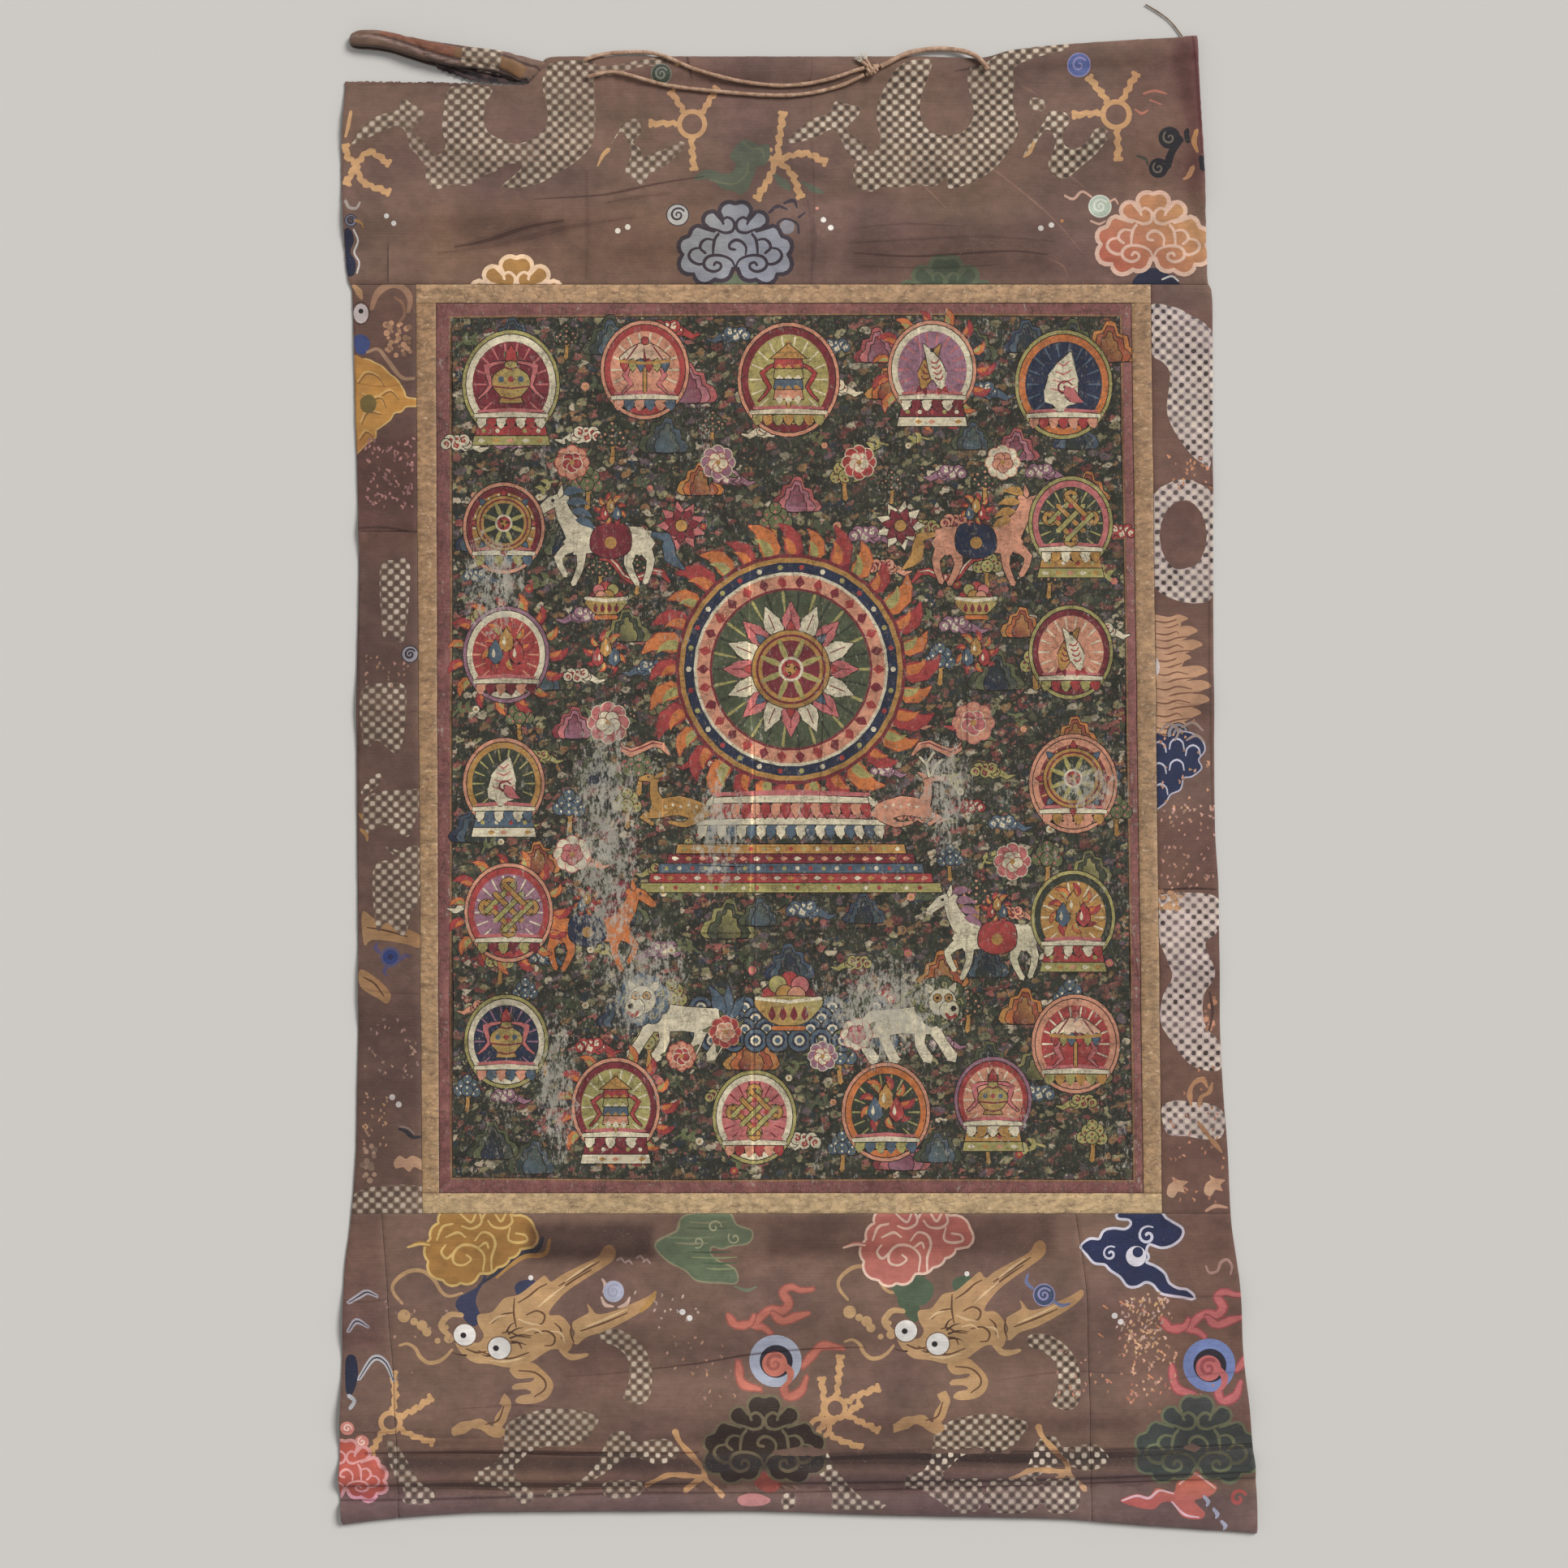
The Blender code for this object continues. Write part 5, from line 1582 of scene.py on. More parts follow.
GREEN_HEAD_CLOUD = [
    (180, 150), (200, 90), (260, 65), (420, 55), (470, 120), (545, 150), (530, 200), (450, 215),
    (400, 230), (350, 220), (340, 260), (380, 300), (460, 340), (470, 400), (400, 400), (280, 390),
    (220, 340), (130, 290), (75, 210),
]
NAVY_CLOUD = [
    (1333, 1536), (1343, 1528), (1355, 1528), (1361, 1518), (1372, 1515), (1387, 1516), (1395, 1509),
    (1392, 1502), (1378, 1500), (1384, 1493), (1424, 1492), (1436, 1502), (1444, 1507), (1456, 1515),
    (1454, 1525), (1444, 1533), (1431, 1536), (1416, 1532), (1411, 1541), (1414, 1549), (1411, 1556),
    (1424, 1562), (1434, 1570), (1439, 1581), (1450, 1588), (1462, 1590), (1470, 1598), (1456, 1596),
    (1442, 1594), (1430, 1591), (1421, 1581), (1411, 1578), (1401, 1583), (1390, 1583), (1381, 1572),
    (1369, 1564), (1362, 1557), (1349, 1555), (1340, 1545),
]
FLAME_STROKES = [
    [(640, 650), (600, 620), (560, 610), (600, 560), (650, 530), (700, 540), (730, 500), (700, 450),
     (740, 425), (790, 440), (850, 435)],
    [(430, 560), (470, 610), (540, 600), (560, 560)],
    [(650, 550), (700, 590), (760, 570), (830, 550)],
    [(480, 800), (500, 900), (590, 930)],
    [(700, 870), (720, 960), (790, 940), (820, 870)],
    [(800, 820), (850, 760), (900, 715), (1000, 730)],
]


def add_flaming_pearl(drawing, place, colour, ring_colour, curl_colour):
    """A ringed pearl with a curl in it and strokes of flame round it."""
    for line in FLAME_STROKES:
        drawing.stroke(place(line), (5.6, 8.6, 7.2, 9.0, 6.8, 4.6), curl_colour, step=3.0)
        drawing.stroke(place(line), (3.0, 5.8, 4.6, 6.2, 4.4, 2.4), colour, step=3.0)
    middle = spot(place, 665, 790)
    add_disc(drawing, middle, 21.5, ring_colour, gloss=0.6)
    add_disc(drawing, middle + (0.6, -0.6), 13.6, (42, 38, 48))
    add_disc(drawing, middle + (-0.6, -2.8), 10.4, colour)
    drawing.stroke(middle + (-0.6, -2.8) + spiral(7.6, 1.2, 0.9, 24), (3.2, 2.6, 2), curl_colour)
    drawing.stroke(middle + np.array([(9, -5), (12.5, -10), (11, -17), (6, -21)]), (5, 6, 4, 2), colour)


def draw_foot_dragons(drawing):
    """The same dragon twice, a little narrower the second time."""
    add_dragon(drawing, foot_left, foot_left, (52, 54, 78), 0.8)
    add_dragon(drawing, window(943, 1487, 4.02), window(969.25, 1475, 4.02, 0.93), (74, 88, 66), 1.0)


def draw_foot_left(drawing):
    """Clouds and pearls of the left part."""
    drawing.stroke(foot_left([(1020, 185), (990, 240), (900, 270), (840, 310), (770, 370), (700, 420)]),
                   (3, 5.6, 4, 1.6), (54, 50, 60))
    drawing.stroke(foot_left([(1055, 190), (1030, 260), (930, 275), (860, 320), (790, 380)]),
                   (2.6, 4.2, 3.4, 1.6), (168, 126, 70))
    add_tailed_cloud(drawing, (583, 1530), (158, 114, 58), (204, 170, 104))
    drawing.fill(
        draft([(1096, 1576), (1126, 1570), (1150, 1584), (1140, 1606), (1112, 1604)]), (78, 92, 70))
    add_tailed_cloud(drawing, (1120, 1530), (182, 106, 94), (224, 190, 170))
    for line in ([(60, 500), (110, 470), (150, 450), (200, 470)], [(60, 640), (100, 590), (160, 620)],
                 [(110, 880), (180, 780), (240, 800), (280, 890)]):
        drawing.stroke(foot_left(line), (3.4, 5.2, 2.4), SILVER)
        drawing.stroke(foot_left(line), (0.6, 1.4, 0.6), INK)
    drawing.fill(foot_left([(44, 780), (90, 770), (104, 860), (80, 950), (46, 940)]), NAVY)
    drawing.stroke(foot_left([(60, 960), (90, 985), (70, 1020)]), 3.2, SILVER)
    add_lobed_scroll(drawing, foot_left, [(55, 1120), (125, 1190)], 34, (206, 132, 120))
    add_cloud(
        drawing, (426, 1812), (160, 74, 64), (212, 150, 146), end=(190, 92, 76), scale=0.74, border=2.6)
    add_strokes(
        drawing, draft, [[(742, 1576), (746, 1584), (743, 1592)], [(741, 1598), (746, 1607), (756, 1609)],
        [(762, 1610), (772, 1606), (776, 1598)]], (1.6, 3.4, 1.4), (196, 166, 148))
    add_disc(drawing, spot(draft, 756, 1591), 8.6, (166, 166, 180))
    drawing.stroke(spot(draft, 756, 1591) + spiral(6.0, 1.4, 0.8), (0.8, 1.4, 0.8), (146, 146, 164))
    for x, y in ((760, 1553), (770, 1556), (784, 1550), (792, 1555)):
        drawing.stroke(draft([(x, y), (x + 5, y - 3), (x + 9, y + 2)]), (1.2, 2.4, 1.0), (168, 142, 132))


def draw_foot_middle(drawing):
    """The striped cloud, the two flaming pearls, the claw and the branching scrolls."""
    drawing.stroke(foot_middle(GREEN_HEAD_CLOUD + GREEN_HEAD_CLOUD[:1]), 3.0, (134, 128, 100))
    drawing.fill(foot_middle(GREEN_HEAD_CLOUD), (94, 104, 80))
    for left, right, y, colour in (
            (850, 896, 1506, (124, 122, 94)), (846, 900, 1513, (76, 86, 64)), (820, 880, 1524,
            (112, 124, 92)), (832, 872, 1531, (134, 128, 100)), (846, 902, 1542, (72, 84, 62)), (852, 908,
            1549, (128, 136, 98)), (864, 908, 1556, (76, 92, 66)), (870, 906, 1563, (134, 140, 102))):
        drawing.stroke(
            draft([(left, y), ((left + right) / 2, y + 1), (right, y)]), (0.8, 1.8, 0.8), colour)
    for x, y, reach in ((880, 1512, 6.0), (860, 1530, 5.0), (905, 1525, 5.5)):
        drawing.stroke(spot(draft, x, y) + spiral(reach, 1.1, x * 0.1), (1.0, 1.6, 1.0), (150, 150, 118))
    drawing.stroke(foot_middle([(460, 420), (520, 440), (570, 425)]), (1.2, 3.2, 1.4), (112, 116, 92))
    add_flaming_pearl(drawing, foot_middle, (184, 108, 90), (160, 164, 176), (152, 86, 74))
    add_flaming_pearl(
        drawing, window(1324.6, 1485, 4.02), (194, 112, 110), (118, 138, 188), (158, 82, 84))
    add_claw(
        drawing, foot_middle, (960, 1020), [[(975, 900), (985, 780)], [(1070, 960), (1165, 925)],
        [(1070, 1080), (1165, 1125)], [(900, 1100), (865, 1170)]], ring=50, size=1.3)
    for line in ([(170, 1140), (190, 1190), (260, 1270), (310, 1320), (320, 1370), (400, 1450)],
                 [(310, 1360), (220, 1350), (130, 1350), (30, 1400)], [(290, 1370), (220, 1430)]):
        for route in (
                foot_middle(line), foot_middle([(x + 380, y - 25) for x, y in line]) + (235.0, 0.0)):
            drawing.stroke(route, (5.4, 3.4, 5.6, 3.6, 5.0, 3.2, 4.6), TAN, step=3.0)
            add_disc(drawing, route[0], 2.9, TAN)
    drawing.stroke(foot_middle([(70, 450), (40, 500), (0, 540)]), (2.4, 5, 3), (166, 126, 70))
    add_dots(drawing, foot_middle, [(205, 545), (240, 575)], 2.6, WHITE)
    drawing.fill(foot_middle([(560, 1400), (600, 1330), (650, 1370), (700, 1400), (640, 1440)]),
                 (150, 76, 66))
    drawing.fill(foot_middle([(480, 1460), (560, 1440), (640, 1470), (600, 1500), (500, 1500)]), PINK)
    for outline in ([(700, 1450), (760, 1445), (762, 1500), (704, 1520)],
                    [(950, 1480), (1080, 1476), (1190, 1480), (1190, 1516), (960, 1520)]):
        add_scales(drawing, foot_middle, outline, 0.9)


# Loose threads: a box on the draft, how many, their colour and the seed that scatters them.
FOOT_FLECKS = [
    ((1385, 1590, 1432, 1668), 70, (190, 150, 108), 4),
    ((1392, 1620, 1450, 1716), 60, (186, 144, 112), 12),
    ((1376, 1596, 1440, 1650), 44, (190, 158, 138), 9),
    ((780, 1590, 860, 1640), 14, (190, 160, 140), 10),
    ((1300, 1640, 1400, 1720), 30, (178, 122, 96), 5),
    ((1385, 1700, 1500, 1760), 26, (170, 112, 84), 6),
    ((820, 1640, 905, 1730), 26, (166, 122, 96), 7),
    ((470, 1600, 560, 1700), 16, (160, 122, 100), 8),
]


def draw_foot_right(drawing):
    """The navy cloud, the pearls, the red scroll and the scales over the hem."""
    drawing.stroke(draft(NAVY_CLOUD + NAVY_CLOUD[:1]), 4.4, (196, 192, 202))
    drawing.fill(draft(NAVY_CLOUD), (34, 40, 72))
    for place, reach, width in (((1414, 1523), 8.4, 2.4), ((1368, 1545), 6.6, 2.0)):
        drawing.stroke(
            spot(draft, *place) + spiral(reach, 1.25, 1.0), (1.2, width, width), (190, 188, 200))
    add_disc(drawing, spot(draft, 1400, 1548), 8.4, (204, 200, 206))
    add_disc(drawing, spot(draft, 1402, 1543), 4.4, (34, 40, 72))
    add_ball(drawing, spot(foot_right, 455, 450), 8.2, (58, 70, 96), (140, 136, 170))
    add_strokes(
        drawing, foot_right, [[(400, 420), (370, 390), (380, 350)], [(500, 480), (540, 500), (580, 490)]],
        (2.4, 3.2, 1.4), (104, 110, 140))
    add_dots(drawing, foot_right, [(795, 550), (825, 580)], 2.6, WHITE)
    for x, y in ((740, 500), (820, 480), (930, 520), (1000, 600), (1010, 720), (960, 840), (760, 860),
                 (720, 640)):
        drawing.stroke(foot_right([(x, y), (x + 22, y + 16)]), (1.6, 2.2, 1.0), (192, 128, 92))
    drawing.fill(
        foot_right([(820, 1440), (900, 1410), (960, 1420), (1000, 1385), (1080, 1400), (1100, 1360),
        (1180, 1300), (1250, 1350), (1290, 1380), (1250, 1420), (1180, 1440), (1230, 1500), (1200, 1530),
        (1120, 1515), (1070, 1450), (1020, 1450), (980, 1480), (900, 1470)]), (178, 84, 74),
        end=(196, 112, 90))
    add_strokes(drawing, foot_right, [[(830, 1440), (900, 1418), (960, 1428), (1010, 1395), (1080, 1408)],
                 [(1110, 1368), (1180, 1312), (1250, 1360), (1280, 1382)],
                 [(1070, 1445), (1130, 1505), (1200, 1520)]], (1.4, 2.2, 1.2), (224, 178, 170))
    for x, y in ((1225, 1420), (1270, 1480), (1310, 1540)):
        drawing.stroke(foot_right([(x, y), (x + 20, y + 24), (x + 12, y + 44)]), (2.6, 3.8, 1.6), SILVER)
    drawing.stroke(spot(foot_right, 1390, 1430) + spiral(7, 1.1, 0.5), (2.4, 3.4, 1.8), (178, 84, 74))
    drawing.stroke(
        draft([(1486, 1560), (1490, 1568), (1500, 1566), (1504, 1556), (1512, 1552), (1518, 1560),
        (1516, 1570)]), (1.6, 2.8, 1.6), (164, 132, 122))
    for left, right in ((0, 150), (190, 420), (460, 620)):
        add_scales(
            drawing, foot_right, [(left, 1350), ((left + right) / 2, 1338), (right, 1345),
            (right - 10, 1480), (left + 14, 1490)], 0.95)
    for box, count, colour, seed in FOOT_FLECKS:
        add_flecks(drawing, box, count, colour, seed)
    add_small_cloud(drawing, (941.7, 1773.5), 1.08, (54, 41, 34), (112, 100, 76))
    add_small_cloud(drawing, (1473.6, 1773.4), 1.08, (64, 70, 66), (108, 112, 84))


def bottom_drawing():
    """The bottom panel, one layer over another."""
    drawing = Drawing(brocade_ground, brocade_tone)
    for draw in (draw_foot_dragons, draw_foot_left, draw_foot_middle, draw_foot_right):
        draw(drawing)
    add_creases(drawing, FOOT_CREASES)
    return drawing


def add_small_cloud(drawing, centre, scale, colour, line_colour):
    """A cloud head with a thin line round it."""
    add_cloud(drawing, centre, colour, line_colour, scale=scale, border=1.4)


def add_lobed_scroll(drawing, place, centres, radius, colour):
    """A run of curls."""
    for i, centre in enumerate(centres):
        middle = spot(place, *centre)
        add_disc(drawing, middle, radius * 0.17, colour)
        drawing.stroke(middle + spiral(radius * 0.11, 1.2, i * 1.7), (1, 1.4, 1), (236, 204, 190))


# ---------------------------------------------------------------- the side panels

# The tongues of the flame-like mane: the middle of each, how far it reaches and its half height.
MANE_TONGUES = [
    (764, 1464, 7), (779, 1476, 8), (796, 1482, 8), (812, 1468, 8), (829, 1488, 9), (847, 1492, 9),
    (864, 1490, 9), (880, 1480, 8), (895, 1464, 7),
]
SIDE_NAVY_CLOUD = [
    (1414, 912), (1424, 904), (1440, 908), (1452, 902), (1468, 904), (1480, 912), (1484, 924),
    (1476, 936), (1480, 946), (1468, 956), (1458, 958), (1454, 972), (1442, 978), (1436, 988),
    (1426, 996), (1414, 1006),
]
GOLD_CLOUD = [
    (430, 446), (450, 443), (462, 448), (470, 452), (480, 462), (488, 468), (497, 482), (500, 490),
    (514, 493), (514, 499), (500, 500), (494, 506), (485, 508), (480, 516), (470, 524), (462, 530),
    (462, 538), (452, 545), (430, 554),
]
SIDE_SCALES_LEFT_LOW = [
    [(180, 190), (250, 90), (310, 70), (300, 130), (220, 200)],
    [(280, 190), (370, 200), (500, 170), (565, 180), (560, 310), (480, 300), (420, 390), (370, 400),
     (280, 340)],
    [(340, 540), (440, 570), (490, 540), (565, 560), (565, 840), (520, 940), (450, 1000), (290, 1000),
     (300, 900), (400, 840), (440, 740), (430, 640)],
]
SIDE_SCALES_RIGHT_HIGH = [
    (135, 200), (300, 200), (400, 250), (510, 320), (545, 450), (540, 1180), (470, 1200), (400, 1140),
    (330, 1050), (270, 940), (250, 840), (270, 640), (230, 560), (140, 480),
]
SIDE_SCALES_RIGHT_LOW = [
    [(1426, 1104), (1497, 1104), (1501, 1145), (1485, 1163), (1497, 1199), (1483, 1227), (1485, 1263),
     (1503, 1286), (1503, 1318), (1469, 1313), (1446, 1286), (1430, 1259), (1433, 1227), (1444, 1204),
     (1437, 1181), (1428, 1158), (1424, 1131)],
    [(1433, 1362), (1450, 1356), (1470, 1358), (1490, 1360), (1508, 1372), (1506, 1400), (1486, 1404),
     (1462, 1400), (1440, 1398), (1432, 1380)],
]


def draw_left_high(drawing):
    """The upper left side: worn horns, a dragon's eye, a mane and a gold cloud."""
    place = left_high
    drawing.stroke(
        draft([(458, 380), (462, 366), (470, 356), (484, 351), (498, 356), (505, 368), (503, 384)]),
        (3.4, 6.2, 4.6, 5.4, 3.0), (170, 134, 104))
    drawing.stroke(
        draft([(486, 366), (496, 374), (498, 388), (490, 398)]), (1.6, 3.0, 1.6), (150, 114, 88))
    add_beads(drawing, (474, 396, 508, 438), 40, (196, 156, 118), 21)
    drawing.fill(place(ring_points(60, 12, 1.3) + (180, 240)), (96, 72, 60))
    drawing.fill(place(ring_points(48, 12, 1.35) + (180, 240)), WHITE)
    add_disc(drawing, spot(place, 180, 225), 2.2, (36, 32, 34))
    drawing.stroke(place([(130, 60), (160, 90), (185, 145)]), (3, 6, 2.4), GOLD_FACE)
    drawing.fill(place([(140, 390), (200, 380), (240, 430), (210, 500), (150, 490)]), (68, 86, 138))
    drawing.stroke(place([(220, 490), (290, 470), (350, 540), (440, 650), (520, 660)]), (2.2, 3.6, 2.6),
                   (176, 146, 114))
    drawing.stroke(draft(GOLD_CLOUD + GOLD_CLOUD[:1]), 2.6, (226, 196, 120))
    drawing.fill(draft(GOLD_CLOUD), (214, 166, 84), end=(198, 146, 70))
    for line in ([(440, 470), (450, 458), (464, 462), (472, 474)], [(444, 520), (452, 506), (468, 508)],
                 [(468, 486), (480, 480), (490, 490)], [(442, 540), (450, 530), (458, 536)],
                 [(446, 484), (456, 490), (468, 488), (474, 500)]):
        drawing.stroke(draft(line), (1.2, 2.0, 1.2), (230, 192, 116))
        drawing.stroke(draft([(x + 1.5, y + 2.5) for x, y in line]), (0.8, 1.4, 0.8), (150, 112, 60))
    drawing.fill(draft([(444, 492), (456, 486), (464, 496), (458, 508), (446, 506)]), (126, 112, 60))


def draw_left_low(drawing):
    """The lower left side: scales, two horns, a blue flower, and what is left of more dragons."""
    place = left_low
    for outline in SIDE_SCALES_LEFT_LOW:
        add_scales(drawing, place, outline, 0.8)
    add_strokes(
        drawing, place, [[(170, 330), (210, 370), (240, 400)], [(180, 430), (215, 460), (220, 500)]],
        (2.4, 4.0, 1.6), (176, 136, 86))
    horns = ([(190, 960), (280, 1010), (450, 1060), (560, 1110), (560, 1190), (480, 1170), (380, 1150),
              (250, 1140), (200, 1170)],
             [(180, 1330), (300, 1400), (375, 1490), (350, 1550), (300, 1520), (180, 1440)])
    for horn in horns:
        drawing.fill(place(horn), GOLD_FACE, end=(160, 116, 70), gloss=0.7)
    add_strokes(
        drawing, place, [[(220, 1060), (340, 1080), (480, 1120)], [(200, 1380), (270, 1420),
        (330, 1500)]], (1, 1.8, 1), FACE_LINE)
    middle = spot(place, 370, 1250)
    add_strokes(
        drawing, place, [[(300, 1220), (270, 1190), (290, 1160)], [(430, 1270), (470, 1240), (500, 1250)],
        [(350, 1310), (330, 1340), (350, 1370)]], (3, 3.6, 1.4), (92, 82, 116))
    add_disc(drawing, middle, 8.4, (92, 88, 116))
    add_disc(drawing, middle, 6.2, (50, 66, 122))
    add_disc(drawing, middle, 2.4, (40, 46, 80))
    for left, top, right, bottom in (
            (468, 690, 505, 790), (445, 842, 500, 926), (448, 974, 512, 1030), (460, 1060, 508, 1150),
            (436, 1460, 530, 1512)):
        waist = (left + right) / 2
        add_scales(
            drawing, draft, [(left, top + 12), (waist, top), (right, top + 8), (right - 8, bottom),
            (waist - 8, bottom - 14), (left + 4, bottom - 4)], 0.75)
    add_ball(drawing, spot(draft, 505, 806), 6.4, (168, 166, 170), INK)
    add_dots(drawing, draft, [(483, 1352), (491, 1361)], 2.6, WHITE)
    drawing.stroke(draft([(491, 1391), (500, 1394), (508, 1401), (518, 1401)]), (2, 4.0, 2), (52, 48, 54))
    drawing.stroke(draft([(492, 1388), (502, 1390), (510, 1397)]), (0.8, 1.6, 0.8), (150, 132, 122))
    drawing.fill(
        draft([(485, 1432), (492, 1424), (500, 1428), (508, 1424), (520, 1430), (520, 1442), (510, 1438),
        (504, 1444), (496, 1438), (488, 1440)]), (196, 156, 124))
    add_beads(drawing, (446, 1410, 462, 1458), 16, (176, 146, 122), 22)


def draw_right_high(drawing):
    """The upper right side: a long pale body, and the tongues of a mane."""
    add_scales(drawing, right_high, SIDE_SCALES_RIGHT_HIGH, 1.1, PALE_SCALES)
    ring = np.concatenate((ring_points(42, 18, 1.35), ring_points(42, 18, 1.35)[:1])) + (1458, 660)
    drawing.shapes.append(Shape(draft(ring), PALE_SCALES, widths=17.0, lattice=1.1))
    add_scales(
        drawing, right_middle, [(160, 290), (330, 320), (540, 290), (540, 500), (420, 540), (260, 500),
        (160, 420)], 1.1, PALE_SCALES)
    place = right_middle
    for y, tip, half in MANE_TONGUES:
        tongue = [(1414, y - half), (1440, y - half + 3), (tip - 12, y - half), (tip, y - 2),
                  (tip - 9, y + 3), (1452, y + half + 3), (1414, y + half + 3)]
        drawing.fill(draft(tongue), (200, 164, 130), end=(184, 144, 110))
        for drop, reach in ((half, 12), (0, 24)):
            drawing.stroke(
                draft([(1418, y + drop), (1436, y + drop + 3), (1450, y + drop - 1),
                (tip - reach, y + drop * 0.4 + 2)]), (0.8, 1.6, 0.8), (128, 90, 68))
    drawing.fill(place(ring_points(28, 12, 2.1) + (175, 950)), WHITE)
    add_ball(drawing, spot(place, 320, 1380), 8.4, (138, 134, 138), INK)


def draw_right_low(drawing):
    """The lower right side: a navy cloud, pale scales and the scrolls below them."""
    drawing.stroke(draft(SIDE_NAVY_CLOUD[3:]), 2.4, (176, 172, 184))
    drawing.fill(draft(SIDE_NAVY_CLOUD), (38, 44, 72))
    for x, y in ((1428, 922), (1450, 918), (1470, 926), (1428, 948), (1450, 944), (1430, 974)):
        drawing.stroke(
            draft([(x - 9, y + 5), (x - 7, y - 4), (x, y - 8), (x + 7, y - 4), (x + 9, y + 5)]),
            (1.0, 1.7, 1.0), (184, 180, 192))
    add_strokes(
        drawing, draft, [[(1428, 902), (1440, 892), (1452, 900), (1448, 912)], [(1456, 896), (1470, 890),
        (1482, 900)], [(1462, 912), (1474, 906), (1484, 914)]], (1.4, 2.8, 1.4), (150, 132, 122))
    for outline in SIDE_SCALES_RIGHT_LOW:
        add_scales(drawing, draft, outline, 1.1, PALE_SCALES)
    add_beads(drawing, (1426, 1096, 1456, 1120), 26, (196, 158, 116), 23)
    add_beads(drawing, (1484, 1222, 1498, 1270), 12, (190, 142, 112), 24)
    drawing.stroke(draft([(1490, 1222), (1494, 1246), (1490, 1270)]), (1.6, 3.0, 1.6), (84, 62, 56))
    for line, width in (
            ([(1468, 1362), (1466, 1346), (1472, 1334), (1482, 1330), (1488, 1340)], 5.0), ([(1478, 1364),
            (1480, 1352), (1490, 1346), (1494, 1334)], 4.0), ([(1476, 1382), (1486, 1396), (1496, 1408),
            (1506, 1420)], 4.6)):
        drawing.stroke(draft(line), (1.8, width, width * 0.6, width, 1.4), (176, 136, 100), step=3.0)
    for x, y in ((1438, 1450), (1484, 1448)):
        bit = [(x, y + 22), (x + 2, y + 10), (x + 8, y + 6), (x + 6, y), (x + 14, y + 4), (x + 26, y + 6),
               (x + 20, y + 12), (x + 22, y + 20), (x + 14, y + 18), (x + 8, y + 26)]
        drawing.fill(draft(bit), (200, 168, 136), end=(184, 146, 116))
    drawing.stroke(draft([(1486, 1492), (1498, 1486), (1512, 1488)]), (2, 3.6, 1.6), (196, 158, 130))


SIDE_FLECKS = [
    ((1436, 560, 1490, 600), 24, (190, 132, 92), 11),
    ((1428, 880, 1490, 1000), 26, (184, 134, 98), 12),
    ((1430, 990, 1498, 1100), 70, (190, 146, 120), 13),
    ((1440, 1300, 1510, 1480), 40, (186, 130, 96), 14),
    ((450, 538, 510, 624), 90, (206, 160, 140), 15),
    ((450, 800, 510, 845), 20, (186, 142, 112), 16),
    ((444, 1240, 516, 1330), 34, (176, 140, 116), 17),
    ((444, 1335, 476, 1410), 30, (196, 150, 110), 18),
]
SIDE_CREASES = [
    Crease([(430, 470), (470, 476), (512, 470)], 1.3, FAINT),
    Crease([(430, 652), (470, 650), (514, 656)], 1.6, SHADE),
    Crease([(436, 870), (480, 878), (514, 876)], 1.5, FAINT),
    Crease([(436, 1215), (470, 1222), (516, 1224)], 1.5, FAINT),
    Crease([(1424, 600), (1460, 594), (1494, 598)], 1.4, FAINT),
    Crease([(1424, 858), (1460, 868), (1496, 868)], 1.5, FAINT),
    Crease([(1430, 1098), (1466, 1094), (1500, 1096)], 1.4, SHADE),
    Crease([(1430, 1190), (1470, 1196), (1502, 1200)], 1.4, FAINT),
    Crease([(1434, 1400), (1474, 1396), (1510, 1400)], 1.4, FAINT),
    Crease([(1489, 420), (1492, 600), (1490, 800), (1494, 1000)], 1.6, (0.78, 0.72, 0.72)),
    Crease([(437, 400), (440, 640), (442, 900), (440, 1200)], 1.6, FAINT),
]


def side_drawing():
    """Both side panels, one layer over another."""
    drawing = Drawing(brocade_ground, brocade_tone)
    for draw in (draw_left_high, draw_left_low, draw_right_high, draw_right_low):
        draw(drawing)
    for box, count, colour, seed in SIDE_FLECKS:
        add_flecks(drawing, box, count, colour, seed)
    add_creases(drawing, SIDE_CREASES)
    return drawing


# ---------------------------------------------------------------- the painting: brushwork

LINE = (40, 34, 32)
DEEP_GREEN = (54, 58, 48)
GREEN = (74, 80, 60)
LEAF_GREEN = (98, 102, 70)
MAROON = (112, 46, 52)
RED = (152, 62, 60)
ROSE = (178, 102, 100)
MAUVE = (142, 102, 116)
SALMON = (192, 134, 108)
FLAME = (184, 108, 62)
OCHRE = (166, 124, 70)
OLIVE = (154, 144, 90)
CREAM = (202, 190, 162)
NIGHT = (42, 48, 66)
SLATE = (78, 92, 104)
BORDER_RED = (127, 82, 78)
LEAF_WIDTHS = np.array([0.4, 1.0, 0.9, 0.5, 0.08])
# How wide the dark line is that runs round a motif.
LINE_WIDTH = 0.75


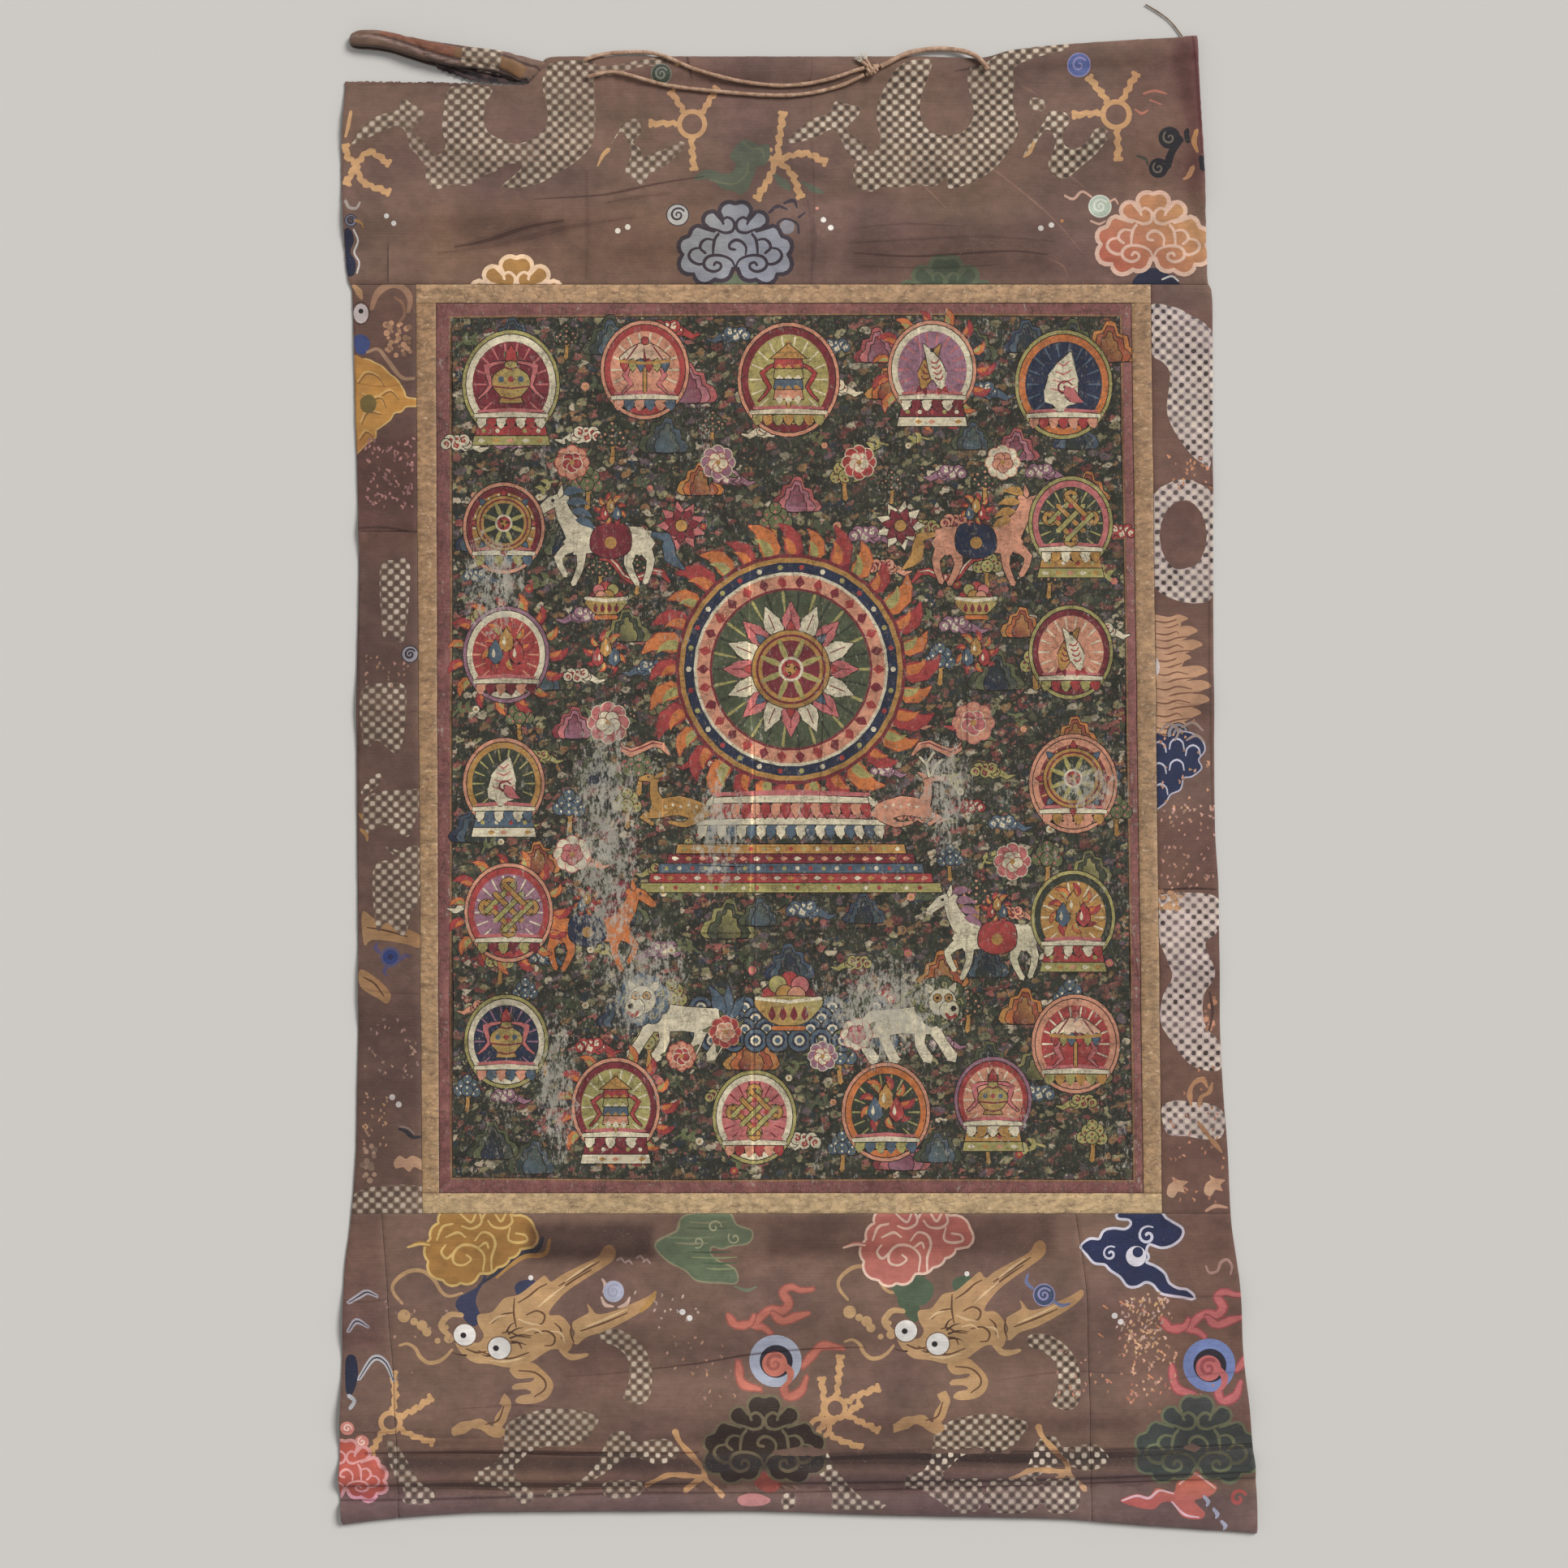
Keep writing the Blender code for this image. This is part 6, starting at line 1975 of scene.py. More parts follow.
class Brush:
    """Paints a motif in its own millimetres, x to the right and y up, round a place on the scroll."""

    def __init__(self, drawing, x, y, scale=1.0, turn=0.0, mirror=False):
        self.drawing = drawing
        self.centre = np.array([x, y])
        self.scale = scale
        self.turn = math.radians(turn)
        self.flip = -1.0 if mirror else 1.0

    def place(self, points):
        """The motif's own places, as places on the scroll."""
        table = np.atleast_2d(np.array(points, dtype=float)) * self.scale
        table[:, 0] *= self.flip
        cos, sin = math.cos(self.turn), math.sin(self.turn)
        turned = np.column_stack(
            (table[:, 0] * cos - table[:, 1] * sin, table[:, 0] * sin + table[:, 1] * cos))
        return turned + self.centre

    def at(self, x, y, scale=1.0, turn=0.0):
        """A brush for a smaller part of the motif."""
        centre = self.place([(x, y)])[0]
        part = Brush(self.drawing, *centre, self.scale * scale, mirror=self.flip < 0)
        part.turn = self.turn + math.radians(turn) * self.flip
        return part

    def stroke(self, points, widths, colour, line=None, step=4.0):
        """A stroke, with a dark line round it if one is asked for."""
        self.strokes([(points, widths)], colour, line, step)

    def strokes(self, parts, colour, line=None, step=4.0):
        """Strokes of one colour that run into each other, inside one dark line."""
        routes = [(bend(self.place(points), step=step), np.atleast_1d(widths) * self.scale)
                  for points, widths in parts]
        if line is not None:
            for route, widths in routes:
                self.drawing.shapes.append(Shape(route, line, widths=widths + 2 * LINE_WIDTH))
        for route, widths in routes:
            self.drawing.shapes.append(Shape(route, colour, widths=widths))

    def fill(self, points, colour, end=None, smooth=True):
        """A filled outline with a dark line round it."""
        outline = self.place(points)
        if smooth:
            outline = bend(outline, closed=True, step=4.0)
        if area_of(outline) < 0:
            outline = outline[::-1]
        self.drawing.shapes.append(Shape(ring_inside(outline, -LINE_WIDTH), LINE))
        self.drawing.shapes.append(Shape(outline, colour, end=end))

    def disc(self, x, y, radius, colour, line=None, squash=1.0):
        """A round spot, or one that is squashed upwards."""
        centre = self.place([(x, y)])[0]
        radius = radius * self.scale
        count = int(min(30, max(6, radius * 2.2)))
        if line is not None:
            rim = centre + ring_points(radius + LINE_WIDTH, count, squash)
            self.drawing.shapes.append(Shape(rim, line))
        self.drawing.shapes.append(Shape(centre + ring_points(radius, count, squash), colour))

    def arc(self, x, y, radius, start, finish, widths, colour, line=None):
        """A stroke along part of a circle, between two angles in degrees."""
        length = abs(math.radians(finish - start)) * radius * self.scale
        angles = np.radians(np.linspace(start, finish, int(max(3, length / 3.2)) + 1))
        self.stroke(np.column_stack((x + radius * np.cos(angles), y + radius * np.sin(angles))), widths,
                    colour, line, step=30)

    def leaf(self, x, y, angle, length, width, colour, curl=0.0, line=None, vein=None):
        """A leaf, petal or tongue of flame that grows from a point and bends as it goes."""
        angles = math.radians(angle) + np.radians(np.linspace(0, curl, 4))
        steps = np.column_stack((np.cos(angles), np.sin(angles))) * length / 4
        points = np.concatenate(([(x, y)], np.cumsum(steps, axis=0) + (x, y)))
        self.stroke(points, LEAF_WIDTHS * width, colour, line, step=30)
        if vein is not None:
            self.stroke(points[1:-1], 0.9, vein, step=30)

    def curl(self, x, y, radius, turns, start, widths, colour):
        """A stroke that winds in."""
        count = int(min(12, max(6, radius * self.scale * turns * 1.6)))
        self.stroke(np.array([(x, y)]) + spiral(radius, turns, start, count), widths, colour, step=30)


def sized(points, size, side=1):
    """Places in shares of a motif's size, on its right side or, with -1, its left side."""
    return np.array(points) * (side * size, size)


def paint_lotus(brush, radius, petal, tip):
    """An open flower, seen from the front."""
    for count, reach, width, colour, offset in ((9, 1.0, 0.5, petal, 0), (7, 0.68, 0.42, tip, 18)):
        for i in range(count):
            angle = 360 / count * i + offset
            way = math.radians(angle)
            brush.leaf(radius * 0.2 * math.cos(way), radius * 0.2 * math.sin(way), angle,
                       radius * reach * 0.85, radius * width, colour, line=LINE)
    brush.disc(0, 0, radius * 0.26, OCHRE, LINE)


def paint_seat(brush, width, petal, tip):
    """A lotus seat: hanging petals below a pale cushion."""
    count = max(4, round(width * brush.scale / 8))
    for i in range(count):
        x = (i - (count - 1) / 2) * width / count
        brush.leaf(
            x, 0, -90 + x / width * 34, 9, width / count * 1.05, petal if i % 2 else tip, line=LINE)
    brush.stroke(
        [(-width / 2 - 2, 1.5), (0, 2.6), (width / 2 + 2, 1.5)], (3, 4.4, 3), CREAM, LINE, step=20)
    brush.stroke([(-width / 2, 5), (0, 6.2), (width / 2, 5)], (2, 3.4, 2), ROSE, step=20)


def paint_throne(brush, width, colours):
    """Steps below a seat, each with its own colour and a row of gems."""
    for i, colour in enumerate(colours):
        half = width / 2 * (1 + 0.08 * i)
        top = -8.0 * i
        brush.fill([(-half, top), (half, top), (half + 1.5, top - 7.2), (-half - 1.5, top - 7.2)], colour,
                   smooth=False)
        count = max(3, round(half / 5.5))
        for k in range(count):
            x = ((k + 0.5) / count * 2 - 1) * half
            if i % 2:
                brush.leaf(x - 2.4, top - 3.6, 0, 5.4, 3.6, (CREAM, OCHRE, SALMON)[k % 3])
            else:
                brush.disc(x, top - 3.6, 1.9, (OLIVE, CREAM, RED)[k % 3])


def paint_flames(brush, radius, count, length):
    """Tongues of fire all the way round, each leaning to one side."""
    lean = 40
    for i in range(count):
        angle = 360 / count * i
        way = math.radians(angle)
        x, y = radius * math.cos(way), radius * math.sin(way)
        reach = length * (1.0, 0.78, 0.9)[i % 3]
        brush.leaf(x, y, angle - lean * 0.4, reach, reach * 0.46, (RED, FLAME)[i % 2], curl=lean * 1.8,
                   line=MAROON)
        brush.leaf(x, y, angle - lean * 0.2, reach * 0.62, reach * 0.24, (FLAME, OLIVE)[i % 2],
                   curl=lean * 1.6)


def paint_halo(brush, radius, field, rim, rays):
    """A halo in rings, with rays, for an emblem to stand in front of. It is a little taller than wide."""
    tall = 1.12
    brush.disc(0, 0, radius + 3.2, (SALMON, OLIVE, MAUVE)[round(radius) % 3], LINE, tall)
    brush.disc(0, 0, radius, rim, LINE, tall)
    brush.disc(0, 0, radius * 0.86, field, None, tall)
    for i in range(0, 360, 20):
        way = np.array([math.cos(math.radians(i)), math.sin(math.radians(i)) * tall])
        brush.stroke([way * radius * 0.56, way * radius * 0.82], (0.9, 1.6), rays, step=30)


def paint_wheel(brush, radius, ground=DEEP_GREEN):
    """A wheel with eight spokes."""
    for i in range(8):
        way = np.array([math.cos(i * math.tau / 8), math.sin(i * math.tau / 8)])
        brush.leaf(
            *(way * radius * 0.95), i * 45, radius * 0.3, radius * 0.2, (RED, SLATE)[i % 2], line=LINE)
    brush.disc(0, 0, radius, OCHRE, LINE)
    brush.disc(0, 0, radius * 0.9, MAROON)
    brush.disc(0, 0, radius * 0.84, OCHRE)
    brush.disc(0, 0, radius * 0.74, ground)
    for i in range(8):
        angle = i * 45 + 22.5
        way = np.array([math.cos(math.radians(angle)), math.sin(math.radians(angle))])
        brush.stroke([way * radius * 0.2, way * radius * 0.5, way * radius * 0.8],
                     (radius * 0.09, radius * 0.16, radius * 0.09), OLIVE, step=30)
    for share, colour in ((0.32, CREAM), (0.25, RED), (0.14, OCHRE)):
        brush.disc(0, 0, radius * share, colour)
    for i in range(3):
        brush.curl(
            radius * 0.12 * math.cos(i * 2.1), radius * 0.12 * math.sin(i * 2.1), radius * 0.09, 0.7,
            i * 2.1, (1, 1.4, 0.8), LINE)


def paint_jewels(brush, size):
    """Three flaming gems."""
    paint_flames(brush.at(0, size * 0.1), size * 0.5, 9, size * 0.55)
    for x, y, colour in ((-0.36, -0.12, SLATE), (0.36, -0.12, RED), (0, 0.3, OCHRE)):
        brush.leaf(x * size, (y - 0.28) * size, 90, size * 0.72, size * 0.48, colour, line=LINE)
        brush.leaf((x - 0.07) * size, (y - 0.14) * size, 90, size * 0.3, size * 0.12, CREAM)


def paint_vase(brush, size):
    """A treasure vase with scarves and a gem at its mouth."""
    for side in (-1, 1):
        scarf = sized([(0.2, 0.5), (0.75, 0.35), (0.6, -0.2), (0.98, -0.6)], size, side)
        brush.stroke(scarf, (1.6, 3.8, 3.2, 1.4), ROSE, LINE, step=7)
        brush.leaf(0, 0.5 * size, 90 + side * 46, size * 0.4, size * 0.2, LEAF_GREEN, curl=-side * 30)
    brush.leaf(0, 0.48 * size, 90, size * 0.52, size * 0.34, RED, line=LINE)
    side = [(0.36, -0.72), (0.28, -0.56), (0.56, -0.22), (0.5, 0.12), (0.2, 0.32), (0.16, 0.5)]
    left = [(-x, y) for x, y in side[::-1]]
    brush.fill(sized(left + side, size), OCHRE, end=OLIVE)
    for y, half in ((0.34, 0.2), (-0.24, 0.54), (-0.56, 0.28)):
        brush.stroke(sized([(-half, y), (0, y - 0.06), (half, y)], size), 1.4, MAROON, step=30)
    for x in (-0.3, 0, 0.3):
        brush.disc(x * size, -0.02 * size, size * 0.1, SLATE if x else RED)


def paint_parasol(brush, size):
    """A parasol with a frill and two scarves."""
    brush.stroke([(0, 0.2 * size), (0, -0.9 * size)], size * 0.1, OCHRE, LINE)
    for side in (-1, 1):
        scarf = sized([(0.5, 0), (0.66, -0.36), (0.46, -0.66), (0.74, -0.95)], size, side)
        brush.stroke(scarf, (2, 4, 3.4, 1), ROSE, LINE, step=7)
    canopy = [(-0.8, 0.1), (-0.62, 0.44), (-0.2, 0.7), (0.2, 0.7), (0.62, 0.44), (0.8, 0.1)]
    brush.fill(sized(canopy, size), CREAM, end=SALMON)
    for x in np.linspace(-0.5, 0.5, 3):
        brush.stroke([(x * 1.3 * size, 0.1 * size), (x * 0.5 * size, 0.66 * size)], 1.3, MAROON)
    for i, x in enumerate(np.linspace(-0.68, 0.68, 6)):
        brush.leaf(
            x * size, 0.14 * size, -90, size * 0.38, size * 0.26, (RED, OLIVE, SLATE)[i % 3], line=LINE)
    brush.stroke(sized([(-0.84, 0.12), (0, 0.04), (0.84, 0.12)], size), 2.6, OCHRE, step=30)
    brush.disc(0, 0.8 * size, size * 0.13, RED, LINE)


def paint_fish(brush, size):
    """A pair of golden fish, one leaning each way."""
    for side, colour, back in ((-1, OCHRE, MAROON), (1, CREAM, RED)):
        x, y = side * 0.3 * size, -0.7 * size
        angle = 90 + side * 14
        for turn in (-150, 150):
            brush.leaf(x, y, angle + turn, size * 0.36, size * 0.2, back)
        brush.leaf(x, y, angle, size * 1.5, size * 0.54, colour, curl=side * 18, line=LINE)
        way = np.array([math.cos(math.radians(angle)), math.sin(math.radians(angle))])
        for i in range(4):
            brush.arc(
                *((x, y) + way * size * (0.34 + 0.19 * i)), size * 0.14, angle + 110, angle + 250, 1.3,
                back)
        brush.disc(*((x, y) + way * size * 1.22), size * 0.08, LINE)


def paint_conch(brush, size):
    """A conch, wound to the right."""
    brush.leaf(-0.1 * size, -0.8 * size, 86, size * 1.6, size * 1.0, CREAM, curl=-14, line=LINE)
    for i in range(4):
        y = size * (-0.3 + 0.26 * i)
        half = size * (0.4 - 0.07 * i)
        brush.stroke(
            [(-half, y), (0, y - size * 0.1), (half, y + size * 0.05)], (0.8, 1.7, 0.8), ROSE, step=30)
    brush.curl(0.02 * size, -0.3 * size, size * 0.26, 1.3, 0.4, (1.2, 2.0, 1.2), MAROON)
    brush.leaf(0.1 * size, -0.3 * size, -60, size * 0.66, size * 0.34, ROSE, curl=40, line=LINE)


def paint_knot(brush, size):
    """The endless knot."""
    reach = size * 0.62
    for x, y in ring_points(size * 0.74, 4):
        angle = math.degrees(math.atan2(y, x))
        brush.arc(x, y, size * 0.2, angle - 130, angle + 130, size * 0.15, OCHRE, LINE)
    for across in (-0.5, 0.0, 0.5):
        for side in (-1, 1):
            middle = np.array([across, -across * side]) * size * 0.62
            way = np.array([side, 1.0]) * reach * 0.7
            brush.stroke([middle - way, middle + way], size * 0.16, OLIVE if side > 0 else OCHRE, LINE)
    for x, y in ((-0.44, 0), (0.44, 0), (0, 0.44), (0, -0.44)):
        brush.disc(x * size, y * size, size * 0.1, RED)


def paint_banner(brush, size):
    """A banner in bands, with two scarves."""
    brush.stroke([(0, -0.95 * size), (0, 0.9 * size)], size * 0.1, OCHRE, LINE)
    for side in (-1, 1):
        scarf = sized([(0.34, 0.3), (0.76, 0), (0.54, -0.4), (0.86, -0.8)], size, side)
        brush.stroke(scarf, (1.6, 3.6, 3, 1), RED, LINE, step=7)
    for i, colour in enumerate((RED, OLIVE, SLATE, SALMON)):
        y = size * (0.42 - 0.3 * i)
        brush.fill([(-0.38 * size, y), (0.38 * size, y), (0.42 * size, y - 0.26 * size),
                    (-0.42 * size, y - 0.26 * size)], colour, smooth=False)
        for x in (-0.26, 0, 0.26):
            brush.leaf(x * size, y - 0.2 * size, -90, size * 0.2, size * 0.2, CREAM if i % 2 else OCHRE)
    brush.fill(sized([(-0.5, 0.44), (0, 0.86), (0.5, 0.44)], size), OCHRE, smooth=False)


def paint_peony(brush, size, colours):
    """A full flower with crowded petals and leaves round it."""
    for i in range(5):
        brush.leaf(
            0, 0, 72 * i + 20, size * 1.4, size * 0.5, (LEAF_GREEN, GREEN)[i % 2], curl=26, line=LINE)
    for ring, (count, reach, radius) in enumerate(((8, 0.64, 0.36), (5, 0.3, 0.3))):
        for i in range(count):
            angle = math.tau * i / count + ring
            brush.disc(reach * size * math.cos(angle), reach * size * math.sin(angle), radius * size,
                       colours[ring], colours[ring + 1])
    brush.disc(0, 0, size * 0.16, OCHRE)


def paint_bowl(brush, size):
    """A bowl of fruit and gems."""
    for x, y, colour in (
            (-0.5, 0.2, RED), (0.5, 0.18, MAROON), (0.02, 0.62, RED), (-0.3, 0.5, OLIVE),
            (0.32, 0.48, ROSE), (-0.1, 0.24, OCHRE), (0.22, 0.2, SALMON)):
        brush.disc(x * size, y * size, size * 0.24, colour, LINE)
    bowl = [(-0.85, 0.12), (-0.7, -0.34), (-0.3, -0.6), (0.3, -0.6), (0.7, -0.34), (0.85, 0.12)]
    brush.fill(sized(bowl, size), OCHRE, end=OLIVE)
    brush.stroke(sized([(-0.88, 0.12), (0, 0.02), (0.88, 0.12)], size), 2.8, CREAM, step=30)
    for x in np.linspace(-0.45, 0.45, 4):
        brush.leaf(x * size, -0.46 * size, 90, size * 0.36, size * 0.2, MAROON)
    brush.stroke(sized([(-0.4, -0.7), (0.4, -0.7)], size), 3.4, FLAME, LINE)


def paint_curls(brush, size, colour, pale, count=5):
    """A bank of cloud: curls side by side, with a tail that trails away."""
    tail = sized([(0.5, -0.1), (1.0, 0.02), (1.5, -0.3), (2.0, -0.16)], size)
    brush.stroke(tail, (6, 5, 3.4, 1), colour, LINE, step=8)
    for i in range(count):
        angle = math.pi * (0.06 + 0.88 * i / (count - 1))
        x, y = size * 0.7 * math.cos(angle), size * 0.42 * math.sin(angle)
        radius = size * (0.32 + 0.08 * math.sin(i * 2.3))
        brush.disc(x, y, radius, colour, LINE)
        brush.curl(x, y, radius * 0.6, 1.0, i * 1.3, (1.1, 1.7, 1.0), pale)
    brush.disc(0, 0, size * 0.34, colour)
    brush.curl(0, 0, size * 0.24, 1.2, 2.0, (1.1, 1.7, 1.0), pale)


def paint_scarf(brush, length, colour, pale):
    """A scarf in the wind, with a fold line along it."""
    xs = np.linspace(0, length, 9)
    route = np.column_stack((xs, 6.5 * np.sin(xs / length * math.tau * 1.4)))
    brush.stroke(route, (2, 6.4, 5, 7, 4, 6, 1), colour, LINE, step=7)
    brush.stroke(route[1:-1] + (0, 0.7), (0.6, 1.5, 0.9, 1.5, 0.6), pale, step=9)


def paint_sprig(brush, length, colour, flower):
    """A stem with leaves on both sides and a small flower at its end."""
    xs = np.linspace(0, length, 4)
    ys = 3.2 * np.sin(xs / length * math.pi * 1.3)
    brush.stroke(np.column_stack((xs, ys)), (1.8, 1.5, 1.0), colour, step=30)
    for side in (1, -1):
        for x, y in zip(xs[1:3], ys[1:3]):
            brush.leaf(x, y, side * 55, length * 0.36, length * 0.2, colour, curl=-side * 24)
    brush.disc(length, ys[-1], 3.0, flower)
    brush.disc(length, ys[-1], 1.2, OCHRE if flower != OCHRE else MAROON)


# A hill's outline, in shares of its half width and its height. It starts and ends below the ground.
ROCK = [
    (-1, 0), (-0.96, 0.34), (-0.7, 0.42), (-0.6, 0.72), (-0.28, 0.76), (-0.1, 1), (0.24, 0.96),
    (0.36, 0.66), (0.7, 0.6), (0.78, 0.3), (1, 0.2), (1.02, 0),
]


def paint_rock(brush, width, height, colours):
    """A knobbly hill in bands, darker inside."""
    for share, colour, end in zip((1.0, 0.74, 0.44), colours, colours[1:] + colours[:1]):
        half, top = width / 2 * share, height * (0.5 + 0.5 * share)
        outline = np.array(ROCK) * (half, top)
        outline[[0, -1], 1] = -2
        brush.fill(outline, colour, end=end)


def paint_tree(brush, size, leaf, fruit):
    """A small tree with fruit in its round crowns."""
    branches = (([(0, -1), (0.06, -0.4), (-0.04, 0.2)], (3.4, 2.6, 2)),
                ([(0, -0.3), (0.4, 0.1)], (2, 1.4)), ([(0, -0.1), (-0.42, 0.2)], (2, 1.4)))
    brush.strokes([(sized(route, size), widths) for route, widths in branches], OCHRE, LINE, step=9)
    for x, y, radius in (
            (-0.5, 0.2, 0.34), (0.5, 0.14, 0.34), (-0.22, 0.56, 0.36), (0.28, 0.6, 0.36),
            (0.0, 0.2, 0.36), (0.02, 0.9, 0.3)):
        brush.disc(x * size, y * size, radius * size, leaf, LINE)
        for i in range(4):
            angle = i * math.tau / 4 + x * 5
            brush.disc(
                (x + 0.18 * math.cos(angle)) * size, (y + 0.18 * math.sin(angle)) * size, size * 0.075,
                fruit if i % 2 else LEAF_GREEN)


HORSE = [
    ([(-0.42, 0.02), (-0.1, 0.05), (0.3, 0.02)], (0.32, 0.27, 0.31)),
    ([(0.28, 0.08), (0.44, 0.3), (0.5, 0.48)], (0.27, 0.18, 0.13)),
    ([(0.47, 0.5), (0.6, 0.46), (0.73, 0.35)], (0.14, 0.13, 0.08)),
    ([(0.34, -0.02), (0.52, -0.16), (0.44, -0.36)], (0.13, 0.08, 0.06)),
    ([(0.26, -0.02), (0.26, -0.26), (0.34, -0.46)], (0.13, 0.08, 0.06)),
    ([(-0.42, 0.0), (-0.54, -0.2), (-0.48, -0.44)], (0.18, 0.09, 0.06)),
    ([(-0.34, -0.02), (-0.28, -0.24), (-0.38, -0.46)], (0.16, 0.09, 0.06)),
]


DEER = [
    ([(-0.46, -0.12), (-0.1, 0.0), (0.28, -0.06)], (0.34, 0.34, 0.32)),
    ([(0.28, 0.0), (0.36, 0.24), (0.36, 0.46)], (0.24, 0.15, 0.12)),
    ([(0.34, 0.46), (0.46, 0.5), (0.6, 0.48)], (0.14, 0.13, 0.07)),
    ([(0.3, -0.16), (0.58, -0.2), (0.4, -0.32)], (0.13, 0.09, 0.06)),
    ([(-0.46, -0.18), (-0.2, -0.34), (0.06, -0.3)], (0.2, 0.1, 0.06)),
]
ANTLERS = [
    ([(0.38, 0.52), (0.34, 0.76), (0.46, 0.94)], 0.045),
    ([(0.35, 0.72), (0.22, 0.86)], 0.045),
    ([(0.42, 0.54), (0.5, 0.72), (0.62, 0.82)], 0.045),
]
LION = [
    ([(-0.42, 0.0), (-0.08, 0.04), (0.28, 0.06)], (0.34, 0.3, 0.36)),
    ([(0.34, -0.02), (0.46, -0.22), (0.58, -0.4)], (0.16, 0.12, 0.14)),
    ([(0.2, -0.02), (0.18, -0.24), (0.28, -0.42)], (0.16, 0.12, 0.13)),
    ([(-0.42, 0.0), (-0.52, -0.2), (-0.4, -0.42)], (0.2, 0.13, 0.13)),
    ([(-0.3, 0.0), (-0.24, -0.22), (-0.14, -0.42)], (0.18, 0.12, 0.13)),
]


def limbs(parts, size):
    """The strokes of an animal, in shares of its size, at their full size."""
    return [(sized(route, size), np.array(widths) * size) for route, widths in parts]


def paint_horse(brush, size, coat, mane, cloth):
    """A trotting horse with a gem on its saddle cloth."""
    tail = [([(-0.54, 0.1), (-0.72, 0.06), (-0.76, -0.16), (-0.92, -0.3)], (0.05, 0.13, 0.14, 0.02))]
    brush.strokes(limbs(tail, size), mane, LINE, step=9)
    brush.strokes(limbs(HORSE, size), coat, LINE, step=8)
    for i in range(4):
        x, y = (0.3 + 0.05 * i) * size, (0.26 + 0.1 * i) * size
        brush.leaf(x, y, 190 - 12 * i, size * 0.24, size * 0.1, mane, curl=40)
    brush.leaf(0.5 * size, 0.52 * size, 100, size * 0.14, size * 0.06, coat, line=LINE)
    brush.disc(0.58 * size, 0.48 * size, size * 0.022, LINE)
    saddle = [(-0.26, 0.2), (0.08, 0.18), (0.14, -0.08), (-0.08, -0.18), (-0.3, -0.08)]
    brush.fill(sized(saddle, size), cloth)
    brush.disc(-0.08 * size, 0.0, size * 0.07, OCHRE)
    paint_jewels(brush.at(-0.08 * size, 0.36 * size), size * 0.2)


def paint_deer(brush, size, coat, horns=True):
    """A deer that lies down and looks up."""
    brush.strokes(limbs(DEER, size), coat, LINE, step=8)
    brush.leaf(0.34 * size, 0.5 * size, 150, size * 0.2, size * 0.08, coat, line=LINE)
    brush.leaf(-0.6 * size, 0.0, 120, size * 0.2, size * 0.1, CREAM, line=LINE)
    for i in range(5):
        brush.disc((-0.4 + 0.14 * i) * size, (-0.02 + 0.03 * (i % 2)) * size, size * 0.028, CREAM)
    brush.disc(0.46 * size, 0.51 * size, size * 0.022, LINE)
    if horns:
        brush.strokes(limbs(ANTLERS, size), CREAM, LINE, step=9)


def paint_lion(brush, size, coat, mane):
    """A snow lion with a curled mane."""
    for i in range(3):
        brush.leaf(
            -0.5 * size, 0.06 * size, 160 - 34 * i, size * 0.42, size * 0.17, mane, curl=-40, line=LINE)
    brush.strokes(limbs(LION, size), coat, LINE, step=8)
    for x, y in ring_points(0.22, 9) + (0.44, 0.28):
        brush.disc(x * size, y * size, size * 0.11, mane, LINE)
        brush.curl(x * size, y * size, size * 0.06, 1.0, x * 9, 1.2, OLIVE)
    for x, turn in ((0.34, 130), (0.56, 60)):
        brush.leaf(x * size, 0.4 * size, turn, size * 0.14, size * 0.09, coat, line=LINE)
    brush.disc(0.46 * size, 0.28 * size, size * 0.17, coat, LINE)
    brush.disc(0.55 * size, 0.18 * size, size * 0.12, coat, LINE)
    brush.disc(0.6 * size, 0.2 * size, size * 0.04, LINE)
    brush.arc(0.57 * size, 0.14 * size, size * 0.06, 190, 340, size * 0.045, RED)
    for x in (0.4, 0.54):
        brush.disc(x * size, 0.33 * size, size * 0.05, OCHRE, LINE)
        brush.disc(x * size, 0.33 * size, size * 0.022, LINE)


# ---------------------------------------------------------------- the painting: what goes where

FIELD = [
    (-283.5, -325.0), (-94.0, -327.0), (90.0, -326.0), (274.5, -327.0), (271.5, -120.0), (268.0, 120.0),
    (263.5, 381.0), (80.0, 382.5), (-110.0, 381.5), (-284.5, 380.0), (-283.5, 150.0), (-284.0, -100.0),
]
HUB = (-6.0, 92.0)
EMBLEMS = [
    paint_vase, paint_fish, paint_knot, paint_parasol, paint_conch, paint_jewels, paint_banner,
    paint_wheel,
]
# Each halo: its place, its radius, then the colours of its field, rim and rays.
HALOES = [
    (-236, 326, 40, MAROON, CREAM, ROSE), (-126, 338, 36, SALMON, RED, CREAM),
    (-8, 330, 42, OLIVE, MAROON, CREAM), (110, 338, 36, MAUVE, CREAM, ROSE),
    (218, 326, 40, NIGHT, FLAME, SLATE), (-242, 208, 33, OCHRE, MAROON, CREAM),
    (224, 212, 34, DEEP_GREEN, ROSE, OLIVE), (-240, 104, 35, RED, CREAM, SALMON),
    (224, 106, 34, SALMON, MAROON, CREAM), (-242, -2, 33, DEEP_GREEN, OCHRE, OLIVE),
    (226, -2, 36, MAROON, SALMON, OCHRE), (-238, -108, 36, MAUVE, RED, CREAM),
    (226, -112, 34, OCHRE, DEEP_GREEN, CREAM), (-240, -214, 34, NIGHT, CREAM, MAUVE),
    (228, -216, 36, RED, SALMON, CREAM), (-150, -268, 36, OLIVE, MAROON, CREAM),
    (-36, -276, 34, ROSE, CREAM, MAROON), (72, -272, 36, DEEP_GREEN, FLAME, OLIVE),
    (160, -262, 31, SALMON, RED, CREAM),
]


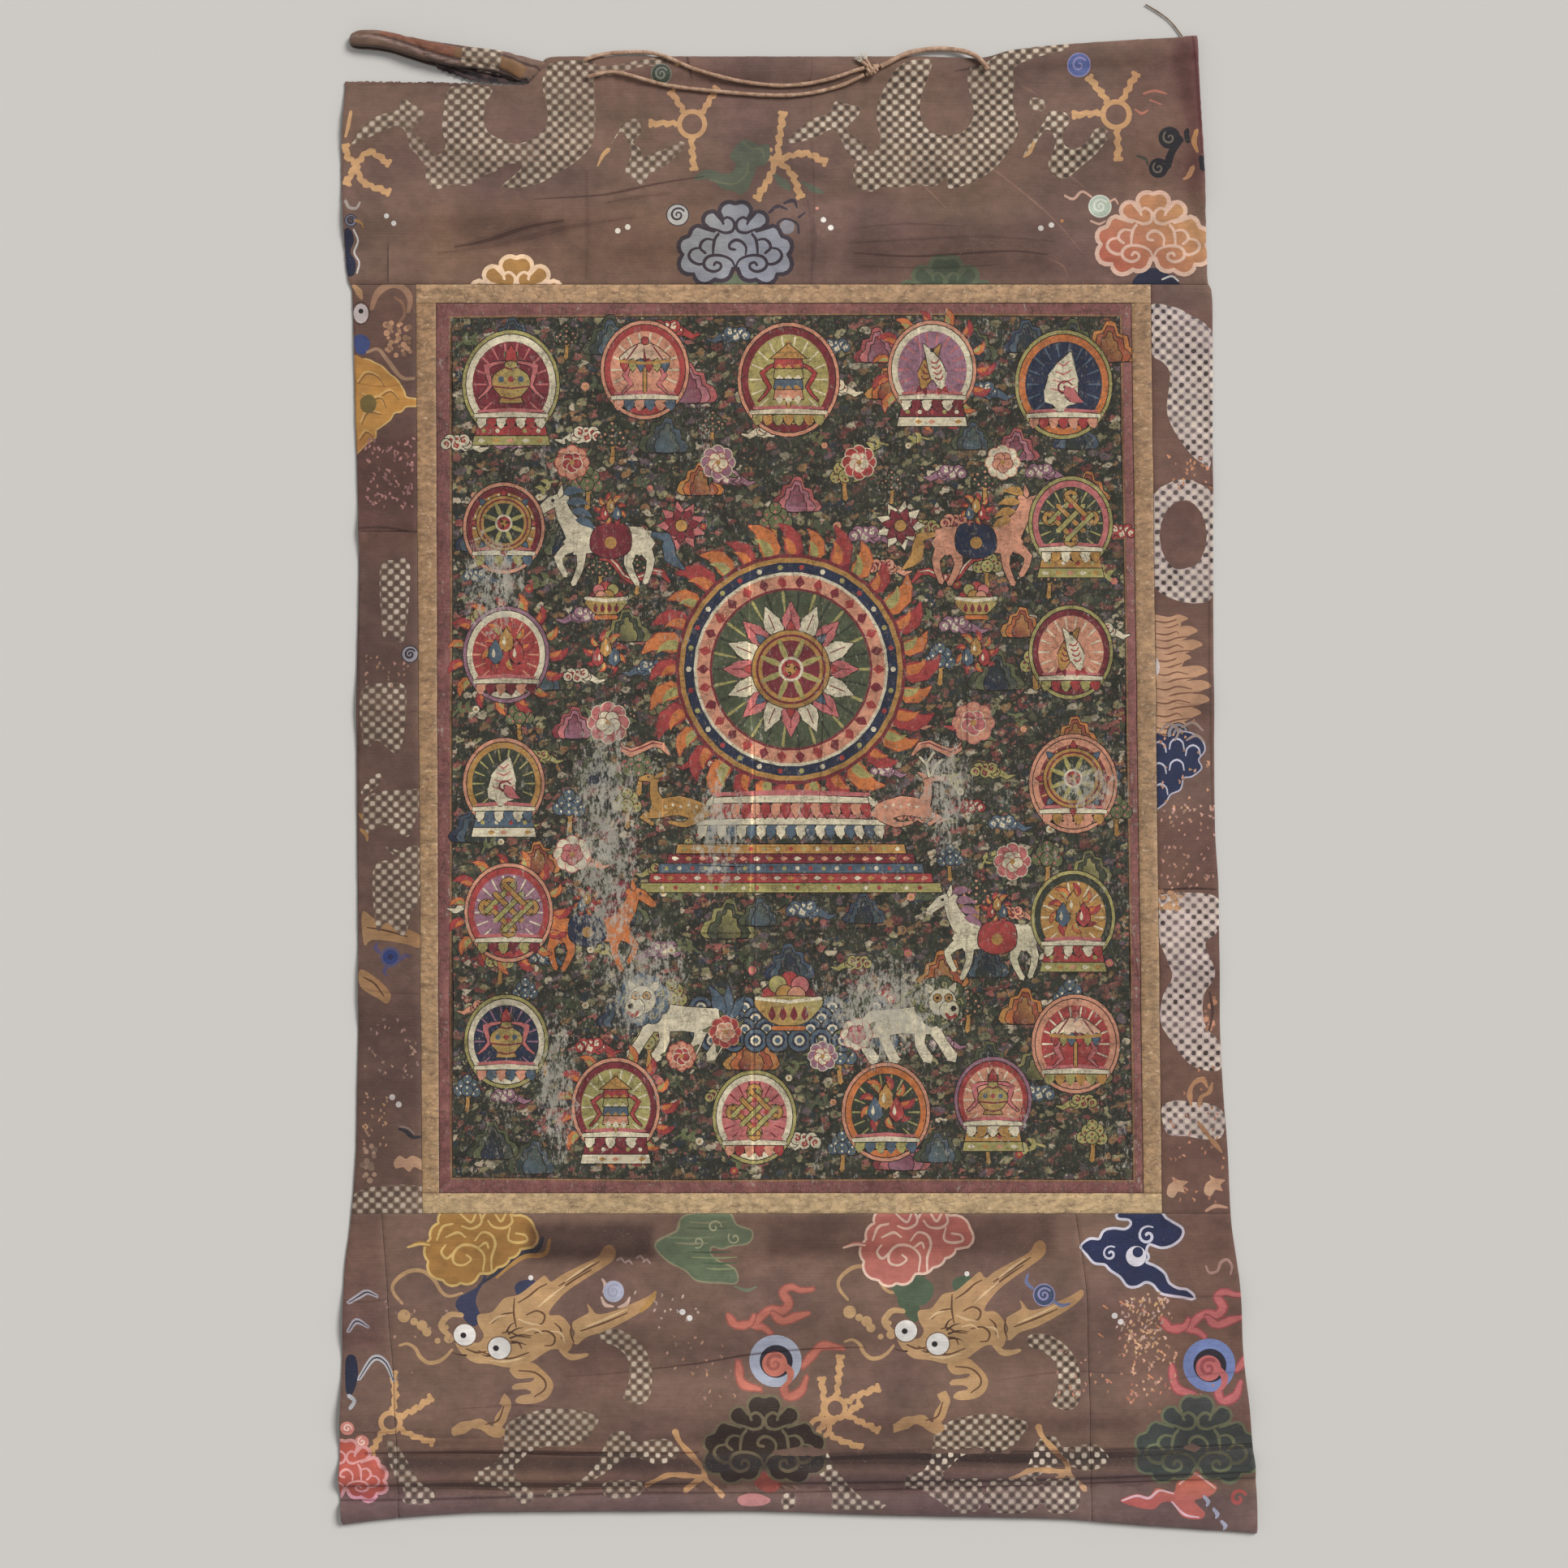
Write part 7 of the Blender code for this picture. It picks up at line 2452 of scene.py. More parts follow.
def paint_border(drawing):
    """The painted field inside its red border, with a thin dull gold line round it."""
    field = np.array(FIELD)
    drawing.shapes.append(Shape(ring_inside(field, -2.2), (138, 106, 72)))
    drawing.shapes.append(Shape(ring_inside(field, -1.0), (66, 48, 44)))
    drawing.shapes.append(Shape(field, DEEP_GREEN, lattice=1.0))


def paint_land(drawing, turn):
    """Rocks, trees and clouds all over the ground, which the emblems then cover in part."""
    bands = ((GREEN, DEEP_GREEN, SLATE), (DEEP_GREEN, LEAF_GREEN, NIGHT), (MAROON, ROSE, MAUVE),
             (NIGHT, SLATE, DEEP_GREEN), (OLIVE, GREEN, DEEP_GREEN), (OCHRE, FLAME, MAROON))
    banks = (
        (RED, CREAM), (SLATE, CREAM), (SALMON, MAROON), (CREAM, RED), (MAUVE, CREAM), (OLIVE, MAROON))
    trees = ((GREEN, RED), (SLATE, CREAM), (DEEP_GREEN, SALMON), (LEAF_GREEN, ROSE), (OLIVE, MAROON))
    for row in range(18):
        for column in range(14):
            x = -270 + 41 * column + 20 * (row % 2) + turn.uniform(-8, 8)
            y = 362 - 39 * row + turn.uniform(-8, 8)
            if x > 262 or math.hypot(x - HUB[0], y - HUB[1]) < 108:
                continue
            kind = turn.random()
            brush = Brush(drawing, x, y, scale=turn.uniform(0.9, 1.25), mirror=turn.random() < 0.5)
            if kind < 0.3:
                paint_rock(brush.at(0, -12), 34, 24, list(turn.choice(bands)))
            elif kind < 0.5:
                paint_tree(brush, 13, *turn.choice(trees))
            elif kind < 0.78:
                paint_curls(brush.at(-8, 0), 11, *turn.choice(banks))
            else:
                paint_sprig(
                    brush.at(-8, 0, turn=turn.uniform(-40, 40)), 19,
                    turn.choice((GREEN, LEAF_GREEN, OLIVE)), turn.choice((RED, CREAM, SALMON, ROSE)))


def paint_middle(drawing):
    """The great wheel on its lotus, in a ring of fire, over a throne and its offerings."""
    centre = Brush(drawing, *HUB)
    paint_flames(centre, 92, 32, 36)
    for radius, colour in (
            (95, MAROON), (92, OCHRE), (88, NIGHT), (80, CREAM), (77.5, SALMON), (67, MAROON),
            (65, GREEN)):
        centre.disc(0, 0, radius, colour)
    for i in range(30):
        way = math.radians(i * 12)
        centre.disc(84 * math.cos(way), 84 * math.sin(way), 2.3, (CREAM, RED, OLIVE)[i % 3])
        centre.leaf(69 * math.cos(way), 69 * math.sin(way), i * 12, 8, 7.6, (RED, MAROON)[i % 2])
        centre.stroke(
            [(46 * math.cos(way), 46 * math.sin(way)), (63 * math.cos(way), 63 * math.sin(way))],
            (1.2, 2.6), (OLIVE, DEEP_GREEN)[i % 2])
    for i in range(16):
        way = math.radians(i * 22.5)
        centre.leaf(
            28 * math.cos(way), 28 * math.sin(way), i * 22.5, 27, 15, (ROSE, CREAM)[i % 2], line=LINE,
            vein=MAROON)
    paint_wheel(centre, 32, MAROON)
    below = Brush(drawing, HUB[0], HUB[1] - 114)
    paint_throne(below.at(0, -30), 186, (OCHRE, MAROON, SLATE, RED, OLIVE))
    paint_seat(below.at(0, -14, 1.3), 116, SLATE, CREAM)
    paint_seat(below.at(0, 4, 1.4), 92, RED, SALMON)
    for side in (-1, 1):
        beside = Brush(drawing, HUB[0] + side * 104, HUB[1], mirror=side < 0)
        for y, length, colour, pale in ((72, 60, RED, CREAM), (-70, 62, SALMON, MAROON)):
            paint_scarf(beside.at(-4, y, turn=14), length, colour, pale)
        paint_deer(beside.at(-8, -112, turn=0), 46, (OCHRE, SALMON)[side > 0], horns=side > 0)
        paint_lotus(beside.at(-14, 118), 19, CREAM if side > 0 else ROSE, MAROON)
        paint_jewels(beside.at(48, 12), 19)
        paint_peony(beside.at(46, -44), 17, ((ROSE, CREAM, MAROON), (SALMON, ROSE, CREAM))[side > 0])
        paint_bowl(beside.at(48, 56), 19)
    paint_horse(Brush(drawing, -160, 196, mirror=True), 72, CREAM, SLATE, MAROON)
    paint_horse(Brush(drawing, 152, 196), 72, SALMON, OCHRE, NIGHT)


def paint_foreground(drawing):
    """Lions, horses and bowls below the throne, with water between them."""
    for row in range(4):
        for i in range(9):
            x, y = -80 + i * 18 + (row % 2) * 9, -186 - row * 9.0
            brush = Brush(drawing, x, y)
            for radius, colour in ((10.5, LINE), (9.2, SLATE), (6.4, NIGHT), (4.4, CREAM), (2.6, SLATE)):
                brush.disc(0, 0, radius, colour)
    paint_horse(Brush(drawing, -168, -124), 66, FLAME, MAROON, NIGHT)
    paint_horse(Brush(drawing, 158, -130, mirror=True), 68, CREAM, MAUVE, RED)
    paint_lion(Brush(drawing, -98, -198, mirror=True), 66, CREAM, SLATE)
    paint_lion(Brush(drawing, 88, -200), 66, CREAM, GREEN)
    paint_bowl(Brush(drawing, -8, -182), 30)
    for x, y, size, colours in (
            (-60, -206, 13, (RED, SALMON, CREAM)), (48, -208, 13, (CREAM, ROSE, MAROON)), (-186, -60, 15,
            (CREAM, ROSE, MAROON)), (176, -66, 15, (ROSE, CREAM, RED)), (-96, -226, 12,
            (SALMON, RED, CREAM)), (20, -226, 12, (MAUVE, CREAM, RED)), (-186, 262, 14,
            (SALMON, RED, CREAM)), (168, 262, 14, (CREAM, SALMON, MAROON)), (-66, 262, 14,
            (MAUVE, CREAM, RED)), (50, 262, 14, (RED, CREAM, ROSE))):
        paint_peony(Brush(drawing, x, y), size, colours)


def paint_emblems(drawing):
    """The emblems, each before its halo and on its seat."""
    for i, (x, y, radius, field, rim, rays) in enumerate(HALOES):
        brush = Brush(drawing, x, y)
        if i % 4 == 3:
            paint_flames(brush, radius * 1.04, 15, 17)
        paint_halo(brush, radius * 0.92, field, rim, rays)
        base = (RED, SLATE, OCHRE, MAROON)[i % 4]
        if i % 3 == 0:
            paint_throne(brush.at(0, -radius * 0.86), radius * 1.4, (base, (OLIVE, CREAM)[i % 2]))
        paint_seat(brush.at(0, -radius * 0.68), radius * 1.35, base, (CREAM, SALMON, OLIVE)[i % 3])
        EMBLEMS[(i * 3 + i // 8) % 8](brush.at(0, radius * 0.12), radius * 0.68)


def canvas_drawing():
    """The painting, one layer over another."""
    turn = random.Random(88)
    drawing = Drawing(canvas_ground, canvas_tone)
    paint_border(drawing)
    paint_land(drawing, turn)
    paint_middle(drawing)
    paint_foreground(drawing)
    paint_emblems(drawing)
    add_creases(drawing, CANVAS_CREASES)
    return drawing


# Where the paint has gone pale or dark: a box on the draft, its soft edge and what it does.
CANVAS_PATCHES = [
    Patch(560, 540, 700, 700, 40, (0.82, 0.82, 0.82)),
    Patch(540, 1180, 760, 1260, 40, (0.8, 0.8, 0.8)),
    Patch(1100, 1150, 1300, 1250, 40, (0.84, 0.86, 0.82)),
    Patch(820, 400, 1100, 640, 50, (1.1, 1.04, 1.0)),
    Patch(914, 620, 936, 1480, 5, (1.2, 1.19, 1.15)),
    Patch(812, 900, 826, 1480, 4, (1.14, 1.13, 1.1)),
]


# Pale lines where the paint is rubbed along its folds, and painted shade along others.
CANVAS_CREASES = [
    Crease([(925, 640), (923, 800), (927, 950), (924, 1150), (926, 1300), (928, 1452)], 1.3,
           (1.5, 1.45, 1.4)),
    Crease([(929, 900), (931, 1060), (929, 1240), (932, 1440)], 1.1, SHADE),
    Crease([(818, 900), (816, 1050), (820, 1200), (817, 1400)], 1.2, (1.35, 1.3, 1.26)),
    Crease([(1188, 800), (1192, 900), (1189, 1000), (1193, 1110)], 1.5, SHADE),
    Crease([(1130, 384), (1134, 440), (1130, 520), (1134, 600)], 1.2, (1.4, 1.35, 1.3)),
    Crease([(742, 620), (747, 760), (742, 880), (748, 1010)], 1.3, (1.4, 1.35, 1.3)),
    Crease([(1010, 700), (1014, 860), (1009, 1000)], 1.1, SHADE),
    Crease([(1270, 384), (1274, 500), (1269, 640)], 1.1, FAINT),
    Crease([(560, 560), (640, 556), (740, 562), (830, 558)], 1.2, SHADE),
    Crease([(900, 620), (1010, 626), (1120, 618)], 1.1, (1.3, 1.28, 1.25)),
    Crease([(760, 1062), (860, 1056), (980, 1062), (1120, 1056)], 1.3, (1.35, 1.32, 1.28)),
    Crease([(780, 1146), (900, 1150), (1060, 1144), (1180, 1150)], 1.3, SHADE),
    Crease([(560, 1226), (700, 1232), (860, 1226), (1040, 1230)], 1.2, (1.3, 1.28, 1.26)),
    Crease([(1140, 880), (1240, 886), (1380, 880)], 1.2, SHADE),
]


def canvas_tone(places):
    """The soil and fading of the painting."""
    return patched_tone(places, CANVAS_PATCHES, 0.1, 31, 40)


# ---------------------------------------------------------------- the cloths

def add_canvas(drawing):
    """The painted canvas, inside its four strips."""
    half = SEAM_GAP / 2
    outline = block(inset(strip_inner_left, half), inset(strip_inner_right, -half),
                    CANVAS_BOTTOM_Y + half, CANVAS_TOP_Y - half)
    add_cloth("painted_canvas", outline, drawing, even_thickness(CANVAS_THICK), CANVAS,
              spacing=9.0)


def add_gold_strips(drawing):
    """The four strips, butted at the corners."""
    half = SEAM_GAP / 2
    outer = (inset(strip_outer_left, half), inset(strip_outer_right, -half))
    outlines = {
        "strip_top": block(*outer, CANVAS_TOP_Y + half, TOP_SEAM_Y - half), "strip_bottom": block(*outer,
        BOTTOM_SEAM_Y + half, CANVAS_BOTTOM_Y - half), "strip_left": block(outer[0],
        inset(strip_inner_left, -half), CANVAS_BOTTOM_Y + half, CANVAS_TOP_Y - half),
        "strip_right": block(inset(strip_inner_right, half), outer[1], CANVAS_BOTTOM_Y + half,
        CANVAS_TOP_Y - half),}
    for node, outline in outlines.items():
        add_cloth(node, outline, drawing, even_thickness(STRIP_THICK), GOLD,
                  spacing=3.6)


def add_brocade_panels(top_drawing, side_drawing, bottom_drawing):
    """The eight pieces of brocade, each inside its own seams."""
    half = SEAM_GAP / 2
    foot = TOP_SEAM_Y + half
    right_x, right_y = corner(right_edge, top_edge, 612.0)
    left_x, left_y = corner(left_edge, top_edge, 575.0)
    outline = join_sides(
        level(level_seam(foot), left_edge(foot), right_edge(foot)),
        ragged(upright(right_edge, foot, right_y), 0.25, 1), ragged(level(top_edge, right_x, -206.0, 3.0),
        0.2, 2), ragged(level(top_edge, -206.0, left_x, 1.6), 0.8, 3),
        ragged(upright(left_edge, left_y, foot), 0.25, 4))
    add_cloth("panel_top", outline, top_drawing, brocade_thickness, BROCADE)
    sides = {
        "panel_left_upper": (left_edge, inset(strip_outer_left, -half), LEFT_PIECING_Y, TOP_SEAM_Y),
        "panel_left_lower": (left_edge, inset(strip_outer_left, -half), BOTTOM_SEAM_Y, LEFT_PIECING_Y),
        "panel_right_upper": (inset(strip_outer_right, half), right_edge, RIGHT_PIECING_Y, TOP_SEAM_Y),
        "panel_right_lower": (inset(strip_outer_right, half), right_edge, BOTTOM_SEAM_Y,
        RIGHT_PIECING_Y),}
    for node, (left, right, low, high) in sides.items():
        add_cloth(node, block(left, right, low + half, high - half), side_drawing, brocade_thickness,
                  BROCADE)
    bottoms = {
        "panel_bottom_left": (left_edge, inset(bottom_left_seam, -half)),
        "panel_bottom_main": (inset(bottom_left_seam, half), inset(bottom_right_seam, -half)),
        "panel_bottom_right": (inset(bottom_right_seam, half), right_edge),
    }
    head_y = BOTTOM_SEAM_Y - half
    for node, (left, right) in bottoms.items():
        left_x, left_y = corner(left, bottom_edge, -605.0)
        right_x, right_y = corner(right, bottom_edge, -605.0)
        outline = join_sides(
            ragged(level(bottom_edge, left_x, right_x), 0.25, 5), upright(right, right_y, head_y),
            level(level_seam(head_y), right(head_y), left(head_y)), upright(left, head_y, left_y))
        add_cloth(node, outline, bottom_drawing, brocade_thickness, BROCADE)


# ---------------------------------------------------------------- the torn heading, curled up

RollRow = namedtuple("RollRow", "x y turn half_width height")
HEADING_ROLL = [
    RollRow(-368.5, 608.4, 0, 3.5, 5.0),
    RollRow(-366.5, 608.6, 0, 6.2, 8.5),
    RollRow(-360, 609.0, -2, 8.2, 11.0),
    RollRow(-348, 608.6, -6, 8.8, 12.5),
    RollRow(-334, 606.4, -13, 8.8, 12.0),
    RollRow(-318, 602.2, -17, 9.6, 13.0),
    RollRow(-300, 597.6, -14, 10.6, 14.0),
    RollRow(-282, 594.4, -8, 11.0, 13.0),
    RollRow(-264, 592.4, -6, 10.6, 12.0),
    RollRow(-248, 590.2, -10, 10.8, 11.5),
    RollRow(-234, 586.8, -18, 11.6, 10.0),
    RollRow(-224, 583.6, -32, 12.6, 7.0),
    RollRow(-217.2, 583.4, -44.5, 12.4, 5.0),
    RollRow(-214.6, 581.0, -45.5, 12.6, 2.4),
]
# The middle of the cloth where it winds round, as shares of the roll's half width and height.
ROLL_WINDING = [
    (-0.92, 0.1), (-0.5, 0.06), (0.0, 0.06), (0.45, 0.07), (0.77, 0.18), (0.92, 0.42), (0.83, 0.69),
    (0.54, 0.88), (0.1, 0.93), (-0.37, 0.86), (-0.71, 0.69), (-0.79, 0.53), (-0.6, 0.45), (-0.2, 0.42),
    (0.12, 0.45), (0.24, 0.57), (0.08, 0.68), (-0.18, 0.68),
]
ROLL_CLOTH = 1.0
ROLL_STATIONS = 110
# The lining that shows under the roll, dark with painted shade: its torn lower edge and its hidden upper
# edge.
LINING_LOWER = [
    (-296, 585), (-284, 581), (-270, 576.5), (-256, 574.5), (-240, 574), (-228, 573.2), (-222, 573.6),
]
LINING_UPPER = [(-300, 593), (-286, 592), (-270, 590), (-256, 589), (-240, 587), (-226, 584), (-214, 582)]


def layers(outer, inner):
    """A thin closed sheet between two grids of points. Returns its points and faces."""
    rows, count = outer.shape[:2]
    far = rows * count
    faces = []
    for side in (0, far):
        for i in range(rows - 1):
            for j in range(count - 1):
                a = side + i * count + j
                quad = (a, a + 1, a + count + 1, a + count)
                faces.append(quad if side else quad[::-1])
    for i in range(rows - 1):
        for j in (0, count - 1):
            a, b = i * count + j, (i + 1) * count + j
            wall = (a, b, b + far, a + far)
            faces.append(wall if j else wall[::-1])
    for j in range(count - 1):
        for i in (0, rows - 1):
            a = i * count + j
            wall = (a, a + 1, a + 1 + far, a + far)
            faces.append(wall[::-1] if i else wall)
    return np.concatenate((outer.reshape(-1, 3), inner.reshape(-1, 3))), faces


def roll_groove(s, t):
    """How deep the cloth is drawn in, at a share s along the roll and t round it."""
    fold = 0.36 + 0.24 * s
    deep = np.exp(-((t - fold - 0.1) / 0.022) ** 2) + 0.8 * np.exp(-((t - fold + 0.085) / 0.02) ** 2)
    cross = np.exp(-((s - 0.1 - 0.5 * t) / 0.02) ** 2) + np.exp(-((s - 0.72 - 0.4 * t) / 0.022) ** 2)
    return 1.0 * deep * np.clip(s * 6, 0, 1) + 0.7 * cross


def roll_colours(s, t, ground):
    """Brown with an orange-brown figure that runs along it. Its lighter streaks are painted sheen, a
    pale line past the upper groove is a painted highlight, and the dark in its folds, inside and
    underneath is painted shade.
    """
    fold = 0.36 + 0.24 * s
    # The lighter streaks in the band are painted sheen.
    sheen_streak = np.sin(t * 150 + 5 * np.sin(s * 11)) * 0.5 + np.sin(s * 60 + t * 40) * 0.3
    band = (np.abs(t - fold) < 0.085 + 0.015 * np.sin(s * 17)) & (s > 0.16) & (s < 0.94)
    colours = np.where(band[:, None], linear((116, 72, 54)), ground)
    colours = np.where((band & (sheen_streak > 0.3))[:, None], linear((134, 84, 60)), colours)
    colours = np.where((band & (s > 0.56))[:, None], linear((124, 90, 58)), colours)
    # Painted shade: dark lines along the two grooves.
    rim = (np.abs(np.abs(t - fold) - 0.1) < 0.014) & (s > 0.12)
    colours = np.where(rim[:, None], linear((84, 62, 58)), colours)
    # Painted highlight: a pale line just past the upper groove.
    pale = (np.abs(t - fold - 0.15) < 0.02) & (sheen_streak > -0.3)
    colours = np.where(pale[:, None], linear((146, 122, 112)), colours)
    # Painted shade inside the roll and on its underside.
    shade = 1 - 0.75 * np.clip((t - 0.64) / 0.06, 0, 1) - 0.5 * np.clip((0.3 - t) / 0.08, 0, 1)
    return colours * np.clip(shade, 0.08, 1)[:, None]


def add_heading_roll():
    """A loose roll of cloth, open towards the painting, in the place of the solid one."""
    stations = np.array(HEADING_ROLL, dtype=float)
    along = np.concatenate(([0], np.cumsum(np.hypot(np.diff(stations[:, 0]), np.diff(stations[:, 1])))))
    fine = np.linspace(0, along[-1], ROLL_STATIONS)
    smooth = [smooth_curve(list(zip(along, column))) for column in stations.T]
    winding = bend(ROLL_WINDING, step=0.07)
    turn = np.gradient(winding, axis=0)
    t = np.linspace(0, 1, len(winding))
    outer, inner = [], []
    for distance in fine:
        x, y, angle, half_width, height = (float(curve(distance)) for curve in smooth)
        size = np.array([half_width - 0.4, height - 0.2])
        centre = winding * size
        normal = np.column_stack((turn[:, 1] * size[1], -turn[:, 0] * size[0]))
        normal /= np.hypot(normal[:, 0], normal[:, 1])[:, None]
        wrinkle = 0.3 * np.sin(distance * 0.31 + t * 9) + 0.22 * np.sin(distance * 0.83 - t * 14)
        pressed = 0.35 + 0.35 * np.abs(
            wrinkle) + roll_groove(distance / along[-1], t) * min(1.0, height / 9)
        centre = centre - normal * pressed[:, None]
        aside = (-math.sin(math.radians(angle)), math.cos(math.radians(angle)))
        for rows, offset in ((outer, ROLL_CLOTH / 2), (inner, -ROLL_CLOTH / 2)):
            section = centre + normal * offset
            rows.append(
                np.column_stack((x + aside[0] * section[:, 0], y + aside[1] * section[:, 0],
                np.maximum(section[:, 1], 0.0))))
    vertices, faces = layers(np.array(outer), np.array(inner))
    s = np.tile(np.repeat(np.linspace(0, 1, len(fine)), len(t)), 2)
    colours = roll_colours(s, np.tile(t, 2 * len(fine)), brocade_ground(vertices[:, :2]))
    latticed = (s > 0.6) & (s < 0.8) & (np.tile(t, 2 * len(fine)) < 0.67)
    colours = np.where(latticed[:, None], linear(SCALES), colours)
    lining, lining_faces, lining_colours = torn_lining()
    faces += [tuple(index + len(vertices) for index in face) for face in lining_faces]
    vertices = np.concatenate((vertices, lining))
    colours = np.concatenate((colours, lining_colours))
    latticed = np.concatenate((latticed, np.zeros(len(lining), dtype=bool)))
    piece = add_mesh("heading_roll_cloth", vertices * MM, faces, BROCADE, 70)
    corners = np.array([index for face in faces for index in face])
    masks = np.zeros((len(corners), 3))
    masks[:, 0] = latticed[corners] * 1.0
    masks[:, 1] = 0.5
    set_corner_colours(piece.data, "Col", colours[corners])
    set_corner_colours(piece.data, "Mask", masks)
    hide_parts("heading_roll")
    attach(piece, "root")


def spread_evenly(line, count):
    """A count of places along a flat line, evenly spread over its own points."""
    shares, own = np.linspace(0, 1, count), np.linspace(0, 1, len(line))
    return np.column_stack([np.interp(shares, own, line[:, k]) for k in (0, 1)])


def torn_lining():
    """A crumpled flap of dark lining between the roll and the torn edge of the panel. Its near-black is
    partly the lining's own colour and partly painted shade under the roll; the browner tone on its
    ripples is a painted highlight.
    """
    lower, upper = bend(LINING_LOWER, step=1.6), bend(LINING_UPPER, step=1.6)
    count = min(len(lower), len(upper))
    lower, upper = spread_evenly(lower, count), spread_evenly(upper, count)
    wave = np.arange(count)
    lower[:, 1] += 0.7 * np.sin(wave * 1.7) + 0.5 * np.sin(wave * 3.1)
    shares = np.linspace(0, 1, 12)
    flat = lower[:, None] + shares[None, :, None] * (upper - lower)[:, None]
    ripples = 0.9 * np.sin(shares[None] * 15 + wave[:, None] * 0.35) + 0.6 * np.sin(wave[:, None] * 0.8)
    height = 2.0 + 0.8 * ripples * np.sin(shares * math.pi)[None] + 0.6 * shares[None]
    height = np.maximum(height, 0.9)
    top = np.concatenate((flat, height[:, :, None]), axis=2)
    under = top - (0, 0, 0.8)
    vertices, faces = layers(top, under)
    # Painted shade in near-black, with painted highlight in brown where the ripples rise.
    dark, brown = linear((36, 27, 30)), linear((94, 72, 70))
    share = np.clip(0.5 + 0.42 * ripples + 0.2 * np.sin(wave * 0.6)[:, None], 0, 1) ** 2
    colours = dark + share[:, :, None] * (brown - dark) * 0.8
    return vertices, faces, np.tile(colours.reshape(-1, 3), (2, 1))


# ---------------------------------------------------------------- the tie

THIN_STRAND = 3.2
THICK_STRAND = 4.0
CORNER_THREAD = 1.2
LOWER_STRAND_ROUTE = [
    (-172.0, 577.8, 5.9), (-166.0, 579.6, 6.3), (-157.0, 581.4, 6.4), (-148.0, 581.2, 6.4),
    (-138.0, 579.0, 6.2), (-126.0, 575.8, 5.5), (-113.0, 572.4, 4.4), (-98.0, 569.8, 4.1),
    (-82.0, 568.0, 4.0), (-66.0, 566.4, 4.0), (-48.0, 564.8, 4.0), (-28.0, 563.4, 4.0),
    (-8.0, 563.2, 4.0), (10.0, 565.0, 4.0), (26.0, 568.4, 4.1), (38.0, 572.2, 4.6),
    (47.0, 576.0, 5.7), (54.0, 579.4, 6.6),
]
UPPER_STRAND_ROUTE = [
    (-176.0, 591.0, 6.3), (-168.0, 594.4, 6.0), (-156.0, 597.4, 4.0), (-142.0, 598.8, 2.2),
    (-129.0, 599.0, 2.2), (-118.0, 597.4, 3.9), (-108.0, 594.0, 6.1), (-98.0, 589.6, 6.5),
    (-86.0, 584.4, 6.6), (-70.0, 579.6, 6.3), (-52.0, 575.4, 5.2), (-34.0, 572.6, 4.3),
    (-14.0, 571.2, 4.1), (6.0, 572.4, 4.3), (22.0, 575.4, 5.2), (36.0, 579.2, 6.2),
    (46.0, 582.6, 6.6), (54.4, 584.9, 6.9),
]
RIGHT_STRAND_ROUTE = [
    (67.6, 586.0, 7.4), (74.0, 589.4, 7.1), (82.0, 593.8, 6.6), (90.0, 597.4, 5.1),
    (100.0, 600.2, 3.0), (112.0, 601.6, 2.5), (124.0, 601.4, 2.5), (135.0, 599.4, 3.9),
    (144.0, 595.6, 6.4), (151.0, 590.0, 7.0), (155.5, 583.6, 6.8),
]
CORNER_THREAD_ROUTE = [
    (315.6, 612.4, 1.0), (313.0, 616.0, 0.8), (309.0, 621.2, 0.8), (304.0, 626.4, 0.8),
    (298.0, 631.0, 0.8), (291.0, 635.4, 0.8), (285.5, 638.6, 0.8),
]
KNOT_PLACE = Vector((60.6, 582.8, 8.2))
KNOT_TURN = 25.0
COIL_TURNS = 2.4
COIL_POINTS = 49
FIBRES_A_TAIL = 34
TailRow = namedtuple("TailRow", "x y z root_radius tip_radius")
KNOT_TAILS = [TailRow(48.4, 593.6, 6.2, 1.3, 0.5), TailRow(53.2, 596.4, 6.4, 1.1, 0.4)]


def smooth_route(route, step):
    """Points a step apart along a smooth curve through a route's own points."""
    table = np.array(route, dtype=float)
    padded = np.concatenate(([2 * table[0] - table[1]], table, [2 * table[-1] - table[-2]]))
    line = []
    for a, b, c, d in zip(padded, padded[1:], padded[2:], padded[3:]):
        line += [between(a, b, c, d, t) for t in np.arange(12) / 12]
    line = np.array(line + [table[-1]])
    travelled = np.concatenate(([0], np.cumsum(np.linalg.norm(np.diff(line, axis=0), axis=1))))
    even = np.linspace(0, travelled[-1], max(2, round(travelled[-1] / step)) + 1)
    return np.column_stack([np.interp(even, travelled, line[:, k]) for k in range(3)])


def add_cord(node, route, diameter, material, unevenness):
    """One strand along its route, a little uneven in its thickness."""
    points = smooth_route(route, 2.0)
    data = bpy.data.curves.new(f"{node}_line", "CURVE")
    data.dimensions = "3D"
    data.bevel_depth = diameter / 2 * MM
    data.bevel_resolution = 5
    data.use_fill_caps = True
    spline = data.splines.new("POLY")
    spline.points.add(len(points) - 1)
    for i, (target, place) in enumerate(zip(spline.points, points)):
        target.co = (*(place * MM), 1.0)
        target.radius = 1 + unevenness * (math.sin(i * 0.55) * 0.6 + math.sin(i * 1.43 + 1) * 0.4)
    spline.use_smooth = True
    data.materials.append(material)
    piece = bpy.data.objects.new(f"{node}_line", data)
    bpy.context.scene.collection.objects.link(piece)
    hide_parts(node)
    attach(piece, "root")


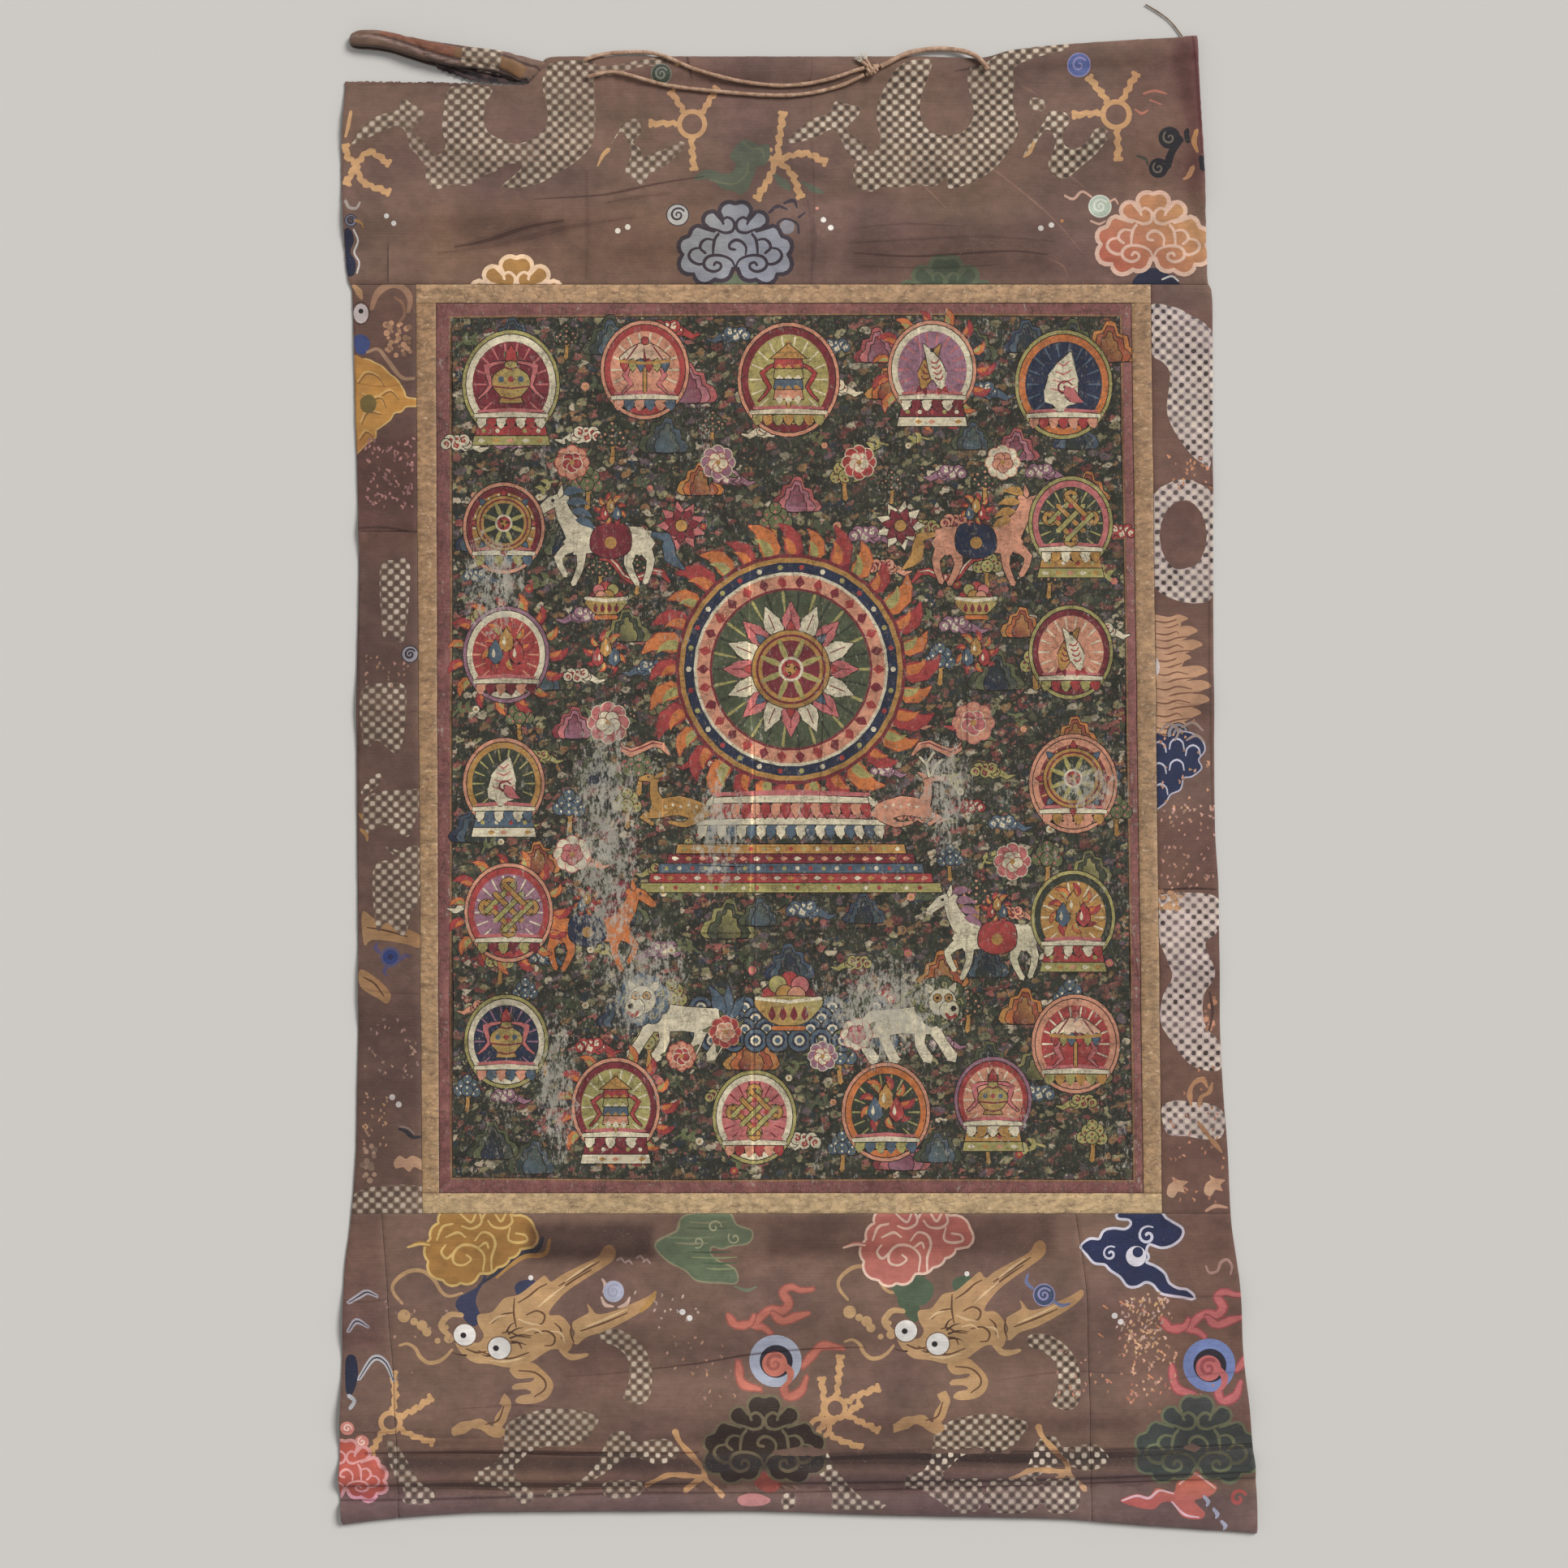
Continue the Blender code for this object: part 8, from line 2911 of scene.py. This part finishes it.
def tube(points, radii, sides=8):
    """A closed tube along some points: its vertices and faces."""
    points = [Vector(point) for point in points]
    radii = np.interp(np.linspace(0, 1, len(points)), np.linspace(0, 1, len(radii)), radii)
    vertices, faces = [], []
    across = None
    for i, (point, radius) in enumerate(zip(points, radii)):
        way = (points[min(i + 1, len(points) - 1)] - points[max(i - 1, 0)]).normalized()
        if across is None:
            across = way.orthogonal().normalized()
        across = (across - across.dot(way) * way).normalized()
        third = way.cross(across)
        for k in range(sides):
            angle = k * math.tau / sides
            vertices.append(point + (across * math.cos(angle) + third * math.sin(angle)) * radius)
    for i in range(len(points) - 1):
        for k in range(sides):
            a, b = i * sides + k, i * sides + (k + 1) % sides
            faces.append((a, b, b + sides, a + sides))
    faces.append(tuple(range(sides))[::-1])
    faces.append(tuple(range(len(vertices) - sides, len(vertices))))
    return vertices, faces


def add_tubes(name, tubes, material):
    """One mesh of several tubes."""
    vertices, faces = [], []
    for more_vertices, more_faces in tubes:
        first = len(vertices)
        vertices += more_vertices
        faces += [tuple(first + index for index in face) for face in more_faces]
    return add_mesh(name, [vertex * MM for vertex in vertices], faces, material, 80)


def add_knot():
    """Two turns pulled tight round the strands, a turn over them, and two tails worn to fibres."""
    turn = Matrix.Rotation(math.radians(KNOT_TURN), 3, "Z")

    def place(x, y, z):
        return KNOT_PLACE + turn @ Vector((x, y, z))

    coil = []
    for t in np.linspace(0, 1, COIL_POINTS).tolist():
        angle = t * math.tau * COIL_TURNS
        coil.append(place(-3.6 + 7.2 * t, 2.7 * math.cos(angle), 1.9 * math.sin(angle)))
    over = [
        place(*point) for point in ((-4.6, -1.6, -0.4), (-2.6, -1.8, 1.4), (0.2, -0.8, 2.0),
        (2.6, 1.0, 1.7), (4.4, 2.2, 0.0), (3.4, 3.2, -1.4))]
    through = [
        place(*point) for point in ((-6.0, -1.6, -0.9), (-3, -0.8, -0.4), (0, 0, 0), (3, 0.8, -0.3),
        (6.6, 1.6, -0.8))]
    tubes = [tube(coil, [1.35, 1.5, 1.5, 1.3]), tube(smooth_route(over, 0.8), [0.9, 1.35, 1.35, 0.9]),
             tube(smooth_route(through, 1.0), [1.7, 2.0, 1.9])]
    for tail in KNOT_TAILS:
        end = Vector((tail.x, tail.y, tail.z))
        middle = (KNOT_PLACE + end) / 2 + Vector((0, 0, 0.4))
        way = KNOT_PLACE.lerp(end, 0.72)
        tubes.append(
            tube(smooth_route((KNOT_PLACE, middle, way), 0.8), [tail.root_radius * 1.25,
            tail.root_radius]))
    knot = add_tubes("thong_knot", tubes, LEATHER)
    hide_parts("cord_knot")
    fibres = []
    for tail in KNOT_TAILS:
        end = Vector((tail.x, tail.y, tail.z))
        start = KNOT_PLACE.lerp(end, 0.66)
        for _ in range(FIBRES_A_TAIL):
            spread = Vector((rng.uniform(-2.6, 2.6), rng.uniform(-2.2, 2.0), rng.uniform(-0.8, 1.0)))
            tip = end + spread
            root = start + spread * 0.18
            middle = (root + tip) / 2 + Vector((rng.uniform(-0.9, 0.9), rng.uniform(-0.9, 0.9), 0.5))
            fibres.append(tube(smooth_route((root, middle, tip), 1.4), [0.26, 0.12], 4))
    frayed = add_tubes("thong_fibres", fibres, PALE_FIBRE)
    for piece in (knot, frayed):
        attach(piece, "root")
    return knot, frayed


# ---------------------------------------------------------------- the floor and the light

FLOOR_SIZE = 6.0
FLOOR_DROP = 0.0006
FLOOR_COLOUR = (0.6, 0.58, 0.55, 1)
FLOOR_ROUGHNESS = 0.9
SKY_COLOUR = (1, 1, 1, 1)
SKY_STRENGTH = 0.42
SUN_STRENGTH = 2.7
SUN_SPREAD = 24
SUN_FROM = (1.0, 0.9, 1.25)


def add_floor():
    """A plain pale floor, just below the cloths."""
    bpy.ops.mesh.primitive_plane_add(size=FLOOR_SIZE, location=(0, 0, -FLOOR_DROP))
    floor = bpy.context.object
    floor.name = "floor"
    material = bpy.data.materials.new("floor")
    material.use_nodes = True
    shader = material.node_tree.nodes["Principled BSDF"]
    shader.inputs["Base Color"].default_value = FLOOR_COLOUR
    shader.inputs["Roughness"].default_value = FLOOR_ROUGHNESS
    floor.data.materials.append(material)


def add_light():
    """A soft light that comes mostly from the upper right."""
    world = bpy.data.worlds.new("world")
    world.use_nodes = True
    sky = world.node_tree.nodes["Background"]
    sky.inputs["Color"].default_value = SKY_COLOUR
    sky.inputs["Strength"].default_value = SKY_STRENGTH
    bpy.context.scene.world = world
    light = bpy.data.lights.new("sun", "SUN")
    light.energy = SUN_STRENGTH
    light.angle = math.radians(SUN_SPREAD)
    sun = bpy.data.objects.new("sun", light)
    sun.rotation_euler = Vector(SUN_FROM).to_track_quat("Z", "Y").to_euler()
    bpy.context.scene.collection.objects.link(sun)
    bpy.context.scene.view_settings.view_transform = "Standard"


def add_tie():
    """The thong in its three strands with the knot between them, and the thread at the corner."""
    knot_pieces = add_knot()
    for node, route, diameter, length, far_end, unevenness, pieces in (
            ("cord_lower", LOWER_STRAND_ROUTE, THIN_STRAND, 0.2309, "knot", 0.09, knot_pieces),
            ("cord_upper", UPPER_STRAND_ROUTE, THIN_STRAND, 0.2383, "knot", 0.09, ()),
            ("cord_right", RIGHT_STRAND_ROUTE, THICK_STRAND, 0.0983, "object", 0.07, ())):
        add_cord(node, route, diameter, LEATHER, unevenness)
    add_cord("corner_thread", CORNER_THREAD_ROUTE, CORNER_THREAD, DULL_THREAD,
             0.1)


def main():
    """All of the scroll, and then what it lies on and the light that it lies in."""
    add_tie()
    add_canvas(canvas_drawing())
    add_gold_strips(Drawing(gold_ground))
    add_brocade_panels(top_drawing(), side_drawing(), bottom_drawing())
    add_heading_roll()
    add_floor()
    add_light()


main()
